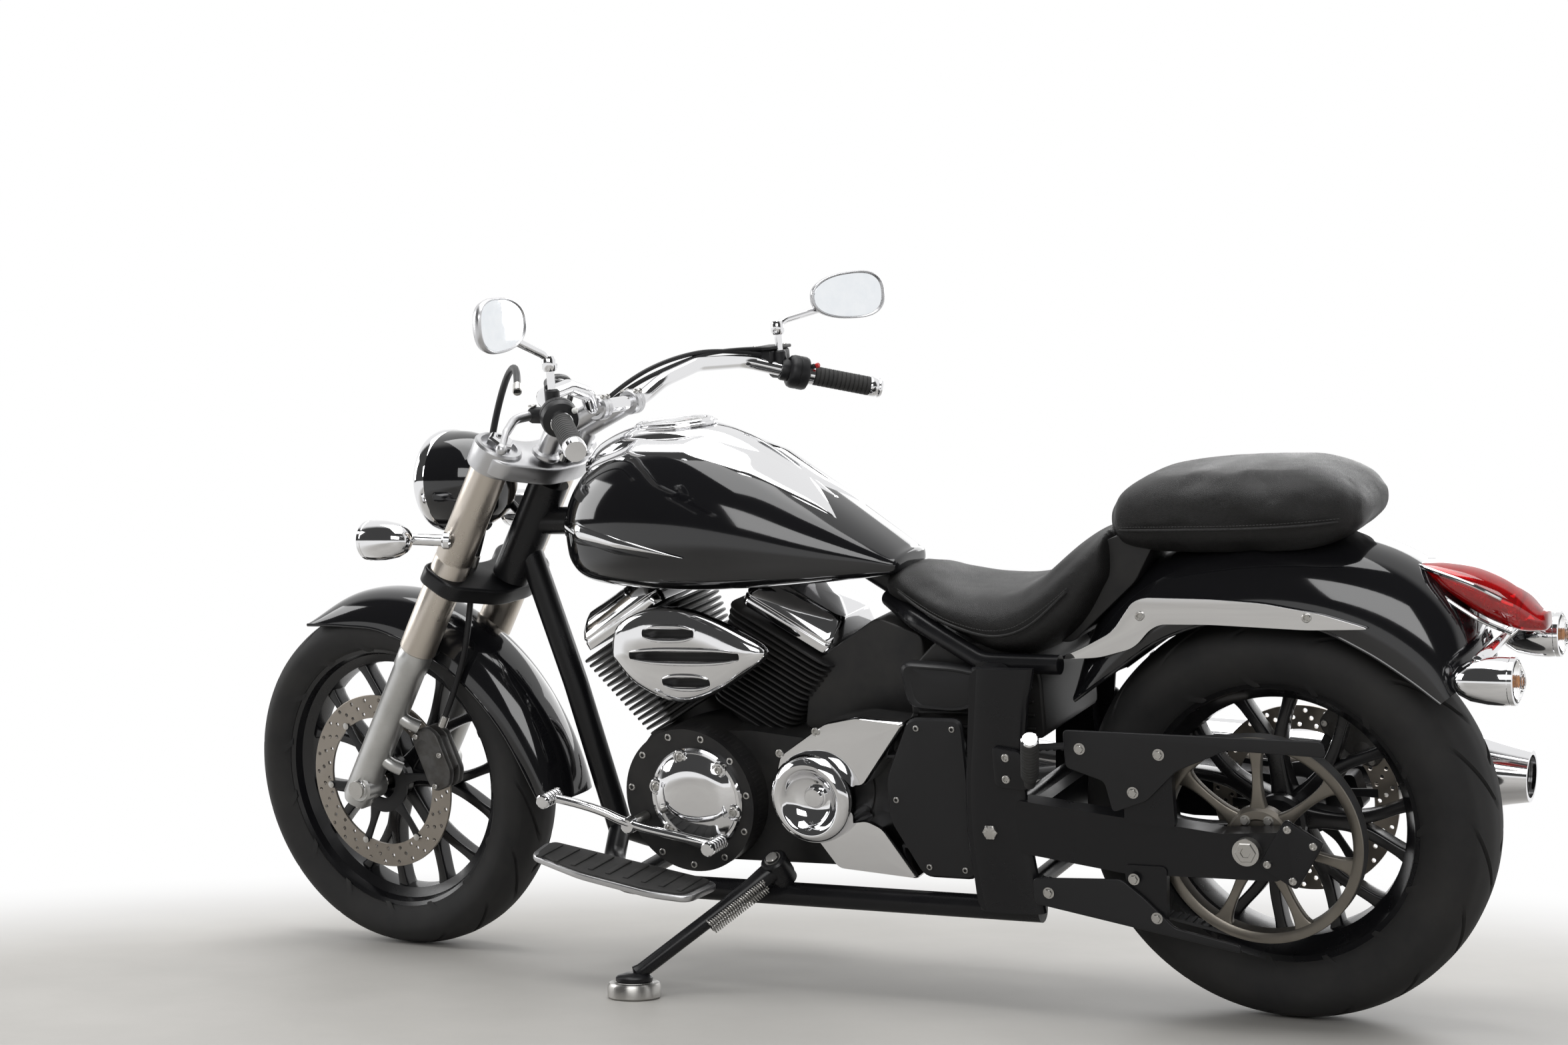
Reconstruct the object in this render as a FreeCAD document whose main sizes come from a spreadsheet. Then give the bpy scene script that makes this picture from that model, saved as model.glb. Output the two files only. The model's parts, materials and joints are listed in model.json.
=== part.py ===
import FreeCAD, Part
import math
import os

import Sketcher

# A cruiser motorcycle with an air-cooled V-twin and a belt drive, leaning on its side stand.
# Every piece is drawn on the upright machine, X forward, Y to the rider's left, Z up, from the
# floor point under the rear axle, and its placement then leans it over. Millimetres, degrees.

Vector = FreeCAD.Vector
Placement = FreeCAD.Placement
Rotation = FreeCAD.Rotation

doc = FreeCAD.newDocument("cruiser_motorcycle")
sheet = doc.addObject("Spreadsheet::Sheet", "Sizes")

CHASSIS_SIZES = {
    "wheelbase": 1685, "rake_angle": 32, "trail": 145, "lean_angle": 11.7, "rest_steer": 4.1,
    "clearance": 0.3, "overrun": 2, "seam": 0.5,
    "frame_height": 800, "seat_rail_height": 582, "bolster_radius": 12, "plate_corner": 8,
}
WHEEL_SIZES = {
    "front_tyre_radius": 320, "front_tyre_width": 130, "front_rim_radius": 241, "front_crown": 70,
    "rear_tyre_radius": 322, "rear_tyre_width": 170, "rear_rim_radius": 217, "rear_crown": 94,
    "rim_wall": 8, "flange_height": 12, "hub_radius": 42, "spoke_count": 7, "spoke_width": 22,
    "spoke_depth": 30, "fork_angle": 24,
    "front_hub_width": 96, "rear_hub_width": 120, "front_axle_radius": 10, "rear_axle_radius": 12,
    "front_disc_radius": 160, "front_disc_side": 68, "front_disc_band": 42, "disc_thickness": 5,
    "rear_disc_radius": 149, "rear_disc_side": 80, "rear_disc_band": 38, "carrier_arm": 20,
    "pad_gap": 5, "disc_hole": 4, "disc_hole_count": 28,
    "pulley_radius": 156, "pulley_width": 30, "pulley_side": 142, "pulley_rim": 12,
    "pulley_spokes": 7,
}
FORK_SIZES = {
    "slider_radius": 29, "cover_radius": 33, "leg_side": 108, "leg_lead": 10, "slider_lift": 15,
    "cover_lift": 5, "yoke_lift": 138, "yoke_low_height": 34, "top_yoke_lift": 386,
    "yoke_top_height": 46, "yoke_grip": 14, "stem_radius": 17, "head_radius": 34,
    "head_lift": 178, "head_length": 200, "yoke_depth": 62,
    "fender_gap": 26, "fender_wall": 3, "front_fender_half": 70,
    "lamp_radius": 92, "lamp_depth": 150, "lamp_lift": 275, "lamp_forward": 185,
    "indicator_radius": 35, "indicator_length": 108, "front_indicator_side": 200,
    "bar_radius": 12.7, "grip_radius": 18, "grip_length": 125, "riser_radius": 17,
    "bar_back": 611, "bar_pull": 260, "bar_half": 455, "bar_lift": 417, "bar_rise": 90, "bar_bend": 60,
    "riser_side": 48, "riser_rise": 46, "riser_bend": 25, "stem_bore_gap": 0.3,
    "switch_radius": 30, "switch_length": 38, "perch_radius": 14, "perch_length": 62,
    "lever_radius": 6.5, "lever_ball": 9, "lever_reach": 175, "lever_bend": 40,
    "pot_length": 44, "pot_width": 66, "pot_height": 30,
    "mirror_half": 72, "mirror_tall": 46, "mirror_depth": 22, "mirror_post": 82,
    "mirror_post_radius": 10, "mirror_arm_radius": 6,
    "caliper_length": 116, "caliper_width": 42, "caliper_depth": 58, "caliper_turn": 69,
    "lug_length": 52, "lug_width": 10, "lug_height": 125, "lug_drop": 235,
    "hose_radius": 5.5, "cable_radius": 6,
    "front_indicator_back": 41, "front_indicator_lift": 244, "indicator_root_lift": 240,
}
ENGINE_SIZES = {
    "crank_back": 720, "crank_height": 350, "cylinder_angle": 30, "case_half": 115,
    "bore_radius": 52, "fin_count": 16, "fin_pitch": 11, "fin_thickness": 4, "fin_start": 133,
    "fin_low": 78, "fin_high": 108, "fin_half": 96, "head_top": 312, "rocker_height": 58,
    "cover_ring": 122, "cover_ring_depth": 52, "dome_radius": 86, "dome_height": 26,
    "bulb_radius": 75, "bulb_depth": 70, "bulb_back": 959, "bulb_height": 367,
    "engine_rear": 450, "engine_front": 575, "engine_low": 225, "engine_height": 445,
    "case_corner": 30, "ring_lead": 8, "ring_drop": 4, "clutch_back": 60, "clutch_depth": 40,
    "barrel_foot": 85, "fin_corner": 26, "cover_corner": 18,
    "slotted_height": 590, "slotted_half": 150, "slotted_tall": 80,
    "slotted_depth": 30, "slotted_gap": 44, "slot_half": 8, "post_radius": 20,
    "dome_back": 10, "dome_up": 2, "gearbox_depth": 48, "gearbox_wall": 12, "oval_depth": 30,
    "swoosh_back": 170, "swoosh_length": 244, "swoosh_drop": 131, "swoosh_height": 264,
    "gearbox_length": 144, "gearbox_drop": 127, "gearbox_height": 260,
    "oval_length": 154, "oval_drop": 77, "oval_height": 80,
    "exhaust_radius": 24, "exhaust_rear": 322, "exhaust_front": 505, "exhaust_low": 268,
    "exhaust_height": 292, "exhaust_bend": 70, "muffler_radius": 56, "muffler_side": 226,
    "muffler_length": 645, "muffler_back": 318, "muffler_height": 344, "muffler_tilt": 3,
}
BODY_SIZES = {
    "rail_radius": 19, "rail_side": 165, "rail_height": 195,
    "backbone_radius": 24, "tunnel_gap": 10, "upright_thickness": 40, "upright_side": 160,
    "swing_forward": 412, "swing_height": 330, "swing_radius": 22, "swing_bolt": 9,
    "arm_side": 182, "right_arm_side": 131, "arm_thickness": 38, "arm_drop": 47, "arm_height": 107,
    "cross_back": 77, "cross_length": 26, "cross_height": 60,
    "tank_rear": 610, "tank_front": 463, "tank_half": 168, "tank_low": 686, "tank_height": 260,
    "dial_radius": 46, "dial_length": 38, "dial_lean": 6,
    "seat_rear": 240, "seat_length": 382, "seat_half": 160, "seat_low": 590, "seat_height": 200,
    "pillion_rear": -168, "pillion_length": 376, "pillion_half": 132, "pillion_lift": 122,
    "pillion_height": 98, "fender_half": 112, "strut_rear": -172, "strut_length": 502,
    "strut_low": 586, "strut_height": 98, "tail_back": 177, "tail_length": 166, "tail_half": 50,
    "tail_lift": 65, "tail_height": 104, "lamp_bar_back": 120, "lamp_bar_lift": 59,
    "lamp_bar_radius": 10, "rear_indicator_side": 150, "rear_fender_gap": 134,
    "guard_rear": -128, "guard_length": 473, "guard_drop": 158, "guard_height": 334,
    "board_back": 780, "board_length": 340, "board_half": 306, "board_low": 236, "control_height": 130,
    "board_thickness": 18, "pedal_radius": 7, "pad_radius": 11, "spindle_radius": 9,
    "pedal_length": 70, "pedal_width": 44, "pedal_thickness": 12,
    "peg_rear": 300, "peg_length": 95, "peg_half": 278, "peg_low": 400, "peg_height": 100,
    "peg_radius": 14, "peg_plate": 10, "peg_plate_side": 201,
    "carrier_wall": 12, "carrier_width": 40, "rear_caliper_turn": 40,
    "pedal_bend": 40, "pad_inset": 21, "pad_length": 53, "board_corner": 24,
    "backbone_bend": 80, "front_tube_radius": 22, "front_tube_bend": 400, "rail_bend": 60,
    "rail_overhang": 60, "seat_rail_overhang": 112, "spine_rear": 540, "head_back": 333,
    "upright_back": 52, "upright_length": 92, "upright_height": 393,
    "rear_indicator_lead": 45, "rear_indicator_drop": 34,
    "belt_thickness": 5, "belt_width": 26, "guard_side": 204, "guard_thickness": 3,
    "puck_radius": 43, "puck_height": 26, "puck_forward": 990, "puck_side": 378,
    "stand_radius": 13, "stand_forward": 812, "stand_side": 176, "stand_pivot_height": 243,
    "stand_foot_height": 8, "stand_foot_radius": 30, "spring_radius": 6,
}
TABLES = (CHASSIS_SIZES, WHEEL_SIZES, FORK_SIZES, ENGINE_SIZES, BODY_SIZES)


class Size(float):
    """A length or an angle together with the sheet formula that gives it."""

    def __new__(cls, value, formula):
        made = float.__new__(cls, value)
        made.formula = formula
        return made

    def __add__(self, other):
        return joined(self, "+", other, float(self) + float(other))

    def __radd__(self, other):
        return joined(other, "+", self, float(other) + float(self))

    def __sub__(self, other):
        return joined(self, "-", other, float(self) - float(other))

    def __rsub__(self, other):
        return joined(other, "-", self, float(other) - float(self))

    def __mul__(self, other):
        return joined(self, "*", other, float(self) * float(other))

    def __rmul__(self, other):
        return joined(other, "*", self, float(other) * float(self))

    def __truediv__(self, other):
        return joined(self, "/", other, float(self) / float(other))

    def __neg__(self):
        return joined(-1, "*", self, -float(self))


def formula_of(value):
    return value.formula if isinstance(value, Size) else repr(float(value))


def joined(left, sign, right, value):
    return Size(value, "(%s %s %s)" % (formula_of(left), sign, formula_of(right)))


class Named:
    """Gives each cell of the sheet by its alias."""


size = Named()
row = 0
for table in TABLES:
    for alias, number in table.items():
        row += 1
        sheet.set("A%d" % row, alias)
        sheet.set("B%d" % row, str(number))
        sheet.setAlias("B%d" % row, alias)
        setattr(size, alias, Size(number, "Sizes." + alias))
doc.recompute()

pieces = {}


def keep(node, item, place):
    """Names a finished sub-part and puts it in its place on the machine."""
    item.Label = node
    item.Placement = place
    pieces[node] = item
    return item


def keep_shape(node, shape, place):
    item = doc.addObject("Part::Feature", "Shape_" + node)
    item.Shape = shape
    return keep(node, item, place * shape.Placement)


def clear_of(shape, place, nodes):
    """The shape without what other finished sub-parts take of its space."""
    there = shape.copy()
    there.Placement = place * there.Placement
    for node in nodes:
        there = there.cut(pieces[node].Shape)
    there.Placement = place.inverse() * there.Placement
    return there


def sine(angle):
    return math.sin(math.radians(angle))


def cosine(angle):
    return math.cos(math.radians(angle))


def at(forward, side, up):
    return Vector(float(forward), float(side), float(up))


def moved(forward, side, up):
    return Placement(at(forward, side, up), Rotation())


# Heights along the steering axis, above the place beside the top of the front tyre

fork_foot = size.front_tyre_radius * 2
slider_top = fork_foot + size.slider_lift
cover_low = fork_foot + size.cover_lift
yoke_low = fork_foot + size.yoke_lift
yoke_top = fork_foot + size.top_yoke_lift
head_low = fork_foot + size.head_lift
head_high = head_low + size.head_length
lamp_height = fork_foot + size.lamp_lift
foot_forward = size.wheelbase + size.trail - fork_foot * sine(size.rake_angle)
foot_up = fork_foot * cosine(size.rake_angle)


class Room:
    """A box of named sizes; the places of a group of pieces are given as shares of it."""

    def __init__(self, rear, length, half, low, height):
        self.rear = rear
        self.length = length
        self.half = half
        self.low = low
        self.height = height

    def forward(self, share):
        return self.rear + self.length * share

    def up(self, share):
        return self.low + self.height * share

    def spot(self, forward_share, side_share, up_share):
        return at(self.forward(forward_share), self.half * side_share, self.up(up_share))

    def spots(self, shares, sign=1):
        return [self.spot(forward, side * sign, up) for forward, side, up in shares]

    def outline(self, shares):
        return [(self.forward(forward), self.up(up)) for forward, up in shares]

    def sections(self, shares, top_power, low_power):
        """Closed sections from shares: forward, half width, then the heights low, widest and high."""
        return [oval_section(self.forward(forward), self.half * half, self.up(low), self.up(widest),
                             self.up(high), top_power, low_power)
                for forward, half, low, widest, high in shares]


spine_length = size.wheelbase - size.head_back - size.spine_rear
spine_room = Room(size.spine_rear, spine_length, size.rail_side, 0, size.frame_height)
rail_room = Room(size.spine_rear, spine_length, size.rail_side, 0, size.rail_height)
upright_room = Room(size.swing_forward - size.upright_back, size.upright_length, size.upright_side,
                    size.rail_height, size.upright_height)
bar_room = Room(foot_forward - size.bar_back, size.bar_pull, size.bar_half,
                foot_up + size.bar_lift, size.bar_rise)
engine_room = Room(size.engine_rear, size.wheelbase - size.engine_front - size.engine_rear,
                   size.case_half, size.engine_low, size.engine_height)
crank_forward = size.wheelbase - size.crank_back
slotted_forward = crank_forward - size.dome_back
bulb_forward = size.wheelbase - size.bulb_back
swoosh_room = Room(bulb_forward - size.swoosh_back, size.swoosh_length, size.case_half,
                   size.bulb_height - size.swoosh_drop, size.swoosh_height)
gear_room = Room(size.engine_rear + size.bolster_radius / 2, size.gearbox_length, size.case_half,
                 size.bulb_height - size.gearbox_drop, size.gearbox_height)
oval_room = Room(size.swing_forward + size.bolster_radius / 2, size.oval_length, size.upright_side,
                 size.seat_rail_height - size.oval_drop, size.oval_height)
tank_room = Room(size.tank_rear, size.wheelbase - size.tank_front - size.tank_rear, size.tank_half,
                 size.tank_low, size.tank_height)
seat_room = Room(size.seat_rear, size.seat_length, size.seat_half, size.seat_low, size.seat_height)
pillion_room = Room(size.pillion_rear, size.pillion_length, size.pillion_half,
                    size.rear_tyre_radius * 2 + size.pillion_lift, size.pillion_height)
# How far what hangs on the back of the rear cover goes back and up with the tyre's radius
rear_slant = 0.7
tail_room = Room(-size.tail_back - size.rear_tyre_radius * rear_slant, size.tail_length,
                 size.tail_half, size.tail_lift + size.rear_tyre_radius * (1 + rear_slant),
                 size.tail_height)
strut_room = Room(size.strut_rear, size.strut_length, size.fender_half, size.strut_low,
                  size.strut_height)
arm_room = Room(0, size.swing_forward, size.arm_side, size.rear_tyre_radius - size.arm_drop,
                size.arm_height)
guard_room = Room(size.guard_rear, size.guard_length, size.guard_side,
                  size.rear_tyre_radius - size.guard_drop, size.guard_height)
exhaust_room = Room(size.exhaust_rear, size.wheelbase - size.exhaust_front - size.exhaust_rear,
                    size.muffler_side, size.exhaust_low, size.exhaust_height)
board_room = Room(size.wheelbase - size.board_back, size.board_length, size.board_half,
                  size.board_low, size.board_thickness)
control_room = Room(size.wheelbase - size.board_back, size.board_length, size.board_half,
                    size.board_low, size.control_height)
peg_room = Room(size.peg_rear, size.peg_length, size.peg_half, size.peg_low, size.peg_height)


# Places: the floor, the leaning machine, the steered fork and the two hubs

head_foot = at(size.wheelbase + size.trail, 0, 0)
head_axis = at(-sine(size.rake_angle), 0, cosine(size.rake_angle))
leaning = Placement(Vector(), Rotation(Vector(1, 0, 0), -float(size.lean_angle)))
turned = Placement(Vector(), Rotation(head_axis, -float(size.rest_steer)))
about_head = moved(*head_foot) * turned * moved(*(-head_foot))
fork_turn = Placement(head_foot, Rotation(Vector(0, 1, 0), -float(size.rake_angle)))


def lowest(centre, spin_axis, radius, crown):
    """The lowest point of a tyre of this crown, on a wheel with this centre and spin axis."""
    return centre.z - (radius - crown) * math.sqrt(1 - spin_axis.z ** 2) - crown


rear_low = lowest(leaning.multVec(at(0, 0, size.rear_tyre_radius)),
                  leaning.multVec(Vector(0, 1, 0)), size.rear_tyre_radius, size.rear_crown)
front_centre = (leaning * about_head).multVec(at(size.wheelbase, 0, size.front_tyre_radius))
front_low = lowest(front_centre, (leaning * turned).multVec(Vector(0, 1, 0)),
                   size.front_tyre_radius, size.front_crown)
axle_drop = (front_low - rear_low) / (cosine(size.rake_angle) * cosine(size.lean_angle))
axle_up = (size.trail * sine(size.rake_angle) + size.front_tyre_radius * cosine(size.rake_angle)
           - axle_drop)
fork_offset = (size.front_tyre_radius * sine(size.rake_angle)
               - size.trail * cosine(size.rake_angle))

floor = moved(0, 0, -rear_low)
bike = floor * leaning
steered = bike * about_head
fork = steered * fork_turn
rear_hub = bike * moved(0, 0, size.rear_tyre_radius)
front_hub = fork * moved(fork_offset, 0, axle_up)


# Shape helpers

def cylinder(radius, start, end):
    along = end - start
    return Part.makeCylinder(float(radius), along.Length, start, along)


def rounded_points(points, radius, closed):
    """Edges through the points, with an arc at each corner as large as asked or as fits."""
    count = len(points)
    corners = range(count) if closed else range(1, count - 1)
    starts = {}
    ends = {}
    edges = []
    arcs = {}
    for index in corners:
        corner = points[index]
        before = points[(index - 1) % count]
        after = points[(index + 1) % count]
        back = before - corner
        ahead = after - corner
        turn = math.pi - back.getAngle(ahead)
        if turn < 0.02:
            starts[index] = corner
            ends[index] = corner
            continue
        wanted = radius[index] if isinstance(radius, (list, tuple)) else radius
        reach = min(float(wanted) * math.tan(turn / 2), 0.49 * back.Length, 0.49 * ahead.Length)
        used = reach / math.tan(turn / 2)
        back.normalize()
        ahead.normalize()
        starts[index] = corner + back * reach
        ends[index] = corner + ahead * reach
        middle = (back + ahead).normalize()
        inset = used / math.cos(turn / 2) - used
        arcs[index] = Part.Arc(starts[index], corner + middle * inset, ends[index]).toShape()
    last = count if closed else count - 1
    for index in range(last):
        following = (index + 1) % count
        start = ends.get(index, points[index])
        end = starts.get(following, points[following])
        if (end - start).Length > 1e-6:
            edges.append(Part.LineSegment(start, end).toShape())
        if following in arcs:
            edges.append(arcs[following])
    return edges


def tube(points, radius, bend):
    """A round bar along straight runs joined by arcs."""
    path = Part.Wire(Part.__sortEdges__(rounded_points(points, bend, False)))
    along = points[1] - points[0]
    ring = Part.Wire([Part.Circle(points[0], along, float(radius)).toShape()])
    return path.makePipeShell([ring], True, False)


def outline_face(points, radius):
    return Part.Face(Part.Wire(Part.__sortEdges__(rounded_points(points, radius, True))))


def side_plate(outline, side, thickness, radius):
    """A plate in the X-Z plane, from side towards the left by thickness."""
    points = [at(forward, side, up) for forward, up in outline]
    return outline_face(points, radius).extrude(at(0, thickness, 0))


def closed_curve(points):
    curve = Part.BSplineCurve()
    curve.interpolate(Points=points, PeriodicFlag=True)
    return Part.Wire([curve.toShape()])


def rounded(value, power):
    return math.copysign(abs(value) ** power, value)


def oval_section(forward, half, low, widest, high, top_power, low_power, count=16):
    """A closed section across the machine: widest at one height, rounded above and below."""
    points = []
    for index in range(count):
        angle = 2 * math.pi * index / count
        if math.sin(angle) >= 0:
            side = half * rounded(math.cos(angle), top_power)
            up = widest + (high - widest) * rounded(math.sin(angle), top_power)
        else:
            side = half * rounded(math.cos(angle), low_power)
            up = widest + (widest - low) * rounded(math.sin(angle), low_power)
        points.append(at(forward, side, up))
    return closed_curve(points)


def loft(sections):
    return Part.makeLoft(sections, True, False)


def joined_shapes(shapes):
    return shapes[0].multiFuse(list(shapes[1:])).removeSplitter()


def compound(shapes):
    return Part.makeCompound(shapes)


def both_sides(shape):
    return [shape, shape.mirror(Vector(), Vector(0, 1, 0))]


def origin_plane(body, role):
    return [item for item in body.Origin.OriginFeatures if item.Role == role][0]


def turned_body(name, profile):
    """A body turned about its own Y axis from a closed profile of radius and side pairs."""
    body = doc.addObject("PartDesign::Body", name)
    sketch = body.newObject("Sketcher::SketchObject", name + "_profile")
    sketch.AttachmentSupport = [(origin_plane(body, "XY_Plane"), "")]
    sketch.MapMode = "FlatFace"
    count = len(profile)
    for index in range(count):
        start = profile[index]
        end = profile[(index + 1) % count]
        sketch.addGeometry(Part.LineSegment(at(start[0], start[1], 0), at(end[0], end[1], 0)), False)
    for index in range(count):
        sketch.addConstraint(Sketcher.Constraint("Coincident", index, 2, (index + 1) % count, 1))
    for index, (radius, side) in enumerate(profile):
        for kind, value in (("DistanceX", radius), ("DistanceY", side)):
            made = sketch.addConstraint(Sketcher.Constraint(kind, -1, 1, index, 1, float(value)))
            if isinstance(value, Size):
                sketch.setExpression("Constraints[%d]" % made, value.formula)
    turn = body.newObject("PartDesign::Revolution", name + "_turn")
    turn.Profile = sketch
    turn.ReferenceAxis = (sketch, ["V_Axis"])
    turn.Angle = 360
    doc.recompute()
    return body


def drilled(body, name, hole_radius, ring_radius, count, start_angle):
    """Drills a ring of holes along the body's Y axis."""
    sketch = body.newObject("Sketcher::SketchObject", name + "_hole")
    sketch.AttachmentSupport = [(origin_plane(body, "XZ_Plane"), "")]
    sketch.MapMode = "FlatFace"
    across = float(ring_radius) * cosine(start_angle)
    up = float(ring_radius) * sine(start_angle)
    sketch.addGeometry(Part.Circle(at(across, up, 0), Vector(0, 0, 1), float(hole_radius)), False)
    sketch.addConstraint(Sketcher.Constraint("Radius", 0, float(hole_radius)))
    sketch.addConstraint(Sketcher.Constraint("DistanceX", -1, 1, 0, 3, across))
    sketch.addConstraint(Sketcher.Constraint("DistanceY", -1, 1, 0, 3, up))
    if isinstance(hole_radius, Size):
        sketch.setExpression("Constraints[0]", hole_radius.formula)
    if isinstance(ring_radius, Size):
        sketch.setExpression("Constraints[1]", "%s * cos(%s deg)" % (ring_radius.formula, start_angle))
        sketch.setExpression("Constraints[2]", "%s * sin(%s deg)" % (ring_radius.formula, start_angle))
    pocket = body.newObject("PartDesign::Pocket", name + "_pocket")
    pocket.Profile = sketch
    pocket.Type = "ThroughAll"
    pocket.SideType = "Symmetric"
    doc.recompute()
    ring = body.newObject("PartDesign::PolarPattern", name + "_ring")
    ring.Originals = [pocket]
    ring.Axis = (origin_plane(body, "Y_Axis"), [""])
    ring.Occurrences = int(count)
    ring.Angle = 360
    body.Tip = ring
    doc.recompute()
    return body


# Wheels

shoulder_share = 0.9
bead_share = 0.64


def tyre(node, radius, width, crown, rim_radius, place):
    half = width / 2
    seat = rim_radius - size.flange_height
    shoulder_side = half * shoulder_share
    shoulder = radius - crown + math.sqrt(crown ** 2 - shoulder_side ** 2)
    wall_middle = (shoulder + rim_radius) / 2
    lip = rim_radius + size.overrun
    top = at(radius, 0, 0)
    right = at(shoulder, shoulder_side, 0)
    left = at(shoulder, -shoulder_side, 0)
    bead_side = half * bead_share
    edges = [Part.Arc(left, top, right).toShape()]
    for sign in (1, -1):
        edges.append(Part.Arc(at(shoulder, sign * shoulder_side, 0), at(wall_middle, sign * half, 0),
                              at(lip, sign * bead_side, 0)).toShape())
        edges.append(Part.LineSegment(at(lip, sign * bead_side, 0),
                                      at(seat + size.clearance, sign * bead_side, 0)).toShape())
    edges.append(Part.LineSegment(at(seat + size.clearance, bead_side, 0),
                                  at(seat + size.clearance, -bead_side, 0)).toShape())
    face = Part.Face(Part.Wire(Part.__sortEdges__(edges)))
    keep_shape(node, face.revolve(Vector(), Vector(0, 1, 0), 360), place)


def rim(node, radius, width, hub_width, bore, place):
    """A cast wheel: a channel rim, a hub and spokes that fork near the rim."""
    half = width * 0.33
    seat = radius - size.flange_height
    inner = seat - size.rim_wall
    profile = [(inner, -half), (radius, -half - size.rim_wall), (radius, -half), (seat, -half),
               (seat, half), (radius, half), (radius, half + size.rim_wall), (inner, half)]
    ring = Part.Face(Part.makePolygon([at(a, b, 0) for a, b in profile + profile[:1]]))
    shapes = [ring.revolve(Vector(), Vector(0, 1, 0), 360)]
    hub_half = hub_width / 2
    shapes.append(cylinder(size.hub_radius, at(0, -hub_half, 0), at(0, hub_half, 0)))
    split = size.hub_radius + (inner - size.hub_radius) * 0.45
    deep = size.spoke_depth / 2
    wide = size.spoke_width / 2
    for index in range(int(size.spoke_count)):
        turn = Rotation(Vector(0, 1, 0), 360 * index / float(size.spoke_count))
        stem = Part.makeBox(float(split - size.hub_radius + size.spoke_width), float(size.spoke_depth),
                            float(size.spoke_width),
                            at(size.hub_radius - size.overrun * 2, -deep, -wide))
        shapes.append(stem.copy())
        shapes[-1].Placement = Placement(Vector(), turn) * shapes[-1].Placement
        for sign in (1, -1):
            spread = float(size.fork_angle) / 2 * sign
            end = at(inner * cosine(spread) + size.overrun, 0, inner * sine(spread))
            start = at(split, 0, 0)
            along = end - start
            branch = Part.makeBox(along.Length, float(size.spoke_depth) * 0.8, float(wide) * 1.3,
                                  at(0, -deep * 0.8, -wide * 0.65))
            tilt = Rotation(Vector(0, 1, 0), -math.degrees(math.atan2(along.z, along.x)))
            branch.Placement = Placement(start, tilt)
            branch = branch.copy()
            branch.Placement = Placement(Vector(), turn) * branch.Placement
            shapes.append(branch)
    solid = joined_shapes(shapes)
    hole = cylinder(bore + size.clearance, at(0, -hub_width, 0), at(0, hub_width, 0))
    keep_shape(node, solid.cut(hole), place)


def disc(node, radius, band, side, hub_side, place):
    """A brake disc on a carrier with arms, held to the end of the hub."""
    half = size.disc_thickness / 2
    inner = radius - band
    body = turned_body(node, [(inner, side - half), (radius, side - half),
                              (radius, side + half), (inner, side + half)])
    for share, turn in ((0.3, 0), (0.7, 180 / float(size.disc_hole_count))):
        drilled(body, "%s_%d" % (node, int(share * 10)), size.disc_hole, inner + band * share,
                size.disc_hole_count, turn)
    out = float(side)
    sign = 1 if out > 0 else -1
    ring_radius = size.hub_radius * 0.95
    start = at(0, hub_side, 0)
    end = at(0, out + sign * half, 0)
    carrier = cylinder(ring_radius, start, end)
    hole = cylinder(size.hub_radius * 0.45, at(0, hub_side - sign, 0), at(0, out + sign * band, 0))
    arms = []
    for index in range(6):
        arm = Part.makeBox(float(inner - ring_radius + size.carrier_arm), float(size.disc_thickness),
                           float(size.carrier_arm),
                           at(ring_radius - size.overrun * 2, out - half, -size.carrier_arm / 2))
        arm.Placement = Placement(Vector(), Rotation(Vector(0, 1, 0), 60 * index)) * arm.Placement
        arms.append(arm)
    shape = joined_shapes([body.Shape, carrier] + arms).cut(hole)
    keep_shape(node, shape, place)


front_half_hub = size.front_hub_width / 2
rear_half_hub = size.rear_hub_width / 2
tyre("front_tyre", size.front_tyre_radius, size.front_tyre_width, size.front_crown,
     size.front_rim_radius, front_hub)
rim("front_rim", size.front_rim_radius, size.front_tyre_width, size.front_hub_width,
    size.front_axle_radius, front_hub)
disc("front_disc", size.front_disc_radius, size.front_disc_band, size.front_disc_side,
     front_half_hub, front_hub)
tyre("rear_tyre", size.rear_tyre_radius, size.rear_tyre_width, size.rear_crown,
     size.rear_rim_radius, rear_hub)
rim("rear_rim", size.rear_rim_radius, size.rear_tyre_width, size.rear_hub_width,
    size.rear_axle_radius, rear_hub)
disc("rear_disc", size.rear_disc_radius, size.rear_disc_band, -size.rear_disc_side,
     -rear_half_hub, rear_hub)


def pulley():
    """The toothed belt pulley on the left end of the rear hub."""
    half = size.pulley_width / 2
    outer = size.pulley_radius
    inner = outer - size.pulley_rim
    side = size.pulley_side
    lip = size.belt_thickness
    rings = [cylinder(outer, at(0, side - half, 0), at(0, side + half, 0))]
    rings[0] = rings[0].cut(cylinder(inner, at(0, side - half - size.overrun, 0),
                                     at(0, side + half + size.overrun, 0)))
    flange = cylinder(outer + lip, at(0, side - half - size.guard_thickness, 0),
                      at(0, side - half, 0))
    flange = flange.cut(cylinder(inner, at(0, side - half * 2, 0), at(0, side, 0)))
    hub = cylinder(size.hub_radius, at(0, rear_half_hub, 0), at(0, side + size.pulley_width * 0.2, 0))
    arms = []
    for index in range(int(size.pulley_spokes)):
        arm = Part.makeBox(float(inner - size.hub_radius + size.overrun * 3), float(half),
                           float(size.spoke_width),
                           at(size.hub_radius - size.overrun * 2, side - half * 0.6,
                              -size.spoke_width / 2))
        turn = Rotation(Vector(0, 1, 0), 360 * index / float(size.pulley_spokes))
        arm.Placement = Placement(Vector(), turn) * arm.Placement
        arms.append(arm)
    shape = joined_shapes(rings + [flange, hub] + arms)
    bore = cylinder(size.rear_axle_radius + size.clearance, at(0, 0, 0), at(0, side * 2, 0))
    keep_shape("rear_pulley", shape.cut(bore), rear_hub)


pulley()


# Axles

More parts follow.
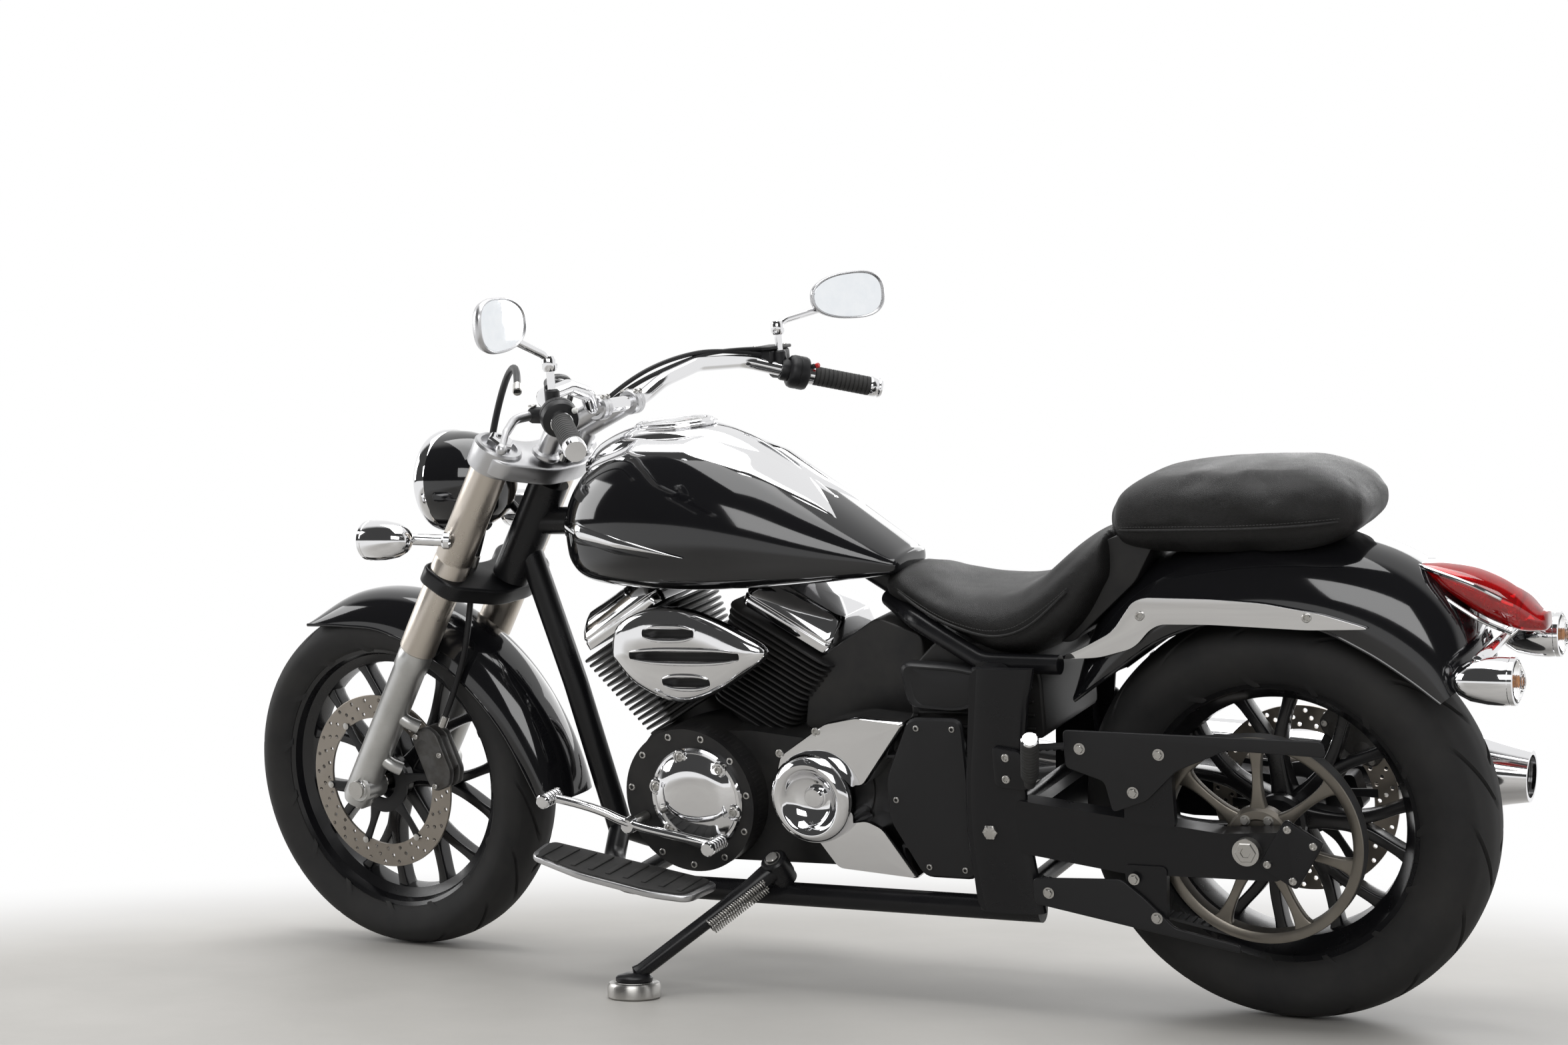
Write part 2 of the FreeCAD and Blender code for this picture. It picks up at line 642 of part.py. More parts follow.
def axle(node, radius, left, right, nut_radius, nut_height, place, spacers):
    """A through axle with a head on one end, a nut on the other and spacers beside the hub."""
    bar = cylinder(radius, at(0, -right, 0), at(0, left, 0))
    head = cylinder(nut_radius, at(0, left, 0), at(0, left + nut_height, 0))
    nut = cylinder(nut_radius, at(0, -right - nut_height, 0), at(0, -right, 0))
    sleeves = [cylinder(nut_radius, at(0, start, 0), at(0, end, 0)) for start, end in spacers]
    keep_shape(node, joined_shapes([bar, head, nut] + sleeves), place)


front_axle_end = size.leg_side + size.slider_radius
axle("front_axle", size.front_axle_radius, front_axle_end, front_axle_end,
     size.front_axle_radius * 1.6, size.front_axle_radius * 0.6, front_hub,
     [(size.front_disc_side + size.disc_thickness / 2 + size.clearance,
       size.leg_side - size.slider_radius),
      (-size.leg_side + size.slider_radius, -front_half_hub - size.clearance)])
arm_half = size.arm_thickness / 2
pulley_face = size.pulley_side + size.pulley_width * 0.2
axle("rear_axle", size.rear_axle_radius, size.arm_side + arm_half, size.right_arm_side + arm_half,
     size.rear_axle_radius * 1.7, size.rear_axle_radius * 1.2, rear_hub,
     [(pulley_face + size.clearance, size.arm_side - arm_half),
      (-size.right_arm_side + arm_half,
       -size.rear_disc_side - size.disc_thickness / 2 - size.clearance)])


# Fork, in its own frame: Z up the steering axis, X ahead of it

leg_offset = fork_offset + size.leg_lead


def fork_legs():
    legs = []
    for sign in (1, -1):
        side = sign * size.leg_side
        low = at(leg_offset, side, axle_up - size.slider_radius * 1.3)
        top = at(leg_offset, side, slider_top)
        slider = cylinder(size.slider_radius, low, top)
        cover = cylinder(size.cover_radius, at(leg_offset, side, cover_low),
                         at(leg_offset, side, yoke_top))
        cap = cylinder(size.slider_radius * 0.8, at(leg_offset, side, yoke_top - size.overrun),
                       at(leg_offset, side, yoke_top + size.yoke_top_height + size.yoke_grip))
        solids = [slider, cover, cap]
        if sign > 0:
            solids.append(Part.makeBox(float(size.lug_length), float(size.lug_width),
                                       float(size.lug_height),
                                       at(leg_offset - size.caliper_length / 2,
                                          size.front_disc_side + size.caliper_width / 2,
                                          fork_foot - size.lug_drop)))
        leg = joined_shapes(solids)
        bore = cylinder(size.front_axle_radius, at(fork_offset, side * 2, axle_up),
                        at(fork_offset, 0, axle_up))
        legs.append(leg.cut(bore))
    keep_shape("fork_legs", compound(legs), fork)


fork_legs()


def yoke_plate(low, height, leg_radius):
    """A clamp plate round both legs and the steering stem."""
    reach = size.cover_radius + size.yoke_grip
    depth = size.yoke_depth / 2
    outline = [at(leg_offset - reach * 0.8, size.leg_side + reach, low),
               at(leg_offset + reach, size.leg_side + reach, low),
               at(leg_offset + depth * 0.8, 0, low),
               at(leg_offset + reach, -size.leg_side - reach, low),
               at(leg_offset - reach * 0.8, -size.leg_side - reach, low),
               at(-depth, 0, low)]
    plate = outline_face(outline, size.cover_radius).extrude(at(0, 0, height))
    for sign in (1, -1):
        plate = plate.cut(cylinder(leg_radius, at(leg_offset, sign * size.leg_side, low - height),
                                   at(leg_offset, sign * size.leg_side, low + height * 2)))
    return plate


lamp_place = fork * moved(size.lamp_forward, 0, lamp_height)
level = Placement(Vector(), Rotation(Vector(0, 1, 0), float(size.rake_angle)))


def headlamp():
    """The lamp bucket, turned about its own forward axis, with its ring and lens."""
    radius = size.lamp_radius
    deep = size.lamp_depth
    body = turned_body("headlamp", [
        (0, -deep * 0.62), (radius * 0.35, -deep * 0.6), (radius * 0.72, -deep * 0.45),
        (radius * 0.9, -deep * 0.2), (radius * 0.97, deep * 0.1), (radius, deep * 0.12),
        (radius, deep * 0.24), (radius * 0.94, deep * 0.28), (radius * 0.6, deep * 0.34),
        (0, deep * 0.38)])
    forward = Placement(Vector(), Rotation(Vector(0, 0, 1), -90))
    keep("headlamp", body, lamp_place * level * forward)


headlamp()


def yokes():
    low = yoke_plate(yoke_low, size.yoke_low_height, size.cover_radius)
    ear = cylinder(size.stem_radius, at(leg_offset, 0, yoke_low + size.yoke_low_height / 2),
                   at(size.lamp_forward * 0.86, 0, lamp_height * 0.955))
    top = yoke_plate(yoke_top, size.yoke_top_height, size.slider_radius * 0.8)
    stem = cylinder(size.stem_radius, at(0, 0, yoke_low),
                    at(0, 0, yoke_top + size.yoke_top_height + size.overrun))
    nut = cylinder(size.stem_radius * 1.3, at(0, 0, yoke_top + size.yoke_top_height - size.overrun),
                   at(0, 0, yoke_top + size.yoke_top_height + size.yoke_grip))
    shape = joined_shapes([low, top, stem, nut, ear])
    keep_shape("yokes", clear_of(shape, fork, ["headlamp"]), fork)


yokes()


# Places across a wheel cover, and the power of its round shoulder
across_shares = (-1, -0.96, -0.75, -0.4, 0, 0.4, 0.75, 0.96, 1)
shoulder_power = 2.6


def fender_curve(angle, centre, crown, half, skirt, backwards=False):
    """A curve across a wheel cover, on a ray from the wheel's centre."""
    ray = at(cosine(angle), 0, sine(angle))
    points = []
    for share in across_shares:
        fall = 1 - math.sqrt(max(0, 1 - abs(share) ** shoulder_power))
        points.append(centre + ray * (crown - fall * (crown - skirt)) + at(0, share * half, 0))
    curve = Part.BSplineCurve()
    curve.interpolate(list(reversed(points)) if backwards else points)
    return curve


def fender_section(angle, centre, inner, wall, half, skirt):
    """A U-shaped section of a wheel cover, standing on a ray from the wheel's centre."""
    outside = fender_curve(angle, centre, inner + wall, half + wall, skirt)
    inside = fender_curve(angle, centre, inner, half, skirt, True)
    edges = [outside.toShape(),
             Part.LineSegment(outside.EndPoint, inside.StartPoint).toShape(),
             inside.toShape(),
             Part.LineSegment(inside.EndPoint, outside.StartPoint).toShape()]
    return Part.Wire(edges)


# Ray angles of the front cover, with the gap to the tyre and the depth of its sides, as shares
front_fender_shares = ((64, 0.2, 0.2), (80, 0.9, 2.0), (100, 1.1, 2.6), (130, 1.3, 2.8),
                       (158, 1.9, 2.4), (183, 2.6, 1.0))


def front_fender():
    sections = []
    for angle, gap_share, depth_share in front_fender_shares:
        inner = size.front_tyre_radius + size.fender_gap * gap_share
        skirt = inner - size.fender_gap * depth_share
        sections.append(fender_section(angle, Vector(), float(inner), float(size.fender_wall),
                                       float(size.front_fender_half), float(skirt)))
    place = steered * moved(size.wheelbase, 0, size.front_tyre_radius)
    shell = loft(sections)
    for sign in (1, -1):
        boss = cylinder(size.bolster_radius,
                        at(leg_offset, sign * (size.front_fender_half + size.clearance),
                           fork_foot),
                        at(leg_offset, sign * size.leg_side, fork_foot))
        boss.Placement = place.inverse() * fork
        shell = shell.fuse(boss)
    shell = clear_of(shell, place, ["fork_legs"])
    keep_shape("front_fender", max(shell.Solids, key=lambda solid: solid.Volume), place)


front_fender()

# Profile of an indicator bullet, as shares of its length and its radius
bullet_shares = ((0, 0), (0.04, 0.12), (0.16, 0.42), (0.34, 0.7), (0.55, 0.9), (0.74, 1),
                 (0.8, 1), (0.84, 0.96), (0.94, 0.78), (1, 0.4), (1.01, 0))


def bullet(radius, length):
    points = [at(a * length, 0, b * radius) for a, b in bullet_shares]
    curve = Part.makePolygon(points + points[:1])
    return Part.Face(curve).revolve(Vector(), Vector(1, 0, 0), 360)


def front_indicators():
    shapes = []
    for sign in (1, -1):
        tip = at(foot_forward - size.front_indicator_back, sign * size.front_indicator_side,
                 foot_up + size.front_indicator_lift)
        pod = bullet(size.indicator_radius, size.indicator_length)
        pod.Placement = Placement(tip, Rotation())
        root = fork_turn.multVec(at(leg_offset, sign * (size.leg_side + size.cover_radius * 0.6),
                                    fork_foot + size.indicator_root_lift))
        stem = cylinder(size.indicator_radius * 0.35, root, tip + at(size.indicator_length * 0.35, 0, 0))
        shapes.append(clear_of(joined_shapes([pod, stem]), steered, ["fork_legs"]))
    keep_shape("front_indicators", compound(shapes), steered)


front_indicators()

# The handlebar from its middle to the left grip
bar_shares = ((0.985, 0, 0.356), (0.985, 0.154, 0.356), (0.892, 0.246, 0.689), (0.815, 0.418, 0.9),
              (0.7, 0.659, 0.844), (0.462, 0.758, 0.578), (0.038, 1, 0.089))
bar_points = bar_room.spots(bar_shares)
clamp_share = 0.25


def mirrored_points(points):
    return [at(point.x, -point.y, point.z) for point in reversed(points[1:])]


def handlebar():
    points = mirrored_points(bar_points) + bar_points
    bar = tube(points, size.bar_radius, size.bar_bend)
    middle = bar_points[0]
    clamps = []
    for sign in (1, -1):
        foot = fork_turn.multVec(at(0, sign * size.riser_side, yoke_top + size.yoke_top_height))
        elbow = foot + head_axis * float(size.riser_rise)
        seat = middle + at(0, sign * size.riser_side, 0)
        half = at(0, size.riser_side * clamp_share, 0)
        clamps.append(tube([foot, elbow, seat], size.riser_radius, size.riser_bend))
        clamps.append(cylinder(size.bar_radius * 1.6, seat - half, seat + half))
    keep_shape("handlebar", clear_of(joined_shapes([bar] + clamps), steered, ["yokes"]), steered)


handlebar()
grip_end = bar_points[-1]
grip_way = (bar_points[-1] - bar_points[-2]).normalize()


def grips():
    shapes = []
    for sign in (1, -1):
        end = at(grip_end.x, sign * grip_end.y, grip_end.z)
        way = at(grip_way.x, sign * grip_way.y, grip_way.z)
        start = end - way * float(size.grip_length)
        sleeve = cylinder(size.grip_radius, start, end + way * float(size.bar_radius))
        core = cylinder(size.bar_radius + size.clearance / 3, start - way,
                        end + way * float(size.clearance))
        shapes.append(sleeve.cut(core))
    keep_shape("grips", compound(shapes), steered)


grips()


# The lever's bends ahead of its pivot, and the reservoir's corner, as shares
lever_shares = ((0, 0, 0), (0.034, 0.229, -0.011), (-0.171, 0.629, -0.091), (-0.4, 1, -0.194))
perch_way_shares = (0.8, 0.1, 0.05)
pot_shares = (-1.23, 0.3, 0.53)


def hand_controls():
    """Switch boxes, lever perches, levers and the brake fluid reservoir."""
    shapes = []
    for sign in (1, -1):
        end = at(grip_end.x, sign * grip_end.y, grip_end.z)
        way = at(grip_way.x, sign * grip_way.y, grip_way.z)
        inner = end - way * float(size.grip_length + size.clearance)
        box_end = inner - way * float(size.switch_length)
        box = cylinder(size.switch_radius, box_end, inner)
        ahead, out, up = perch_way_shares
        perch_way = at(ahead, sign * out, up)
        root = box_end + way * float(size.perch_radius * 0.86)
        perch = cylinder(size.perch_radius, root, root + perch_way * float(size.perch_length))
        pivot = root + perch_way * float(size.perch_length * 0.9)
        bends = [pivot + at(a, sign * b, c) * float(size.lever_reach) for a, b, c in lever_shares]
        lever = tube(bends, size.lever_radius, size.lever_bend)
        solids = [box, perch, lever, Part.makeSphere(float(size.lever_ball), bends[-1])]
        if sign < 0:
            ahead, out, up = pot_shares
            corner = pivot + at(size.pot_length * ahead, size.pot_width * out, size.pot_height * up)
            solids.append(Part.makeBox(float(size.pot_length), float(size.pot_width),
                                       float(size.pot_height), corner))
        shapes.append(clear_of(joined_shapes(solids), steered, ["handlebar"]))
    keep_shape("hand_controls", compound(shapes), steered)


hand_controls()

# Feet of the mirror stems and the middles of both heads, as shares
mirror_foot_shares = (0.508, 0.743, 0.711)
mirror_head_shares = {1: (0.515, 0.989, 2.222), -1: (0.192, -0.993, 1.956)}


mirror_corners = 12


def mirrors():
    shapes = []
    for sign in (1, -1):
        ahead, out, up = mirror_foot_shares
        foot = bar_room.spot(ahead, sign * out, up)
        post = cylinder(size.mirror_post_radius, foot, foot + at(0, 0, size.mirror_post))
        centre = bar_room.spot(*mirror_head_shares[sign])
        arm = cylinder(size.mirror_arm_radius, foot + at(0, 0, size.mirror_post * 0.85),
                       centre + at(size.mirror_depth * 0.27, -sign * size.mirror_half * 0.55,
                                   -size.mirror_tall * 0.43))
        points = []
        for index in range(mirror_corners):
            angle = 2 * math.pi * index / mirror_corners
            reach = 1 + 0.16 * math.cos(angle)
            points.append(at(0, size.mirror_half * math.cos(angle),
                             size.mirror_tall * reach * math.sin(angle)))
        head = Part.Face(closed_curve(points)).extrude(at(size.mirror_depth, 0, 0))
        head.Placement = Placement(centre - at(size.mirror_depth * 0.27, 0, 0), Rotation())
        shapes.append(clear_of(joined_shapes([post, arm, head]), steered, ["hand_controls", "handlebar"]))
    keep_shape("mirrors", compound(shapes), steered)


mirrors()


def caliper_block(radius, side, gap):
    """A block astride a disc, over the disc's top, with a slot that leaves a gap on both faces."""
    block = Part.makeBox(float(size.caliper_length), float(size.caliper_width),
                         float(size.caliper_depth),
                         at(-size.caliper_length / 2, side - size.caliper_width / 2,
                            radius - size.caliper_depth * 0.31))
    slot = Part.makeBox(float(size.caliper_length + size.overrun * 2), float(gap * 2),
                        float(size.caliper_depth),
                        at(-size.caliper_length / 2 - size.overrun, side - gap,
                           radius - size.caliper_depth * 0.55))
    return block.cut(slot)


def front_caliper():
    radius = size.front_disc_radius - size.front_disc_band / 2
    side = size.front_disc_side
    gap = size.disc_thickness / 2 + size.pad_gap
    shape = caliper_block(radius, side, gap)
    shape.Placement = Placement(Vector(), Rotation(Vector(0, 1, 0), -float(size.caliper_turn)))
    place = steered * moved(size.wheelbase, 0, size.front_tyre_radius)
    keep_shape("front_caliper", clear_of(shape, place, ["fork_legs"]), place)


front_caliper()


# Routes of the brake hose and of the cable that loops ahead of the bars
hose_points = [at(1436, 62, 700), at(1432, 84, 620), at(1470, 82, 520), at(1520, 82, 432)]
loop_points = [at(1148, 252, 1040), at(1205, 170, 1085), at(1300, 90, 1050), at(1385, 46, 920),
               at(1400, 42, 810), at(1447, 42, 715)]


def steering_cables():
    hose = tube(hose_points, size.hose_radius, size.bar_bend)
    loops = tube(loop_points, size.cable_radius, size.bar_bend)
    shape = clear_of(compound([hose, loops]), steered, ["yokes", "front_caliper", "hand_controls"])
    keep_shape("steering_cables", compound(sorted(shape.Solids, key=lambda it: -it.Volume)[:2]), steered)


steering_cables()


# Side stand places, which the frame's lug follows

stand_pivot = at(size.stand_forward, size.stand_side, size.stand_pivot_height)
folded_way_shares = at(-0.96, 0.28, -0.05)
ground = at(size.puck_forward, size.puck_side, 0)
ankle = ground + at(0, 0, size.puck_height + size.stand_foot_height)
deployed_way = (bike.inverse().multVec(ankle) - stand_pivot).normalize()
folded_way = folded_way_shares.normalize()
stand_hinge = deployed_way.cross(folded_way).normalize()
stand_fold = math.degrees(deployed_way.getAngle(folded_way))
knuckle_half = size.stand_radius * 1.3


# Frame

# Places along the backbone, the front tube and the bends of the lower and the seat rails
backbone_shares = ((0.991, 0, 0.99), (0.764, 0, 0.988), (0.246, 0, 0.935), (0.062, 0, 0.819), (0, 0, 0.8))
front_tube_shares = ((1, 0, 0.931), (0.917, 0, 0.625), (0.84, 0, 0.281))
rail_shares = ((0.84, 0.048, 1.21), (0.813, 0.424, 1.026), (0.714, 1, 1))
seat_rail_shares = ((0.123, 0.121, 0.825), (0.025, 0.576, 0.8))
upright_shares = ((0.924, 0.013), (1, 0.344), (0.87, 0.7), (0.707, 1), (0.13, 1), (0.196, 0.7),
                  (0.163, 0.344), (0, 0.013))
backbone_points = spine_room.spots(backbone_shares)


def stand_lug():
    """The lug on the left rail with the pin that the stand turns on."""
    low = stand_pivot - stand_hinge * float(knuckle_half + size.clearance)
    high = stand_pivot + stand_hinge * float(knuckle_half + size.clearance)
    plate = cylinder(size.stand_radius * 1.6, low - stand_hinge * float(size.stand_radius), low)
    pin = cylinder(size.stand_radius * 0.5, low - stand_hinge, high + stand_hinge)
    head = cylinder(size.stand_radius * 0.9, high, high + stand_hinge * float(size.spring_radius))
    strut = cylinder(size.stand_radius, low - stand_hinge * float(size.stand_radius * 0.6),
                     at(size.stand_forward, size.rail_side, size.rail_height))
    room = cylinder(size.stand_radius * 2.4, low, high)
    return joined_shapes([plate, strut.cut(room), pin, head])


seat_rail_side = (size.fender_half + size.fender_wall * 4 + size.clearance * 2
                  + size.rail_radius * 0.8)


def frame():
    head = cylinder(size.head_radius, fork_turn.multVec(at(0, 0, head_low)),
                    fork_turn.multVec(at(0, 0, head_high)))
    bore = cylinder(size.stem_radius + size.stem_bore_gap,
                    fork_turn.multVec(at(0, 0, head_low - size.overrun)),
                    fork_turn.multVec(at(0, 0, head_high + size.overrun)))
    backbone = tube(backbone_points, size.backbone_radius, size.backbone_bend)
    down = tube(spine_room.spots(front_tube_shares), size.front_tube_radius, size.front_tube_bend)
    solids = [head, backbone, down]
    thin = size.rail_radius * 0.8
    rail_end = size.swing_forward - size.rail_overhang
    seat_rail_end = size.swing_forward - size.seat_rail_overhang
    for sign in (1, -1):
        rail = tube(rail_room.spots(rail_shares, sign)
                    + [at(rail_end, sign * size.rail_side, size.rail_height)],
                    size.rail_radius, size.rail_bend)
        side = size.upright_side if sign > 0 else -size.upright_side - size.upright_thickness
        upright = side_plate(upright_room.outline(upright_shares), side, size.upright_thickness,
                             size.upright_thickness / 2)
        seat_rail = tube(spine_room.spots(seat_rail_shares, sign)
                         + [at(size.swing_forward + thin, sign * seat_rail_side,
                               size.seat_rail_height + size.overrun),
                            at(seat_rail_end, sign * seat_rail_side, size.seat_rail_height)],
                         thin, size.rail_bend)
        solids += [rail, upright, seat_rail]
    cross_rear = size.swing_forward + size.rail_radius * 0.42
    cross_front = rail_room.forward(rail_shares[-1][0])
    cross_high = size.seat_rail_height - size.rail_radius * 0.37
    for forward, half, up in ((cross_rear, size.rail_side, size.rail_height),
                              (cross_front, size.rail_side, size.rail_height),
                              (cross_rear, size.upright_side, cross_high)):
        solids.append(cylinder(thin, at(forward, -half, up), at(forward, half, up)))
    room = cylinder(size.stand_radius * 2.4,
                    stand_pivot - stand_hinge * float(knuckle_half + size.clearance),
                    stand_pivot + stand_hinge * float(knuckle_half + size.clearance))
    reach = size.upright_side + size.upright_thickness + size.overrun
    bolt = cylinder(size.swing_bolt, at(size.swing_forward, -reach, size.swing_height),
                    at(size.swing_forward, reach, size.swing_height))
    solids.append(bolt)
    shape = joined_shapes(solids).cut(bore).cut(room)
    keep_shape("frame", joined_shapes([shape, stand_lug()]), bike)


frame()


# Engine

case_shares = ((0.992, 0.146), (0.992, 0.393), (0.924, 0.506), (0.636, 0.517), (0.409, 0.483),
               (0.106, 0.551), (0.03, 0.438), (0.03, 0.146), (0.136, 0.022), (0.924, 0.011))


def engine_case():
    centre = at(crank_forward, 0, size.crank_height)
    half = size.case_half
    case = side_plate(engine_room.outline(case_shares), -half, half * 2, size.case_corner)
    middle = centre + at(size.ring_lead, 0, -size.ring_drop)
    ring = cylinder(size.cover_ring, middle, middle + at(0, half + size.cover_ring_depth, 0))
    middle = centre + at(-size.clutch_back, 0, -size.ring_drop)
    clutch = cylinder(size.cover_ring * 0.9, middle - at(0, half + size.clutch_depth, 0), middle)
    keep_shape("engine_case", joined_shapes([case, ring, clutch]), bike)


engine_case()


def cylinder_frame(lean):
    """The placement of a cylinder: Z up its bore from the crankshaft."""
    return Placement(at(crank_forward, 0, size.crank_height), Rotation(Vector(0, 1, 0), lean))


def cylinders():
    shapes = []
    for lean in (size.cylinder_angle, -size.cylinder_angle):
        solids = [cylinder(size.bore_radius, at(0, 0, size.barrel_foot), at(0, 0, size.head_top))]
        for index in range(int(size.fin_count)):
            up = size.fin_start + size.fin_pitch * index
            share = index / (float(size.fin_count) - 1)
            long_half = size.fin_low + (size.fin_high - size.fin_low) * share
            wide_half = size.fin_half * (0.86 + 0.14 * share)
            inner_half = min(long_half, up * math.tan(math.radians(size.cylinder_angle))
                             - size.fin_thickness)
            ahead = long_half if lean > 0 else inner_half
            behind = inner_half if lean > 0 else long_half
            outline = [at(-behind, -wide_half, up), at(ahead, -wide_half, up),
                       at(ahead, wide_half, up), at(-behind, wide_half, up)]
            fin = outline_face(outline, size.fin_corner).extrude(at(0, 0, size.fin_thickness))
            solids.append(fin)
        shape = joined_shapes(solids)
        shape.Placement = cylinder_frame(float(lean))
        shapes.append(shape)
    shapes = [clear_of(shape, bike, ["engine_case"]) for shape in shapes]
    keep_shape("cylinders", compound(shapes), bike)


cylinders()


def rocker_covers():
    shapes = []
    for lean in (size.cylinder_angle, -size.cylinder_angle):
        low = size.head_top
        high = low + size.rocker_height
        long_half = float(size.fin_high) * 0.86
        wide_half = float(size.fin_half) * 0.88
        base = outline_face([at(-long_half, -wide_half, low), at(long_half, -wide_half, low),
                             at(long_half, wide_half, low), at(-long_half, wide_half, low)],
                            size.cover_corner)
        top = outline_face([at(-long_half * 0.8, -wide_half * 0.62, high),
                            at(long_half * 0.8, -wide_half * 0.62, high),
                            at(long_half * 0.8, wide_half * 0.62, high),
                            at(-long_half * 0.8, wide_half * 0.62, high)],
                           size.cover_corner * 0.78)
        shape = loft([base.OuterWire, top.OuterWire])
        shape.Placement = cylinder_frame(float(lean))
        shapes.append(shape)
    keep_shape("rocker_covers", compound(shapes), bike)


rocker_covers()

# Outline of the slotted cover about its middle, its slots, and how its edge closes with depth
slotted_shares = ((0.993, -0.025), (0.873, 0.625), (0.433, 0.975), (-0.1, 0.925), (-0.633, 0.525),
                  (-0.98, 0.075), (-0.7, -0.375), (-0.233, -0.85), (0.2, -1), (0.7, -0.625))
slot_shares = ((0.5, 0.5, -0.167), (0.025, 0.7, -0.7), (-0.525, 0.3, -0.3))
edge_shares = ((0, 1), (0.6, 0.98), (1, 0.86))


def slotted_cover():
    side = size.fin_half + size.slotted_gap
    middle = at(slotted_forward, side, size.slotted_height)
    sections = []
    for depth, grow in edge_shares:
        sections.append(closed_curve([
            middle + at(size.slotted_half * ahead * grow, size.slotted_depth * depth,
                        size.slotted_tall * up * grow) for ahead, up in slotted_shares]))
    shape = loft(sections)
    for up, front, back in slot_shares:
        low = size.slotted_height + size.slotted_tall * up - size.slot_half
        high = low + size.slot_half * 2
        front = slotted_forward + size.slotted_half * front
        back = slotted_forward + size.slotted_half * back
        slot = side_plate([(front, low), (front, high), (back, high), (back, low)],
                          side + size.slot_half, size.slotted_depth * 2, size.slot_half * 0.94)
        shape = shape.cut(slot)
    post = cylinder(size.post_radius, at(slotted_forward, -size.bore_radius, size.slotted_height),
                    at(slotted_forward, side + size.overrun, size.slotted_height))
    keep_shape("slotted_cover", clear_of(shape.fuse(post), bike, ["cylinders"]), bike)


slotted_cover()


def turned_cover(node, profile, forward, up, side):
    body = turned_body(node, profile)
    keep(node, body, bike * moved(forward, side, up))


ring_face = size.case_half + size.cover_ring_depth
turned_cover("generator_cover", [
    (0, size.clearance), (size.dome_radius, size.clearance), (size.dome_radius, size.dome_height * 0.3),
    (size.dome_radius * 0.88, size.dome_height * 0.6), (size.dome_radius * 0.55, size.dome_height * 0.9),
    (0, size.dome_height)], crank_forward - size.dome_back, size.crank_height + size.dome_up,
             ring_face)


def drive_belt():
    """The belt as one fixed loop, clear of the pulley that it drives."""
    rear_radius = size.pulley_radius + size.clearance * 2
    front_radius = float(rear_radius) * 0.34
    span = float(bulb_forward)
    rise = float(size.bulb_height - size.rear_tyre_radius)
    distance = math.hypot(span, rise)
    tilt = math.atan2(rise, span)
    wrap = math.asin((float(rear_radius) - front_radius) / distance)

    def loop(extra):
        big = float(rear_radius) + extra
        small = front_radius + extra
        up = tilt + math.pi / 2 - wrap
        down = tilt - math.pi / 2 + wrap
        side = size.pulley_side - size.belt_width / 2
        rear = at(0, side, size.rear_tyre_radius)
        front = at(bulb_forward, side, size.bulb_height)

        def spot(centre, reach, angle):
            return centre + at(reach * math.cos(angle), 0, reach * math.sin(angle))
        edges = [Part.LineSegment(spot(rear, big, up), spot(front, small, up)).toShape(),
                 Part.Arc(spot(front, small, up), spot(front, small, tilt),
                          spot(front, small, down)).toShape(),
                 Part.LineSegment(spot(front, small, down), spot(rear, big, down)).toShape(),
                 Part.Arc(spot(rear, big, down), spot(rear, big, tilt + math.pi),
                          spot(rear, big, up)).toShape()]
        return Part.Face(Part.Wire(edges)).extrude(at(0, size.belt_width, 0))

    belt = loop(float(size.belt_thickness)).cut(loop(0))
    keep_shape("drive_belt", belt, bike)
    room = loop(float(size.belt_thickness) * 3)
    grown = room.makeOffsetShape(float(size.belt_thickness), 0.01)
    return grown


belt_room = drive_belt()


# The swoosh plates above and below the belt
upper_swoosh_shares = ((1, 0.621), (0.959, 0.735), (0.59, 0.955), (0.344, 1), (0, 0.97), (0.344, 0.564),
                       (0.59, 0.564))
lower_swoosh_shares = ((0.59, 0.318), (0.344, 0.356), (0.23, 0.311), (0, 0), (0.59, 0.038),
                       (0.754, 0.242))
swoosh_shares = (upper_swoosh_shares, lower_swoosh_shares)


def pulley_cover():
    side = size.case_half
    deep = size.bulb_depth
    bulb_radius = size.bulb_radius
    body = turned_body("bulb", [
        (0, 0), (bulb_radius, 0), (bulb_radius, deep), (bulb_radius * 0.92, deep * 1.3),
        (bulb_radius * 0.8, deep * 1.42), (bulb_radius * 0.62, deep * 1.3), (bulb_radius * 0.4, deep * 1.1),
        (bulb_radius * 0.25, deep * 1.25), (0, deep * 1.25)])
    bulb = body.Shape.copy()
    bulb.Placement = moved(bulb_forward, side, size.bulb_height)
    plates = [side_plate(swoosh_room.outline(outline), side, size.bulb_depth * 0.9,
                         size.plate_corner) for outline in swoosh_shares]
    keep_shape("pulley_cover", joined_shapes([bulb] + plates).cut(belt_room), bike)


pulley_cover()


gearbox_shares = ((0.667, 1), (0.028, 1), (0, 0), (0.639, 0), (1, 0.346), (1, 0.615))
gearbox_post_shares = ((0.306, 0.615), (0.306, 0.277))
oval_shares = ((1, 1), (0.922, 0.062), (0.338, 0), (0, 0.188), (0, 0.812), (0.338, 0.938))


def side_covers():
    """The black gearbox cover and the small covers under the seat."""
    side = size.case_half
    face = side + size.gearbox_depth
    solids = [side_plate(gear_room.outline(gearbox_shares), face, size.gearbox_wall,
                         size.gearbox_wall)]
    for ahead, up in gearbox_post_shares:
        foot = at(gear_room.forward(ahead), side, gear_room.up(up))
        solids.append(cylinder(size.bolster_radius, foot, foot + at(0, size.gearbox_depth, 0)))
    gearbox = joined_shapes(solids)
    ovals = []
    for sign in (1, -1):
        reach = size.upright_side - size.clearance
        start = reach - size.oval_depth if sign > 0 else -reach
        ovals.append(side_plate(oval_room.outline(oval_shares), start, size.oval_depth,
                                size.plate_corner * 2))
    ovals = [clear_of(oval, bike, ["frame"]) for oval in ovals]
    keep_shape("side_covers", compound([gearbox] + ovals), bike)


side_covers()


# Tank and seats

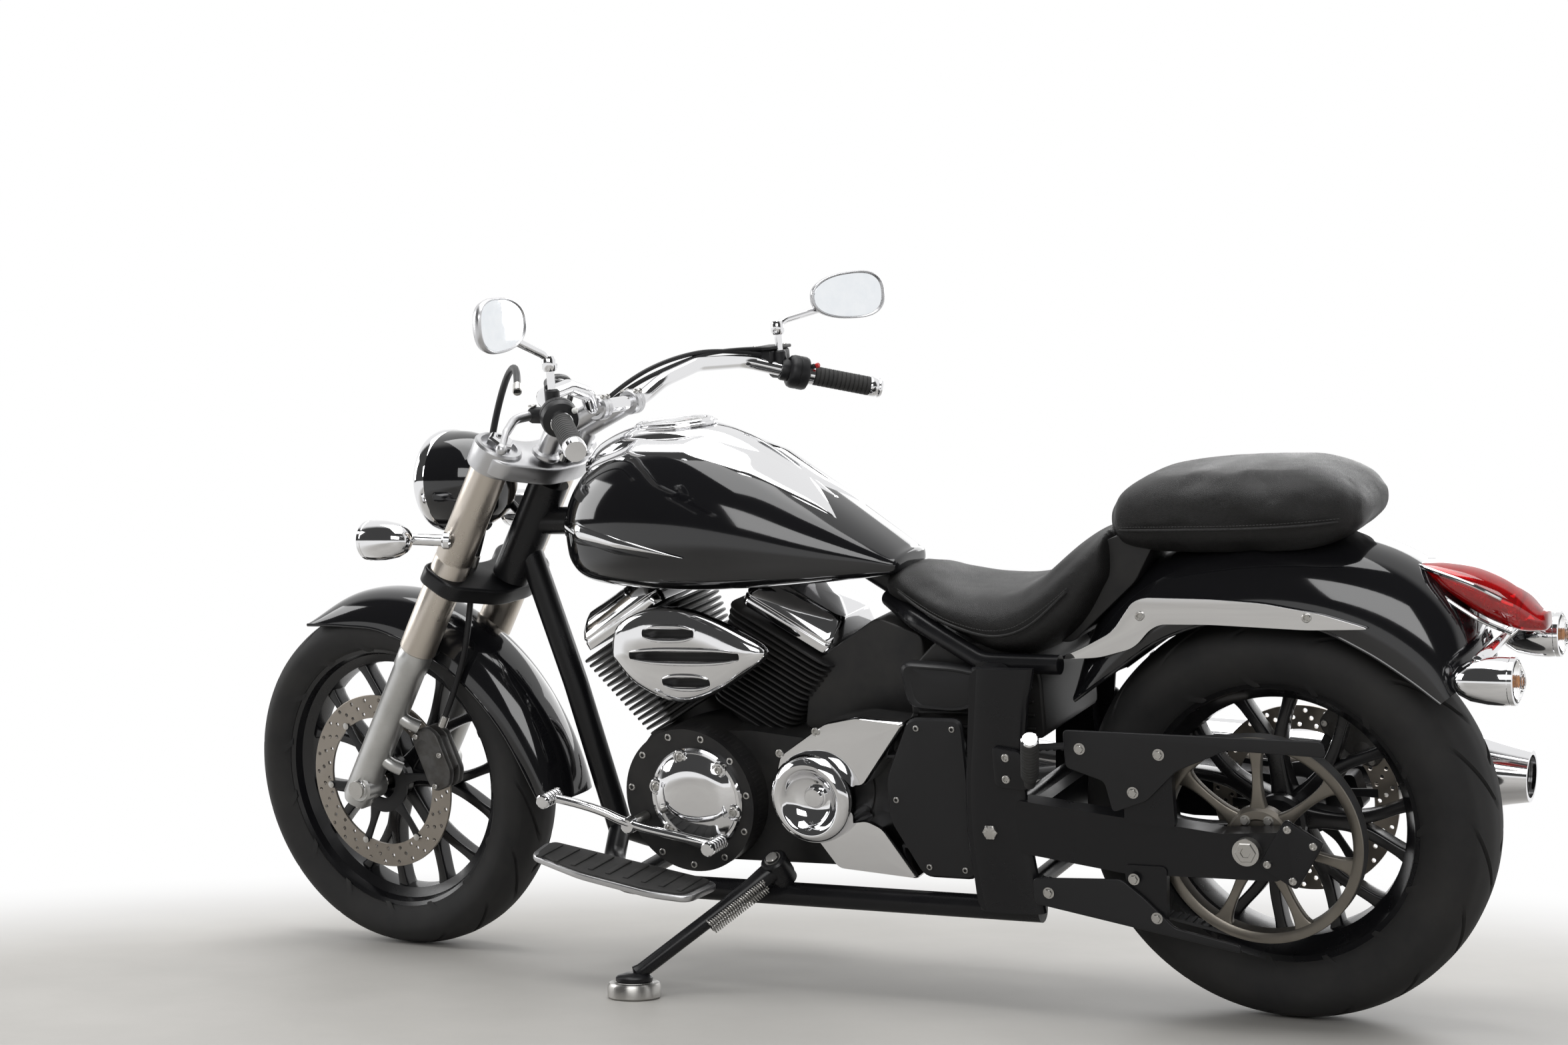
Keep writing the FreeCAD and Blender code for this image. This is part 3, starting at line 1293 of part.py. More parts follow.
# Stations of the tank: forward, half width, then low, widest and high
tank_shares = ((1, 0.36, 0.2, 0.381, 0.546), (0.964, 0.62, 0.1, 0.362, 0.7),
               (0.882, 0.86, 0.038, 0.342, 0.869), (0.735, 1, 0.015, 0.292, 1),
               (0.556, 0.99, 0, 0.254, 0.985), (0.392, 0.9, 0.008, 0.227, 0.835),
               (0.229, 0.72, 0.023, 0.192, 0.585), (0.082, 0.5, 0.046, 0.162, 0.342),
               (0, 0.36, 0.062, 0.131, 0.2))


def fuel_tank():
    body = loft(tank_room.sections(tank_shares, 0.85, 0.6))
    width = size.backbone_radius + size.tunnel_gap
    roof = [(point.x, point.z + width) for point in backbone_points]
    floor_up = size.seat_rail_height
    tunnel = side_plate([(roof[-1][0], floor_up), (roof[0][0], floor_up)] + roof, -width, width * 2,
                        size.seam)
    keep_shape("fuel_tank", clear_of(body.cut(tunnel), bike, ["rocker_covers"]), bike)


fuel_tank()

# Stations of the chrome console on the tank, and the middle of its dial
console_shares = ((0.951, 0.179, 0.746, 0.796, 0.846), (0.882, 0.357, 0.785, 0.873, 0.962),
                  (0.768, 0.452, 0.842, 0.944, 1.046), (0.605, 0.429, 0.804, 0.925, 1.046),
                  (0.441, 0.31, 0.669, 0.796, 0.923), (0.294, 0.167, 0.515, 0.608, 0.7),
                  (0.204, 0.048, 0.438, 0.492, 0.546))
dial_shares = (0.686, 0.938)


def tank_console():
    body = loft(tank_room.sections(console_shares, 0.8, 0.8))
    ahead, up = dial_shares
    foot = tank_room.spot(ahead, 0, up)
    dial = cylinder(size.dial_radius, foot, foot + at(size.dial_lean, 0, size.dial_length))
    keep_shape("tank_console", clear_of(body.fuse(dial), bike, ["fuel_tank"]), bike)


tank_console()

rider_seat_shares = ((1, 0.388, 0.41, 0.5, 0.63), (0.916, 0.55, 0.35, 0.5, 0.66),
                     (0.759, 0.787, 0.25, 0.39, 0.52), (0.602, 0.938, 0.14, 0.3, 0.45),
                     (0.419, 1, 0, 0.25, 0.46), (0.262, 0.988, 0, 0.35, 0.58),
                     (0.105, 0.875, 0.25, 0.6, 0.84), (0, 0.738, 0.55, 0.8, 1))


def rider_seat():
    body = loft(seat_room.sections(rider_seat_shares, 0.7, 0.6))
    keep_shape("rider_seat", clear_of(body, bike, ["frame", "fuel_tank"]), bike)


rider_seat()

# Ray angles of the rear cover, with the gap under its crown and the gap at its lower edge
rear_fender_shares = ((34, 0.343, 0.224), (48, 0.672, 0.06), (65, 0.851, 0.045), (85, 0.896, 0.045),
                      (105, 0.97, 0.045), (120, 1, 0.03), (133, 0.881, 0.06), (143, 0.597, 0.134))


def rear_fender():
    """The cover, and the solid room under its outside, which what sits on it is cut with."""
    sections = []
    rooms = []
    for angle, crown_share, skirt_share in rear_fender_shares:
        crown = size.rear_tyre_radius + size.rear_fender_gap * crown_share
        skirt = float(size.rear_tyre_radius + size.rear_fender_gap * skirt_share)
        sections.append(fender_section(angle, Vector(), float(crown - size.fender_wall),
                                       float(size.fender_wall), float(size.fender_half), skirt))
        curve = fender_curve(angle, Vector(), float(crown + size.clearance),
                             float(size.fender_half + size.fender_wall), skirt)
        ends = curve.StartPoint, curve.EndPoint
        rooms.append(Part.Wire([curve.toShape(), Part.LineSegment(ends[1], ends[0]).toShape()]))
    keep_shape("rear_fender", loft(sections), rear_hub)
    under = loft(rooms)
    under.Placement = moved(0, 0, size.rear_tyre_radius)
    return under


under_cover = rear_fender()

pillion_shares = ((1, 0.652, 0.204, 0.408, 0.633), (0.926, 0.879, 0.102, 0.469, 0.857),
                  (0.739, 0.97, 0.02, 0.51, 0.959), (0.447, 1, 0, 0.531, 1),
                  (0.207, 0.939, 0.041, 0.551, 0.98), (0.061, 0.742, 0.122, 0.51, 0.755),
                  (0, 0.5, 0.204, 0.388, 0.531))


def pillion_seat():
    pad = loft(pillion_room.sections(pillion_shares, 0.62, 0.5))
    keep_shape("pillion_seat", pad.cut(under_cover), bike)


pillion_seat()

strut_shares = ((1, 0), (1, 0.143), (0.91, 0.286), (0.811, 0.367), (0.721, 0.918), (0.582, 1),
                (0.343, 0.98), (0.183, 0.837), (0, 0.551), (0.183, 0.551), (0.462, 0.592),
                (0.602, 0.551), (0.681, 0.367), (0.741, 0.143))


def fender_struts():
    side = size.fender_half + size.fender_wall + size.clearance
    strut = side_plate(strut_room.outline(strut_shares), side, size.fender_wall * 3,
                       size.plate_corner)
    keep_shape("fender_struts", compound(both_sides(strut)), bike)


fender_struts()


tail_lamp_shares = ((1, 0.52, 0.846, 0.923, 1), (0.795, 0.88, 0.577, 0.788, 1),
                    (0.494, 1, 0.231, 0.567, 0.904), (0.193, 0.88, 0.019, 0.337, 0.654),
                    (0, 0.52, 0, 0.154, 0.308))


def tail_lamp():
    lamp = loft(tail_room.sections(tail_lamp_shares, 0.8, 0.8))
    keep_shape("tail_lamp", lamp.cut(under_cover), bike)


tail_lamp()


def rear_indicators():
    radius = size.lamp_bar_radius
    middle = at(-size.lamp_bar_back - size.rear_tyre_radius * rear_slant, 0,
                size.lamp_bar_lift + size.rear_tyre_radius * (1 + rear_slant))
    reach = at(0, size.rear_indicator_side, 0)
    solids = [cylinder(radius, middle - reach, middle + reach),
              cylinder(radius, middle, middle + at(radius * 2.7, 0, -radius * 0.2))]
    for sign in (1, -1):
        end = middle + reach * sign
        pod = bullet(size.indicator_radius, size.indicator_length)
        pod.Placement = Placement(end + at(size.rear_indicator_lead, 0, -size.rear_indicator_drop),
                                  Rotation(Vector(0, 0, 1), 180))
        solids.append(pod)
        solids.append(cylinder(radius, end, end + at(-radius * 0.5, 0, -radius * 2.6)))
    keep_shape("rear_indicators", joined_shapes(solids), bike)


rear_indicators()


# Drive and swingarm

arm_shares = ((0.886, 0.215), (0.898, 0.607), (0.886, 1), (0.097, 0.654), (-0.17, 0.72), (-0.204, 0.234),
              (-0.097, 0.009), (0.478, 0))
# The tabs that carry the belt guards
upper_tab_shares = ((0.503, 0.557), (0.672, 0.572), (0.664, 0.751), (0.567, 0.946), (0.503, 0.931))
lower_tab_shares = ((0.541, 0.377), (0.685, 0.377), (0.681, 0.281), (0.619, 0.108), (0.556, 0.108))


def swingarm():
    solids = []
    for middle in (size.arm_side, -size.right_arm_side):
        solids.append(side_plate(arm_room.outline(arm_shares), middle - size.arm_thickness / 2,
                                 size.arm_thickness, size.plate_corner))
    forward, up = size.swing_forward, size.swing_height
    cross_rear = forward - size.cross_back
    cross_low = up - size.swing_radius
    solids.append(Part.makeBox(float(size.cross_length), float(size.arm_side + size.right_arm_side),
                               float(size.cross_height),
                               at(cross_rear, -size.right_arm_side, cross_low)))
    pivot_end = size.upright_side - size.clearance
    solids.append(cylinder(size.swing_radius, at(forward, -pivot_end, up), at(forward, pivot_end, up)))
    ear = size.arm_thickness / 2
    outline = [(cross_rear, cross_low - size.plate_corner), (forward, up - size.swing_radius),
               (forward, up + size.swing_radius), (cross_rear, cross_low + size.cross_height)]
    for side in (-size.right_arm_side, size.right_arm_side - ear):
        solids.append(side_plate(outline, side, ear, size.overrun))
    tab_side = size.arm_side + ear / 2
    for tab_shares in (upper_tab_shares, lower_tab_shares):
        solids.append(side_plate(guard_room.outline(tab_shares), tab_side,
                                 size.guard_side - tab_side, size.plate_corner))
    shape = joined_shapes(solids)
    reach = size.arm_side + size.arm_thickness
    for radius, ahead, high in ((size.rear_axle_radius, 0, size.rear_tyre_radius),
                                (size.swing_bolt + size.clearance, forward, up)):
        shape = shape.cut(cylinder(radius, at(ahead, -reach, high), at(ahead, reach, high)))
    keep_shape("swingarm", shape, bike)


swingarm()


upper_guard_shares = ((0.854, 1), (0.006, 0.982), (0, 0.91), (0.313, 0.928), (0.482, 0.826),
                      (0.588, 0.683), (0.704, 0.623), (0.725, 0.766), (0.854, 0.826))
lower_guard_shares = ((1, 0.171), (0.313, 0), (0.313, 0.036), (0.524, 0.096), (0.619, 0.228),
                      (0.693, 0.311), (1, 0.293))


def belt_guards():
    guards = [side_plate(guard_room.outline(outline), size.guard_side + size.clearance,
                         size.guard_thickness * 2, size.guard_thickness * 2)
              for outline in (upper_guard_shares, lower_guard_shares)]
    keep_shape("belt_guards", compound(guards), bike)


belt_guards()


def rear_caliper():
    radius = size.rear_disc_radius - size.rear_disc_band / 2
    side = -size.rear_disc_side
    gap = size.disc_thickness / 2 + size.pad_gap
    outer = side - size.caliper_width / 2
    boss = cylinder(size.hub_radius * 0.8, at(0, outer, 0), at(0, outer + size.carrier_wall, 0))
    arm = Part.makeBox(float(size.carrier_width), float(size.carrier_wall), float(radius),
                       at(-size.carrier_width / 2, outer, 0))
    bore = cylinder(size.rear_axle_radius * 1.7 + size.clearance, at(0, outer - size.carrier_wall, 0),
                    at(0, outer + size.carrier_wall * 2, 0))
    shape = joined_shapes([caliper_block(radius, side, gap), boss, arm]).cut(bore)
    shape.Placement = Placement(Vector(), Rotation(Vector(0, 1, 0), -float(size.rear_caliper_turn)))
    keep_shape("rear_caliper", shape, rear_hub)


rear_caliper()


# The muffler's profile: radius, and the place along it from its tip
muffler_shares = ((0, 1), (0.5, 1), (0.62, 0.958), (0.96, 0.865), (1, 0.726), (1, 0.105),
                  (0.94, 0.087), (0.72, 0), (0.6, 0), (0.6, 0.105), (0, 0.105))


def muffler():
    body = turned_body("muffler", [
        (size.muffler_radius * radius, size.muffler_length * place - size.muffler_back)
        for radius, place in muffler_shares])
    forward = Placement(Vector(), Rotation(Vector(0, 0, 1), -90))
    tilt = Placement(Vector(), Rotation(Vector(0, 1, 0), -float(size.muffler_tilt)))
    keep("muffler", body, bike * moved(0, -size.muffler_side, size.muffler_height) * tilt * forward)


muffler()


# Bends of the pipes from the two heads to the muffler
front_pipe_shares = ((0.929, -0.425, 1), (1, -0.708, 0.863), (0.976, -0.885, 0.418),
                     (0.859, -0.956, 0.11), (0.435, -0.973, 0), (0, -1, 0.2))
rear_pipe_shares = ((0.518, -0.425, 0.932), (0.459, -0.752, 0.863), (0.412, -0.885, 0.521),
                    (0.271, -0.982, 0.247), (0.018, -1, 0.19))


def exhaust_pipes():
    front = tube(exhaust_room.spots(front_pipe_shares), size.exhaust_radius, size.exhaust_bend)
    rear = tube(exhaust_room.spots(rear_pipe_shares), size.exhaust_radius * 0.9,
                size.exhaust_bend * 0.86)
    shape = clear_of(joined_shapes([front, rear]), bike, ["cylinders", "muffler"])
    keep_shape("exhaust_pipes", shape, bike)


exhaust_pipes()


# Rider's and passenger's feet

board_shares = ((1, 0.654), (0.971, 0.882), (0.632, 0.98), (0.221, 1), (0.029, 0.948), (0, 0.67))
board_post_share = 0.515


def floorboards():
    shapes = []
    forward = board_room.forward(board_post_share)
    for sign in (1, -1):
        low = [board_room.spot(ahead, sign * out, 0) for ahead, out in board_shares]
        board = outline_face(low, size.board_corner).extrude(at(0, 0, size.board_thickness))
        foot = at(forward, sign * (size.rail_side + size.rail_radius * 0.9),
                  size.rail_height + size.rail_radius / 2)
        head = at(forward, sign * size.board_half * 0.735, size.board_low + size.board_thickness * 0.22)
        shapes.append(joined_shapes([board, cylinder(size.bolster_radius, foot, head)]))
    keep_shape("floorboards", compound(shapes), bike)


floorboards()


# The heel and toe shifter from its toe pad, and the brake pedal's arm from its pad
shifter_shares = ((0.838, 0.817, 1), (0.632, 0.771, 0.877), (0.456, 0.725, 0.615), (0.162, 0.725, 0.492),
                  (-0.074, 0.817, 0.492))
pedal_shares = ((0.885, -0.856, 0.754), (0.662, -0.843, 0.4), (0.485, -0.837, 0.2))


def foot_controls():
    bends = control_room.spots(shifter_shares)
    solids = [tube(bends, size.pedal_radius, size.pedal_bend)]
    for end in (bends[0], bends[-1]):
        inner = at(end.x, end.y - size.pad_inset, end.z)
        solids.append(cylinder(size.pad_radius, inner, inner + at(0, size.pad_length, 0)))
    pivot = bends[2]
    solids.append(cylinder(size.spindle_radius, at(pivot.x, ring_face, pivot.z),
                           pivot + at(0, size.pedal_radius / 2, 0)))
    bends = control_room.spots(pedal_shares)
    pivot = bends[-1]
    corner = bends[0] - at(size.pedal_length * 0.543, size.pedal_width / 2, size.pedal_thickness / 3)
    right = [tube(bends, size.pedal_radius, size.pedal_bend),
             Part.makeBox(float(size.pedal_length), float(size.pedal_width),
                          float(size.pedal_thickness), corner),
             cylinder(size.spindle_radius, pivot - at(0, size.pedal_radius / 2, 0),
                      at(pivot.x, -size.case_half, pivot.z))]
    both = compound([joined_shapes(solids), joined_shapes(right)])
    keep_shape("foot_controls", clear_of(both, bike, ["floorboards"]), bike)


foot_controls()


peg_plate_shares = ((1, 0.7), (1, 0.05), (0.421, 0), (0.316, 0.3), (0.526, 0.62))
peg_shares = ((0.4, 0.734, 0.1), (0, 1, 1))


def passenger_pegs():
    shapes = []
    for sign in (1, -1):
        inner = size.peg_plate_side
        side = inner if sign > 0 else -inner - size.peg_plate
        plate = side_plate(peg_room.outline(peg_plate_shares), side, size.peg_plate,
                           size.peg_plate * 0.6)
        root, tip = peg_room.spots(peg_shares, sign)
        shapes.append(joined_shapes([plate, cylinder(size.peg_radius, root, tip)]))
    keep_shape("passenger_pegs", compound(shapes), bike)


passenger_pegs()


# Side stand

def side_stand():
    """The stand leg with its knuckle and springs, its foot and the steel puck under the foot."""
    foot_low = ground + at(0, 0, size.puck_height)
    puck = cylinder(size.puck_radius, ground, foot_low)
    foot = cylinder(size.stand_foot_radius, foot_low, ankle)
    pivot = bike.multVec(stand_pivot)
    axis = leaning.multVec(stand_hinge)
    way = leaning.multVec(deployed_way)
    sideways = axis.cross(way).normalize()
    long = ankle - pivot
    leg = tube([pivot, pivot + long * 0.72, ankle - way * float(size.stand_radius * 0.4)],
               size.stand_radius, 60)
    half = axis * float(knuckle_half)
    knuckle = cylinder(size.stand_radius * 1.7, pivot - half, pivot + half)
    bore = cylinder(size.stand_radius * 0.5 + size.clearance, pivot - half * 2, pivot + half * 2)
    springs = []
    for sign in (1, -1):
        offset = sideways * float(sign * size.stand_radius * 0.75) + half * 0.9
        springs.append(cylinder(size.spring_radius, pivot + offset + long * 0.12,
                                pivot + offset + long * 0.5))
    shape = joined_shapes([leg, foot, knuckle, puck] + springs).cut(bore)
    keep_shape("side_stand", shape, Placement())


side_stand()

doc.recompute()


# Put the middle of the whole machine's box over the origin, then check and write the pieces

box = FreeCAD.BoundBox()
for item in pieces.values():
    for corner in item.Shape.tessellate(float(size.seam))[0]:
        box.add(corner)
centring = moved(-box.Center.x, -box.Center.y, 0)
for item in pieces.values():
    item.Placement = centring * item.Placement
doc.recompute()

for item in doc.Objects:
    if "Invalid" in item.State or "Error" in item.State:
        raise RuntimeError("%s did not recompute" % item.Label)
for node, item in pieces.items():
    if item.Shape.isNull() or not item.Shape.isValid() or not item.Shape.Solids:
        raise RuntimeError("%s is not a valid solid" % node)

os.makedirs("parts", exist_ok=True)
for node, item in pieces.items():
    item.Shape.exportStep("parts/%s.step" % node)
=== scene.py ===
"""The looks of a cruiser motorcycle that leans on its side stand, in the style of a Blender add-on.

Shapes are written in millimetres on the upright machine: X forward, Y to the rider's left, Z up, from
the floor point under the rear axle. Matrices worked out from the joints lean and steer them into place.
"""

import json
from math import acos, asin, atan2, copysign, cos, hypot, pi, radians, sin, sqrt, tan

import bmesh
import bpy
import numpy as np
from mathutils import Matrix, Vector


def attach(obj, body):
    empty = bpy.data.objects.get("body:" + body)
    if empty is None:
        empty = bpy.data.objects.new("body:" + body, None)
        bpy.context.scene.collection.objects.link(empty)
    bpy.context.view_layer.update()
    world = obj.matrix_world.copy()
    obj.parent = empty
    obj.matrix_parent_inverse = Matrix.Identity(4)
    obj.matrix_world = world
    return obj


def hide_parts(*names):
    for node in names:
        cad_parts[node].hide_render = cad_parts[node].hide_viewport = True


bl_info = {
    "name": "Cruiser motorcycle looks",
    "version": (1, 0, 0),
    "blender": (4, 5, 0),
    "location": "View3D > Sidebar > Cruiser",
    "description": "Models the bodywork, wheels, engine trim and finishes of a cruiser motorcycle",
    "category": "Object",
}

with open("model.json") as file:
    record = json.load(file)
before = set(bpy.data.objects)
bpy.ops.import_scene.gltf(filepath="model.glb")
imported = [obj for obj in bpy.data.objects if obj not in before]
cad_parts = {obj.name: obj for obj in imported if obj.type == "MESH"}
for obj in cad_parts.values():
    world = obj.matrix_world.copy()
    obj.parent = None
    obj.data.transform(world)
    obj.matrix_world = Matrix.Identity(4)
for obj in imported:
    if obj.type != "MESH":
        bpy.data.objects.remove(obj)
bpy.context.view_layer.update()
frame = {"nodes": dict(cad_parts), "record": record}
joints = {joint["name"]: joint for joint in frame["record"]["behaviour"]["joints"]}

MM = 0.001
REST_STEER = radians(4.1)
REAR_RADIUS = 322.0
FRONT_RADIUS = 320.0
WHEELBASE = 1685.0
HEAD_LOW = 818.0
SHARP = radians(35)
SIDES = ((1, "left"), (-1, "right"))
LAY = {"X": lambda a, b, c: (c, a, b), "Y": lambda a, b, c: (a, c, b), "Z": lambda a, b, c: (a, b, c)}

finish = {}


# Places on the machine

def joint_place(name):
    joint = joints[name]
    return Vector(joint["pos_m"]), Vector(joint["axis"]).normalized()


def basis(origin, forward, left, up):
    """A matrix from millimetres in the given frame to metres in the row's frame."""
    turn = Matrix((forward, left, up)).transposed().to_4x4()
    return Matrix.Translation(origin) @ turn @ Matrix.Scale(MM, 4)


def moved(place, spot, degrees=0.0):
    """The place, shifted to a spot and turned about its own Y axis."""
    return place @ Matrix.Translation(spot) @ Matrix.Rotation(radians(degrees), 4, "Y")


rear_centre, rear_axis = joint_place("rear_wheel_spin")
front_centre, front_axis = joint_place("front_wheel_spin")
head_point, head_axis = joint_place("steering_turn")
stand_pivot, stand_axis = joint_place("stand_fold")

ahead = Vector((1, 0, 0))
bike_up = ahead.cross(rear_axis).normalized()
BIKE = basis(rear_centre - bike_up * REAR_RADIUS * MM, ahead, rear_axis, bike_up)
STEERED = (Matrix.Translation(head_point) @ Matrix.Rotation(-REST_STEER, 4, head_axis)
           @ Matrix.Translation(-head_point) @ BIKE)
REAR_HUB = BIKE @ Matrix.Translation((0, 0, REAR_RADIUS))
front_ahead = (STEERED.to_3x3() @ ahead).normalized()
FRONT_HUB = basis(front_centre, front_ahead, front_axis, front_ahead.cross(front_axis).normalized())
FORK = basis(head_point, front_axis.cross(head_axis).normalized(), front_axis, head_axis)
FORK = FORK @ Matrix.Translation((0, 0, -HEAD_LOW))
FORK_AXLE = FORK.inverted() @ front_centre
AXLE = Matrix.Rotation(-pi / 2, 4, "X")


def on_fork(ahead_mm, side, up):
    """A place of the fork, given in the steered machine's frame."""
    return STEERED.inverted() @ FORK @ Vector((ahead_mm, side, up))


def mirrored(point, side):
    return Vector((point[0], side * point[1], point[2]))


def along_line(start, end):
    """A matrix that carries the Z axis from start to end, in millimetres."""
    start, end = Vector(start), Vector(end)
    return Matrix.Translation(start) @ (end - start).to_track_quat("Z", "Y").to_matrix().to_4x4()


# Mesh helpers

def linked(name, data):
    obj = bpy.data.objects.new(name, data)
    bpy.context.scene.collection.objects.link(obj)
    return obj


def evaluated(obj):
    return bpy.data.meshes.new_from_object(obj.evaluated_get(bpy.context.evaluated_depsgraph_get()))


def coated(obj, key):
    """Gives the whole piece one finish, when a key is named."""
    if key:
        obj.data.materials.clear()
        obj.data.materials.append(finish[key])
    return obj


def settled(obj, place, key=None):
    if place is not None:
        obj.data.transform(place)
    return coated(obj, key)


def new_piece(name, shape, place=None, key=None, smooth=True, sharp=SHARP):
    """A mesh object at the origin, with its place in its vertices."""
    mesh = bpy.data.meshes.new(name)
    mesh.from_pydata([tuple(v) for v in shape[0]], [], shape[1])
    mesh.validate()
    work = bmesh.new()
    work.from_mesh(mesh)
    bmesh.ops.remove_doubles(work, verts=work.verts, dist=1e-4)
    bmesh.ops.recalc_face_normals(work, faces=work.faces)
    work.to_mesh(mesh)
    work.free()
    if smooth:
        mesh.shade_smooth()
        if sharp is not None:
            mesh.set_sharp_from_angle(angle=sharp)
    return settled(linked(name, mesh), place, key)


def baked(obj, sharp=SHARP):
    """Turns an object's modifiers into plain mesh."""
    mesh = evaluated(obj)
    mesh.materials.clear()
    for material in obj.data.materials:
        mesh.materials.append(material)
    obj.modifiers.clear()
    obj.data = mesh
    if sharp is not None:
        mesh.shade_smooth()
        mesh.set_sharp_from_angle(angle=sharp)
    return obj


def joined(name, objs):
    """One object out of several, with their materials kept."""
    slots = []
    work = bmesh.new()
    for obj in objs:
        slots += [material for material in obj.data.materials if material not in slots]
        part = obj.data.copy()
        count, own = len(work.faces), list(obj.data.materials)
        work.from_mesh(part)
        work.faces.ensure_lookup_table()
        for face in work.faces[count:]:
            if own:
                face.material_index = slots.index(own[min(face.material_index, len(own) - 1)])
        bpy.data.meshes.remove(part)
    mesh = bpy.data.meshes.new(name)
    work.to_mesh(mesh)
    work.free()
    for material in slots:
        mesh.materials.append(material)
    result = linked(name, mesh)
    for obj in objs:
        bpy.data.objects.remove(obj)
    return result


def circle(count, start=0.0):
    """Cosines and sines round a circle."""
    return [(cos(2 * pi * (k + start) / count), sin(2 * pi * (k + start) / count)) for k in range(count)]


def raised(value, power):
    """A power of the value's size, with its sign kept."""
    return copysign(abs(value) ** power, value)


def spread(rows, count):
    """Rows of numbers, smoothed through a Catmull-Rom curve to the given count."""
    table = np.array(rows, float)
    out = []
    for step in np.linspace(0, len(table) - 1, count):
        low = min(int(step), len(table) - 2)
        t = step - low
        a, b = table[low], table[low + 1]
        before = table[low - 1] if low > 0 else 2 * a - b
        after = table[low + 2] if low + 2 < len(table) else 2 * b - a
        out.append(0.5 * (2 * a + (b - before) * t + (2 * before - 5 * a + 4 * b - after) * t ** 2
                          + (3 * a - before - 3 * b + after) * t ** 3))
    return out


def skin(rings, closed=True, caps=True, endless=False):
    """Vertices and faces over rings of equal length, with the ends of closed rings filled."""
    verts = [point for ring in rings for point in ring]
    size, rows = len(rings[0]), len(rings)
    faces = []
    for row in range(rows if endless else rows - 1):
        near, far = row * size, (row + 1) % rows * size
        for k in range(size if closed else size - 1):
            step = (k + 1) % size
            faces.append((near + k, near + step, far + step, far + k))
    for row in (0, rows - 1) if caps else ():
        verts.append(sum((Vector(p) for p in rings[row]), Vector()) / size)
        faces += [(row * size + k, row * size + (k + 1) % size, len(verts) - 1) for k in range(size)]
    return verts, faces


def oval_ring(forward, half, low, widest, high, top_power, low_power, count):
    """A ring across the machine: widest at one height, rounded above and below it."""
    ring = []
    for a, b in circle(count):
        power, span = (top_power, high - widest) if b >= 0 else (low_power, widest - low)
        ring.append(Vector((forward, half * raised(a, power), widest + span * raised(b, power))))
    return ring


def tube(name, points, radius, place, key=None, sides=16, steps=6, taper=lambda t: 1.0):
    """A round bar through the points, smoothed, with the frame carried along without twist."""
    path = [Vector(p) for p in spread([tuple(p) for p in points], (len(points) - 1) * steps + 1)]
    rings, side = [], None
    for index, point in enumerate(path):
        way = (path[min(index + 1, len(path) - 1)] - path[max(index - 1, 0)]).normalized()
        side = side or way.orthogonal().normalized()
        side = (side - way * side.dot(way)).normalized()
        other = way.cross(side)
        grow = taper(index / (len(path) - 1))
        rings.append([point + (side * a + other * b) * radius * grow for a, b in circle(sides)])
    return new_piece(name, skin(rings), place, key)


def soften(obj, width, segments=2, angle=30):
    bevel = obj.modifiers.new("edge", "BEVEL")
    bevel.width = width
    bevel.segments = segments
    bevel.limit_method = "ANGLE"
    bevel.angle_limit = radians(angle)
    bevel.harden_normals = False
    return baked(obj)


def arc(before, corner, after, reach, steps):
    """Points of a soft arc in the place of a corner."""
    start, end = corner + (before - corner).normalized() * reach, corner + (after - corner).normalized() * reach
    return [start * (1 - t) ** 2 + corner * 2 * t * (1 - t) + end * t ** 2
            for t in (k / steps for k in range(steps + 1))]


def rounded_outline(points, radius, steps=5):
    """The outline with each corner turned into an arc."""
    spots, out = [Vector(p) for p in points], []
    for before, corner, after in zip(spots[-1:] + spots, spots, spots[1:] + spots):
        reach = min(radius, (before - corner).length * 0.48, (after - corner).length * 0.48)
        out += [(p.x, p.y) for p in arc(before, corner, after, reach, steps)]
    return out


def bent(points, radius, steps=6):
    """The points of a bent bar: straight runs with an arc at each corner."""
    spots = [Vector(p) for p in points]
    out = spots[:1]
    for before, corner, after in zip(spots, spots[1:], spots[2:]):
        back, fore = before - corner, after - corner
        reach = min(radius * tan((pi - back.angle(fore)) / 2), back.length * 0.48, fore.length * 0.48)
        out += arc(before, corner, after, reach, steps)
    return out + spots[-1:]


def pipe(name, points, radius, place, key, bend, sides=24):
    return tube(name, bent(points, bend), radius, place, key, sides, 1)


def plate(name, outline, side, thickness, place=None, key=None, edge=1.5, axis="Y", segments=2, corner=0, arcs=5):
    """A flat plate from an outline of two coordinates, with arcs for corners and softened edges."""
    if corner:
        outline = rounded_outline(outline, corner, arcs)
    lay, count = LAY[axis], len(outline)
    verts = [lay(a, b, side) for a, b in outline] + [lay(a, b, side + thickness) for a, b in outline]
    faces = [tuple(range(count)), tuple(range(2 * count - 1, count - 1, -1))]
    faces += [(k, (k + 1) % count, count + (k + 1) % count, count + k) for k in range(count)]
    return settled(soften(new_piece(name, (verts, faces), smooth=False), edge, segments), place, key)


def box_piece(name, low, high, place=None, key=None, edge=2.0, segments=3):
    """A block between two corners with rounded edges."""
    outline = [(low[0], low[1]), (high[0], low[1]), (high[0], high[1]), (low[0], high[1])]
    return plate(name, outline, low[2], high[2] - low[2], place, key, edge, "Z", segments)


def turned_piece(name, profile, place=None, key=None, steps=64, axis="Y", sharp=SHARP):
    """A shape turned about an axis from pairs of radius and place along it."""
    rings = [[LAY[axis](r * a, r * b, along) for r, along in profile] for a, b in circle(steps)]
    return new_piece(name, skin(rings, False, False, True), place, key, sharp=sharp)


def spun(name, start, end, profile, place, key=None, steps=24):
    """A turned shape that stands on the line between two points."""
    return turned_piece(name, profile, place @ along_line(start, end), key, steps, "Z")


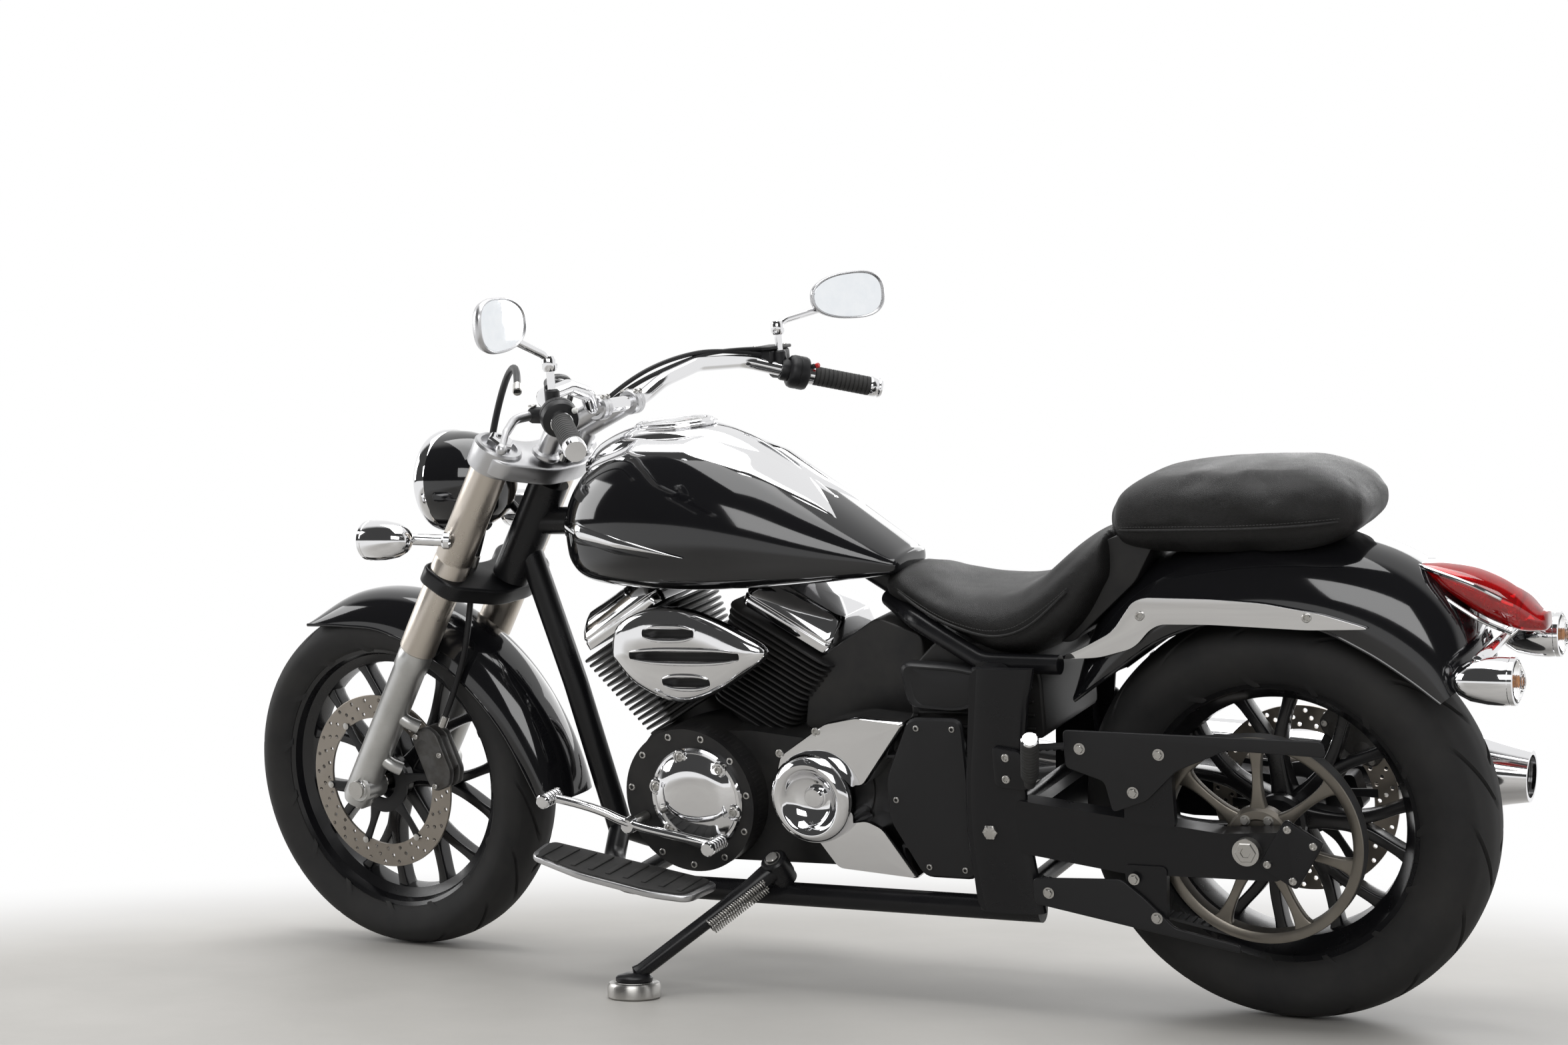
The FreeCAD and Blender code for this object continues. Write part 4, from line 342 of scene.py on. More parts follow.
def rod(name, start, end, radius, place, key=None, edge=0.8, steps=24):
    """A straight bar between two points."""
    far = (Vector(end) - Vector(start)).length
    profile = [(0, 0), (radius - edge, 0), (radius, edge), (radius, far - edge), (radius - edge, far), (0, far)]
    return spun(name, start, end, profile, place, key, steps)


def bar(name, points):
    """A beam of rounded rectangular section; a point is x, y, z, width and depth."""
    rows = spread(points, (len(points) - 1) * 5 + 1)
    rings = []
    for index, row in enumerate(rows):
        way = Vector(rows[min(index + 1, len(rows) - 1)][:3]) - Vector(rows[max(index - 1, 0)][:3])
        wide = way.normalized().cross(Vector((0, 0, 1))).normalized()
        deep = wide.cross(way.normalized()).normalized()
        rings.append([Vector(row[:3]) + wide * (raised(a, 0.35) * row[3] / 2) + deep * (raised(b, 0.35) * row[4] / 2)
                      for a, b in circle(20, 0.5)])
    return new_piece(name, skin(rings))


def cut(obj, cutter):
    """Takes one closed shape out of another."""
    modifier = obj.modifiers.new("cut", "BOOLEAN")
    modifier.operation = "DIFFERENCE"
    modifier.solver = "EXACT"
    modifier.object = cutter
    result = baked(obj)
    bpy.data.objects.remove(cutter)
    return result


def finished(obj, body, slot, *replaces):
    """Hides the CAD nodes that a piece replaces and lets it ride on its body."""
    if replaces:
        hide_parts(*replaces)
    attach(obj, body)
    return obj


def assembled(name, parts, body, slot, *replaces):
    return finished(joined(name, parts), body, slot, *replaces)


# Node helpers

def feed(tree, made, sockets):
    """Puts a number, or a link from a node or a socket, on each named socket."""
    for label, value in sockets.items():
        if isinstance(value, bpy.types.Node):
            value = value.outputs[0]
        if isinstance(value, bpy.types.NodeSocket):
            tree.links.new(value, made.inputs[label])
        else:
            made.inputs[label].default_value = value
    return made


def node(tree, kind, sockets=None, **values):
    made = tree.nodes.new(kind if "Node" in kind else "ShaderNode" + kind)
    for name, value in values.items():
        setattr(made, name, value)
    return feed(tree, made, sockets or {})


def new_tree(kind, name, inputs, outputs):
    """A node group; an input is its kind of socket, or a default value that tells the kind."""
    tree = bpy.data.node_groups.new(name, kind + "NodeTree")
    for label, given in inputs.items():
        word = given if isinstance(given, str) else {int: "Int", float: "Float", tuple: "Vector"}[type(given)]
        socket = tree.interface.new_socket(label, in_out="INPUT", socket_type="NodeSocket" + word)
        if word is not given:
            socket.default_value = given
    for label, word in outputs.items():
        tree.interface.new_socket(label, in_out="OUTPUT", socket_type="NodeSocket" + word)
    return tree, tree.nodes.new("NodeGroupInput").outputs, tree.nodes.new("NodeGroupOutput")


# Shader groups that several finishes share

def build_mottle():
    """Soft cloudy variation between two values, for smudges, dust and uneven gloss."""
    tree, given, end = new_tree("Shader", "Mottle", {"Vector": "Vector", "Scale": 8.0, "Low": 0.0, "High": 1.0},
                                {"Value": "Float"})
    noise = node(tree, "TexNoise", {"Vector": given["Vector"], "Scale": given["Scale"], "Detail": 6.0,
                                    "Roughness": 0.62})
    share = node(tree, "MapRange", {"Value": noise, "From Min": 0.3, "From Max": 0.72, "To Min": given["Low"],
                                    "To Max": given["High"]})
    feed(tree, end, {"Value": share})
    return tree


def build_grain():
    """Fine cast or powder-coat grain as a normal."""
    tree, given, end = new_tree("Shader", "Fine grain", {"Vector": "Vector", "Scale": 900.0, "Strength": 0.2,
                                                         "Distance": 0.0004}, {"Normal": "Vector"})
    noise = node(tree, "TexNoise", {"Vector": given["Vector"], "Scale": given["Scale"], "Detail": 3.0})
    feed(tree, end, {"Normal": node(tree, "Bump", {"Height": noise, "Strength": given["Strength"],
                                                   "Distance": given["Distance"]})})
    return tree


def build_leather():
    """Creased leather grain: cells with softened edges over broad folds. Its Value is low on the cell edges, where the
    leather finish paints shade into the creases.
    """
    tree, given, end = new_tree("Shader", "Leather grain", {"Vector": "Vector", "Scale": 420.0, "Strength": 0.5},
                                {"Normal": "Vector", "Value": "Float"})
    cells = node(tree, "TexVoronoi", {"Vector": given["Vector"], "Scale": given["Scale"]}, feature="DISTANCE_TO_EDGE")
    folds = node(tree, "TexNoise", {"Vector": given["Vector"], "Scale": 16.0, "Detail": 4.0})
    edge = node(tree, "MapRange", {"Value": cells.outputs["Distance"], "From Max": 0.25})
    total = node(tree, "Math", {0: folds, 1: 2.4, 2: edge}, operation="MULTIPLY_ADD")
    bump = node(tree, "Bump", {"Height": total, "Strength": given["Strength"], "Distance": 0.0006})
    feed(tree, end, {"Normal": bump, "Value": edge})
    return tree


def build_brushed():
    """Brush lines across one direction: noise stretched by the scale vector."""
    tree, given, end = new_tree("Shader", "Brushed lines", {
        "Vector": "Vector", "Stretch": (900.0, 900.0, 12.0), "Strength": 0.15}, {"Normal": "Vector", "Value": "Float"})
    scale = node(tree, "VectorMath", {0: given["Vector"], 1: given["Stretch"]}, operation="MULTIPLY")
    noise = node(tree, "TexNoise", {"Vector": scale, "Scale": 1.0, "Detail": 2.0})
    bump = node(tree, "Bump", {"Height": noise, "Strength": given["Strength"], "Distance": 0.0003})
    feed(tree, end, {"Normal": bump, "Value": noise})
    return tree


groups = {"mottle": build_mottle(), "grain": build_grain(), "leather": build_leather(),
          "brushed": build_brushed()}


class Finish:
    """A Principled material on Object coordinates, with the shared groups placed in it."""

    def __init__(self, name, colour, metallic=0.0, roughness=0.5, **plain):
        self.material = bpy.data.materials.new(name)
        self.material.use_nodes = True
        self.tree = self.material.node_tree
        self.shader = self.tree.nodes["Principled BSDF"]
        self.set("Base Color", (*colour, 1)).set("Metallic", metallic).set("Roughness", roughness)
        for label, value in plain.items():
            self.set(label.replace("_", " ").title().replace("Ior", "IOR"), value)
        self.vector = self.add("TexCoord").outputs["Object"]
        self.material.diffuse_color = (*colour, 1)

    def set(self, label, value):
        feed(self.tree, self.shader, {label: value})
        return self

    def add(self, kind, sockets=None, **values):
        return node(self.tree, kind, sockets, **values)

    def placed(self, group, **values):
        sockets = {label.title(): value for label, value in values.items()}
        return self.add("Group", {"Vector": self.vector, **sockets}, node_tree=groups[group])

    def about(self, place):
        """Centres and turns the coordinates on a place of the machine."""
        turn = place.to_3x3().normalized().to_euler()
        self.vector = self.add("Mapping", {"Vector": self.vector, "Location": place.translation, "Rotation": turn},
                               vector_type="TEXTURE").outputs["Vector"]
        return self

    def gloss(self, scale, low, high):
        return self.set("Roughness", self.placed("mottle", scale=scale, low=low, high=high))

    def tint(self, scale, first, second):
        return self.blend(self.placed("mottle", scale=scale, low=0.0, high=1.0), first, second)

    def blend(self, factor, first, second):
        mix = self.add("Mix", data_type="RGBA")
        for socket in mix.inputs:
            if socket.type == "RGBA":
                socket.default_value = (*(first if socket.name == "A" else second), 1)
        feed(self.tree, mix, {"Factor": factor})
        return self.set("Base Color", [socket for socket in mix.outputs if socket.type == "RGBA"][0])

    def bump(self, group, **values):
        self.grain = self.placed(group, **values)
        return self.set("Normal", self.grain.outputs["Normal"])

    def rings(self, pitch, strength):
        """Fine turned lines round the Y axis of the coordinates."""
        parts = self.add("SeparateXYZ", {0: self.vector}).outputs
        flat = self.add("CombineXYZ", {"X": parts["X"], "Z": parts["Z"]})
        reach = self.add("VectorMath", {0: flat}, operation="LENGTH").outputs["Value"]
        wave = self.add("Math", {0: self.add("Math", {0: reach, 1: 2 * pi / pitch}, operation="MULTIPLY")},
                        operation="SINE")
        return self.set("Normal", self.add("Bump", {"Height": wave, "Strength": strength, "Distance": 0.0002}))


# Geometry Nodes trees for what repeats

def growth(name, inputs):
    """A geometry tree with named inputs and a material."""
    return new_tree("Geometry", name, {"Geometry": "Geometry", **inputs, "Material": "Material"},
                    {"Geometry": "Geometry"})


def closing(tree, given, end, geometry):
    """Every tree ends in Realize Instances and Set Material."""
    real = node(tree, "GeometryNodeRealizeInstances", {"Geometry": geometry})
    feed(tree, end, {"Geometry": node(tree, "GeometryNodeSetMaterial", {"Geometry": real,
                                                                        "Material": given["Material"]})})
    return tree


def build_ring_tree():
    """Copies of the object's own mesh in a ring round its Z axis, welded where they meet."""
    tree, given, end = growth("Ring of copies", {"Count": 7, "Turn": 0.0, "Weld": 0.01})
    line = node(tree, "GeometryNodeMeshLine", {"Count": given["Count"], "Offset": (0, 0, 0)})
    step = node(tree, "Math", {0: 2 * pi, 1: given["Count"]}, operation="DIVIDE")
    angle = node(tree, "Math", {0: node(tree, "GeometryNodeInputIndex"), 1: step}, operation="MULTIPLY")
    total = node(tree, "Math", {0: angle, 1: given["Turn"]}, operation="ADD")
    copies = node(tree, "GeometryNodeInstanceOnPoints", {"Points": line, "Instance": given["Geometry"],
                                                         "Rotation": node(tree, "CombineXYZ", {"Z": total})})
    real = node(tree, "GeometryNodeRealizeInstances", {"Geometry": copies})
    return closing(tree, given, end, node(tree, "GeometryNodeMergeByDistance", {"Geometry": real,
                                                                                "Distance": given["Weld"]}))


def build_place_tree():
    """Copies of a form on each vertex, its Z along the vertex's way and its X along its lead."""
    tree, given, end = growth("Copies at places", {"Form": "Object", "Scale": 1.0})
    turns = {}
    for label, axis, pivot in (("way", "Z", "AUTO"), ("lead", "X", "Z")):
        named = node(tree, "GeometryNodeInputNamedAttribute", {"Name": label}, data_type="FLOAT_VECTOR")
        turns = {"Rotation": node(tree, "FunctionNodeAlignRotationToVector", {
            "Vector": named.outputs["Attribute"], **turns}, axis=axis, pivot_axis=pivot)}
    form = node(tree, "GeometryNodeObjectInfo", {"Object": given["Form"]}).outputs["Geometry"]
    return closing(tree, given, end, node(tree, "GeometryNodeInstanceOnPoints", {
        "Points": given["Geometry"], "Instance": form, "Scale": given["Scale"], **turns}))


def build_path_tree():
    """Copies of a form along the object's own curve, its Z along the path."""
    tree, given, end = growth("Copies along a path", {"Form": "Object", "Count": 20})
    form = node(tree, "GeometryNodeObjectInfo", {"Object": given["Form"]}).outputs["Geometry"]
    dots = node(tree, "GeometryNodeCurveToPoints", {"Curve": given["Geometry"], "Count": given["Count"]}).outputs
    return closing(tree, given, end, node(tree, "GeometryNodeInstanceOnPoints", {
        "Points": dots["Points"], "Rotation": dots["Rotation"], "Instance": form}))


trees = {"ring": build_ring_tree(), "places": build_place_tree(), "path": build_path_tree()}


def grown(obj, kind, key, **values):
    """Runs one of the trees on the object and leaves a plain mesh."""
    modifier = obj.modifiers.new("grow", "NODES")
    modifier.node_group = trees[kind]
    values["material"] = finish[key]
    for item in trees[kind].interface.items_tree:
        if item.item_type == "SOCKET" and item.in_out == "INPUT" and item.name.lower() in values:
            modifier[item.identifier] = values[item.name.lower()]
    bpy.context.evaluated_depsgraph_get().update()
    name, mesh = obj.name, evaluated(obj)
    if not len(mesh.polygons):
        raise RuntimeError(name + ": the tree made nothing")
    bpy.data.objects.remove(obj)
    mesh.shade_smooth()
    mesh.set_sharp_from_angle(angle=SHARP)
    return linked(name, mesh)


def ring_of(obj, count, place, key, turn=0.0, weld=0.0):
    """Copies round the Y axis of a place; the form is drawn with X outwards and Z along the axle."""
    return settled(grown(obj, "ring", key, count=count, turn=turn, weld=weld), place @ AXLE)


def copies_at(name, form, spots, place, key):
    """Uses up a form: copies of it at places, each a point, its outward way and its lead."""
    mesh = bpy.data.meshes.new(name)
    mesh.from_pydata([tuple(spot[0]) for spot in spots], [], [])
    for label, row in (("way", 1), ("lead", 2)):
        layer = mesh.attributes.new(label, "FLOAT_VECTOR", "POINT")
        for index, spot in enumerate(spots):
            layer.data[index].vector = Vector(spot[row] if len(spot) > row else (1, 0, 0.01)).normalized()
    made = grown(linked(name, mesh), "places", key, form=form)
    bpy.data.objects.remove(form)
    return settled(made, place, key)


def smooth_line(name, points, resolution):
    """A smooth curve whose control points are given."""
    data = bpy.data.curves.new(name, "CURVE")
    data.dimensions = "3D"
    data.resolution_u = resolution
    line = data.splines.new("NURBS")
    line.points.add(len(points) - 1)
    for spot, point in zip(line.points, points):
        spot.co = (*point, 1)
    line.order_u = 3
    line.use_endpoint_u = True
    return linked(name, data)


def as_mesh(obj, place, key):
    """The mesh of a curve or a text, put in its place."""
    name, mesh = obj.name, evaluated(obj)
    bpy.data.objects.remove(obj)
    return settled(linked(name, mesh), place, key)


def cable(name, points, radius, place, key):
    """A smooth round cable."""
    line = smooth_line(name, points, 16)
    line.data.bevel_depth = radius
    line.data.bevel_resolution = 4
    line.data.use_fill_caps = True
    made = as_mesh(line, place, key)
    made.data.shade_smooth()
    return made


def screw_form(radius, height, hollow):
    """A round head with a hexagonal socket, standing on the origin."""
    rings = [[Vector((reach * a, reach * b, up)) for a, b in circle(24)]
             for reach, up in ((radius, 0), (radius, height - 1), (radius - 1, height), (hollow * 1.15, height))]
    rings += [[Vector((hollow * a * six, hollow * b * six, up)) for (a, b), six in zip(circle(24), hexagon())]
              for up in (height - 0.4, height - 3)]
    return new_piece("screw_form", skin(rings))


def hexagon():
    """How far a hexagon round a circle reaches, in 24 steps."""
    return [1 / cos((2 * pi * k / 24) % (pi / 3) - pi / 6) for k in range(24)]


def nut_form(radius, height, washer):
    """A hexagonal head on a washer."""
    rings = []
    for reach, up, sharpness in ((washer, 0, 0), (washer, 1.4, 0), (radius, 1.5, 1), (radius, height - 1, 1),
                                 (radius * 0.86, height, 0)):
        rings.append([Vector((reach * min(0.9 * six, 1.04) * a, reach * min(0.9 * six, 1.04) * b, up)) if sharpness
                      else Vector((reach * a, reach * b, up)) for (a, b), six in zip(circle(24), hexagon())])
    return new_piece("nut_form", skin(rings))


def screws(name, spots, place, key="steel", radius=5.0, height=4.0, form=None):
    """Socket screws, or another form, at places with their outward ways."""
    return copies_at(name, form or screw_form(radius, height, radius * 0.52), spots, place, key)


# Sizes and colours that a user would change

def length(label, about, default):
    return bpy.props.FloatProperty(name=label, description=about, default=default, min=0.0, unit="LENGTH")


def number(label, about, default):
    return bpy.props.IntProperty(name=label, description=about, default=default, min=1)


def colour(label, about, default):
    return bpy.props.FloatVectorProperty(name=label, description=about, default=default, min=0.0, max=1.0,
                                         size=3, subtype="COLOR")


class CruiserSizes(bpy.types.PropertyGroup):
    tread_blocks: number("Tread repeats", "Groove pairs round a tyre", 15)
    tread_depth: length("Tread depth", "Depth of the tyre's grooves", 0.005)
    spokes: number("Spokes", "Split spokes in each wheel", 7)
    disc_holes: number("Disc holes", "Holes in each ring of a brake disc", 28)
    belt_teeth: number("Belt teeth", "Teeth round the rear pulley", 70)
    stitch_pitch: length("Stitch pitch", "Distance between two stitches of a seat seam", 0.005)
    pad_swell: length("Pad swell", "How far a seat pad may swell over its first shape", 0.008)
    leather_cells: bpy.props.FloatProperty(name="Leather grain", description="Cells of leather grain in a metre",
                                           default=520.0)


class CruiserColours(bpy.types.PropertyGroup):
    paint: colour("Body paint", "Tank and fenders", (0.006, 0.006, 0.007))
    leather: colour("Leather", "Both seats", (0.011, 0.0105, 0.0105))
    fork_tube: colour("Fork tube", "Covers round the fork's tubes", (0.58, 0.53, 0.47))
    pulley: colour("Pulley", "Rear belt pulley", (0.24, 0.22, 0.19))
    tail_lens: colour("Tail lens", "Lens of the tail lamp", (0.62, 0.004, 0.006))


def make_finishes(colours, sizes):
    """Every finish of the machine by its short name."""
    def darker(colour_of, share):
        return tuple(c * share for c in colour_of)

    made = {
        "paint": Finish("Gloss black paint", colours.paint, 0.0, 0.12, coat_weight=0.35, coat_roughness=0.02)
        .gloss(5.0, 0.05, 0.12).bump("grain", scale=260.0, strength=0.03, distance=0.0003),
        "chrome": Finish("Polished chrome", (0.78, 0.78, 0.79), 1.0, 0.05).gloss(9.0, 0.03, 0.09),
        "fork_cover": Finish("Champagne fork tube", colours.fork_tube, 1.0, 0.3).about(FORK)
        .bump("brushed", stretch=(1400.0, 1400.0, 14.0), strength=0.25).gloss(14.0, 0.24, 0.38),
        "slider": Finish("Silver slider", (0.55, 0.55, 0.54), 0.9, 0.34)
        .tint(12.0, (0.6, 0.6, 0.59), (0.46, 0.46, 0.45)).bump("grain", scale=1500.0, strength=0.12),
        "silver": Finish("Cast silver", (0.55, 0.55, 0.56), 1.0, 0.32)
        .bump("grain", scale=1100.0, strength=0.2).gloss(20.0, 0.26, 0.42),
        "caliper": Finish("Caliper grey", (0.1, 0.1, 0.1), 0.7, 0.5)
        .tint(26.0, (0.13, 0.13, 0.13), (0.06, 0.055, 0.05)).bump("grain", scale=900.0, strength=0.4),
        "tyre": Finish("Tyre rubber", (0.014, 0.014, 0.015), 0.0, 0.72, specular_ior_level=0.35)
        .tint(7.0, (0.011, 0.011, 0.012), (0.024, 0.023, 0.022)).bump("grain", scale=1300.0, strength=0.35),
        "wheel": Finish("Black wheel paint", (0.006, 0.006, 0.007), 0.0, 0.22).gloss(11.0, 0.16, 0.34),
        "front_disc": Finish("Front disc steel", (0.3, 0.27, 0.235), 1.0, 0.34).about(FRONT_HUB)
        .gloss(18.0, 0.28, 0.46).rings(0.0012, 0.35),
        "rear_disc": Finish("Rear disc steel", (0.3, 0.27, 0.235), 1.0, 0.34).about(REAR_HUB)
        .gloss(18.0, 0.28, 0.46).rings(0.0012, 0.35),
        "pulley": Finish("Bronze pulley", colours.pulley, 0.9, 0.36)
        .tint(9.0, colours.pulley, darker(colours.pulley, 0.65)).bump("grain", scale=1200.0, strength=0.15),
        "leather": Finish("Black seat leather", (0.01, 0.01, 0.01), 0.0, 0.46, specular_ior_level=0.3)
        .bump("leather", scale=sizes.leather_cells, strength=0.45).gloss(10.0, 0.38, 0.56),
        "rubber": Finish("Grip rubber", (0.02, 0.02, 0.02), 0.0, 0.66)
        .tint(14.0, (0.016, 0.016, 0.016), (0.032, 0.031, 0.03)).bump("grain", scale=1500.0, strength=0.3),
        "plastic": Finish("Satin black plastic", (0.011, 0.011, 0.012), 0.0, 0.42, specular_ior_level=0.3)
        .gloss(22.0, 0.34, 0.5).bump("grain", scale=1700.0, strength=0.15),
        "enamel": Finish("Frame black enamel", (0.006, 0.006, 0.007), 0.0, 0.3, specular_ior_level=0.3)
        .gloss(9.0, 0.22, 0.4),
        "engine": Finish("Engine black", (0.012, 0.012, 0.013), 0.0, 0.42, specular_ior_level=0.35)
        .tint(16.0, (0.009, 0.009, 0.01), (0.02, 0.019, 0.018)).bump("grain", scale=1000.0, strength=0.3),
        "steel": Finish("Zinc steel", (0.5, 0.49, 0.47), 1.0, 0.32).gloss(40.0, 0.24, 0.44),
        "glass": Finish("Clear lens", (1.0, 1.0, 1.0), 0.0, 0.02, transmission_weight=1.0, ior=1.45)
        .gloss(30.0, 0.0, 0.05),
        "ruby": Finish("Red lens", colours.tail_lens, 0.0, 0.05, transmission_weight=0.55, ior=1.45, coat_weight=1.0)
        .tint(60.0, colours.tail_lens, darker(colours.tail_lens, 0.6)),
        "belt": Finish("Drive belt rubber", (0.018, 0.018, 0.019), 0.0, 0.6).bump("grain", scale=1400.0, strength=0.4),
    }
    # Painted shade: along the grain's cell edges, its creases, the leather colour drops to 0.4 of itself.
    made["leather"].blend(made["leather"].grain.outputs["Value"], darker(colours.leather, 0.4), colours.leather)
    for key, name, first, second, metal, low, high in (
            ("amber", "Amber bulb", (0.8, 0.3, 0.04), (0.62, 0.2, 0.02), 0.0, 0.12, 0.3),
            ("mirror", "Mirror glass", (0.86, 0.88, 0.9), (0.8, 0.83, 0.86), 1.0, 0.0, 0.03),
            ("dial", "Dial face", (0.012, 0.012, 0.013), (0.02, 0.02, 0.022), 0.0, 0.18, 0.34),
            ("white", "Dial print", (0.7, 0.7, 0.68), (0.6, 0.6, 0.58), 0.0, 0.4, 0.6),
            ("red", "Red switch", (0.5, 0.02, 0.02), (0.4, 0.012, 0.012), 0.0, 0.28, 0.45)):
        made[key] = Finish(name, first, metal, low).tint(45.0, first, second).gloss(70.0, low, high)
    return {key: value.material for key, value in made.items()}


NODE_FINISHES = {
    "tyre": "front_tyre rear_tyre", "wheel": "front_rim rear_rim", "front_disc": "front_disc",
    "rear_disc": "rear_disc", "pulley": "rear_pulley", "steel": "front_axle rear_axle", "slider": "fork_legs",
    "silver": "yokes", "paint": "front_fender rear_fender fuel_tank headlamp",
    "chrome": "front_indicators rear_indicators handlebar mirrors slotted_cover generator_cover pulley_cover "
              "tank_console fender_struts exhaust_pipes muffler foot_controls rocker_covers passenger_pegs",
    "rubber": "grips floorboards", "plastic": "hand_controls steering_cables side_covers belt_guards",
    "caliper": "front_caliper rear_caliper", "enamel": "frame swingarm side_stand",
    "engine": "engine_case cylinders", "leather": "rider_seat pillion_seat", "ruby": "tail_lamp",
    "belt": "drive_belt",
}


class CRUISER_OT_finishes(bpy.types.Operator):
    """Makes every finish from the colours and puts one on each solid"""
    bl_idname = "cruiser.finishes"
    bl_label = "Finishes"

    def execute(self, context):
        finish.update(make_finishes(context.scene.cruiser_colours, context.scene.cruiser_sizes))
        for key, names in NODE_FINISHES.items():
            for name in names.split():
                if not len(coated(frame["nodes"][name], key).material_slots):
                    raise RuntimeError("no finish on " + name)
        return {"FINISHED"}


def background_rays(tree):
    """One for rays that the camera, bright metal and glass send to the background."""
    path = node(tree, "LightPath").outputs
    seen = node(tree, "Math", {0: path["Is Camera Ray"], 1: path["Is Glossy Ray"]}, operation="MAXIMUM")
    return node(tree, "Math", {0: seen, 1: path["Is Transmission Ray"]}, operation="MAXIMUM")


class CRUISER_OT_stage(bpy.types.Operator):
    """Sets the camera at the photograph's angle, the pale floor and the soft lights"""
    bl_idname = "cruiser.stage"
    bl_label = "Stage"
    yaw = 0.5012
    pitch = -0.0218
    focal_mm = 59.08
    from_rear_hub = Vector((-1.22266, 3.84865, 0.35821))

    def execute(self, context):
        scene = context.scene
        way = Vector((sin(self.yaw) * cos(self.pitch), -cos(self.yaw) * cos(self.pitch), -sin(self.pitch)))
        right = way.cross(Vector((0, 0, 1))).normalized()
        camera = linked("camera", bpy.data.cameras.new("camera"))
        camera.data.lens = self.focal_mm
        camera.data.sensor_width = 36
        camera.data.clip_end = 200
        turn = Matrix((right, right.cross(way), -way)).transposed().to_4x4()
        camera.matrix_world = Matrix.Translation(rear_centre + self.from_rear_hub) @ turn
        scene.camera = camera

        bpy.ops.mesh.primitive_plane_add(size=60)
        floor = context.object
        floor.name = "floor"
        floor.data.materials.append(self.floor_finish())
        for name, spot, target, size, power in (
                ("overhead", (0.2, 0.3, 4.4), (-0.1, 0, 0.4), (4.6, 2.6), 150),
                ("camera_side", (-1.8, 5.2, 2.6), (0, 0, 0.5), (3.6, 2.2), 110),
                ("front_side", (5.0, 1.2, 2.2), (0.3, 0, 0.5), (2.6, 2.6), 90),
                ("far_side", (-0.5, -5.0, 2.8), (0, 0, 0.5), (4.0, 2.4), 90)):
            lamp = linked(name, bpy.data.lights.new(name, "AREA"))
            lamp.data.shape = "RECTANGLE"
            lamp.data.size, lamp.data.size_y = size
            lamp.data.energy = power
            lamp.location = spot
            lamp.rotation_euler = (Vector(target) - Vector(spot)).to_track_quat("-Z", "Y").to_euler()
        self.world(scene)
        scene.view_settings.view_transform = "Standard"
        return {"FINISHED"}

    def floor_finish(self):
        """A pale floor that fades to white all round the machine."""
        material = bpy.data.materials.new("Pale floor")
        material.use_nodes = True
        tree = material.node_tree
        vector = node(tree, "TexCoord").outputs["Object"]
        ramp = node(tree, "ValToRGB", {0: node(tree, "Group", {"Vector": vector, "Scale": 1.1},
                                               node_tree=groups["mottle"])})
        ramp.color_ramp.elements[0].color = (0.34, 0.33, 0.312, 1)
        ramp.color_ramp.elements[1].color = (0.43, 0.418, 0.396, 1)
        shader = feed(tree, tree.nodes["Principled BSDF"], {"Roughness": 0.55, "Base Color": ramp})
        centred = node(tree, "Mapping", {"Vector": vector, "Location": (-0.4, 0.9, 0)}, vector_type="TEXTURE")
        away = node(tree, "VectorMath", {0: centred}, operation="LENGTH").outputs["Value"]
        edge = node(tree, "MapRange", {"Value": away, "From Min": 1.75, "From Max": 2.9},
                    interpolation_type="SMOOTHSTEP")
        seen = node(tree, "Math", {0: edge, 1: background_rays(tree)}, operation="MULTIPLY")
        feed(tree, tree.nodes["Material Output"], {
            "Surface": node(tree, "MixShader", {0: seen, 1: shader, 2: node(tree, "Emission")})})
        return material

    def world(self, scene):
        """White behind the machine, dim behind the camera, so that bright metal has something to mirror."""
        scene.world = bpy.data.worlds.new("studio")
        scene.world.use_nodes = True
        tree = scene.world.node_tree
        tree.nodes.clear()
        parts = node(tree, "SeparateXYZ", {0: node(tree, "TexCoord").outputs["Generated"]}).outputs
        wall = node(tree, "MapRange", {"Value": parts["Y"], "From Min": 0.25, "From Max": -0.05, "To Min": 0.06},
                    interpolation_type="SMOOTHSTEP")
        seen = node(tree, "LightPath").outputs["Is Camera Ray"]
        soft = node(tree, "Background", {"Color": (1, 1, 1, 1), "Strength": 0.5})
        white = node(tree, "Background", {"Color": node(tree, "Math", {0: seen, 1: wall}, operation="MAXIMUM"),
                                          "Strength": 1.0})
        mix = node(tree, "MixShader", {0: background_rays(tree), 1: soft, 2: white})
        node(tree, "OutputWorld", {"Surface": mix})


# Wheels

def tyre_sector(name, radius, bead, half, repeats, depth):
    """One repeat of the tread: a closed section whose columns lean with the grooves."""
    drop = radius - bead
    left = spread([(bead, -half * 0.76), (bead + drop * 0.1, -half * 0.86), (bead + drop * 0.34, -half * 0.985),
                   (bead + drop * 0.58, -half), (bead + drop * 0.8, -half * 0.84), (radius - drop * 0.1, -half * 0.62),
                   (radius - drop * 0.025, -half * 0.34), (radius, 0)], 30)
    outer = left + [np.array((r, -y)) for r, y in reversed(left[:-1])]
    inner = [np.array((r - 9 if r > bead + 14 else r, y * 0.86)) for r, y in reversed(outer)]
    shares = [0, 0.06, 0.1, 0.12, 0.2, 0.22, 0.3, 0.42, 0.5, 0.56, 0.6, 0.62, 0.7, 0.72, 0.8, 0.9, 1.0]
    grooved = {3: -1, 4: -1, 11: 1, 12: 1}
    rings = []
    for index, share in enumerate(shares):
        ring = []
        for place, (r, y) in enumerate(outer + inner + [outer[0]]):
            off = y / half
            away = off * grooved.get(index, 0)
            if place < len(outer) and away > 0.06:
                r = r - depth * min(1.0, (away - 0.06) / 0.1) * min(1.0, max(0.0, (0.9 - away) / 0.16))
            angle = (share + 0.9 * abs(off) ** 1.3 + 0.2 * off) * (2 * pi / repeats)
            ring.append(Vector((r * cos(angle), r * sin(angle), y)))
        rings.append(ring)
    return new_piece(name, skin(rings, closed=False, caps=False), sharp=None)


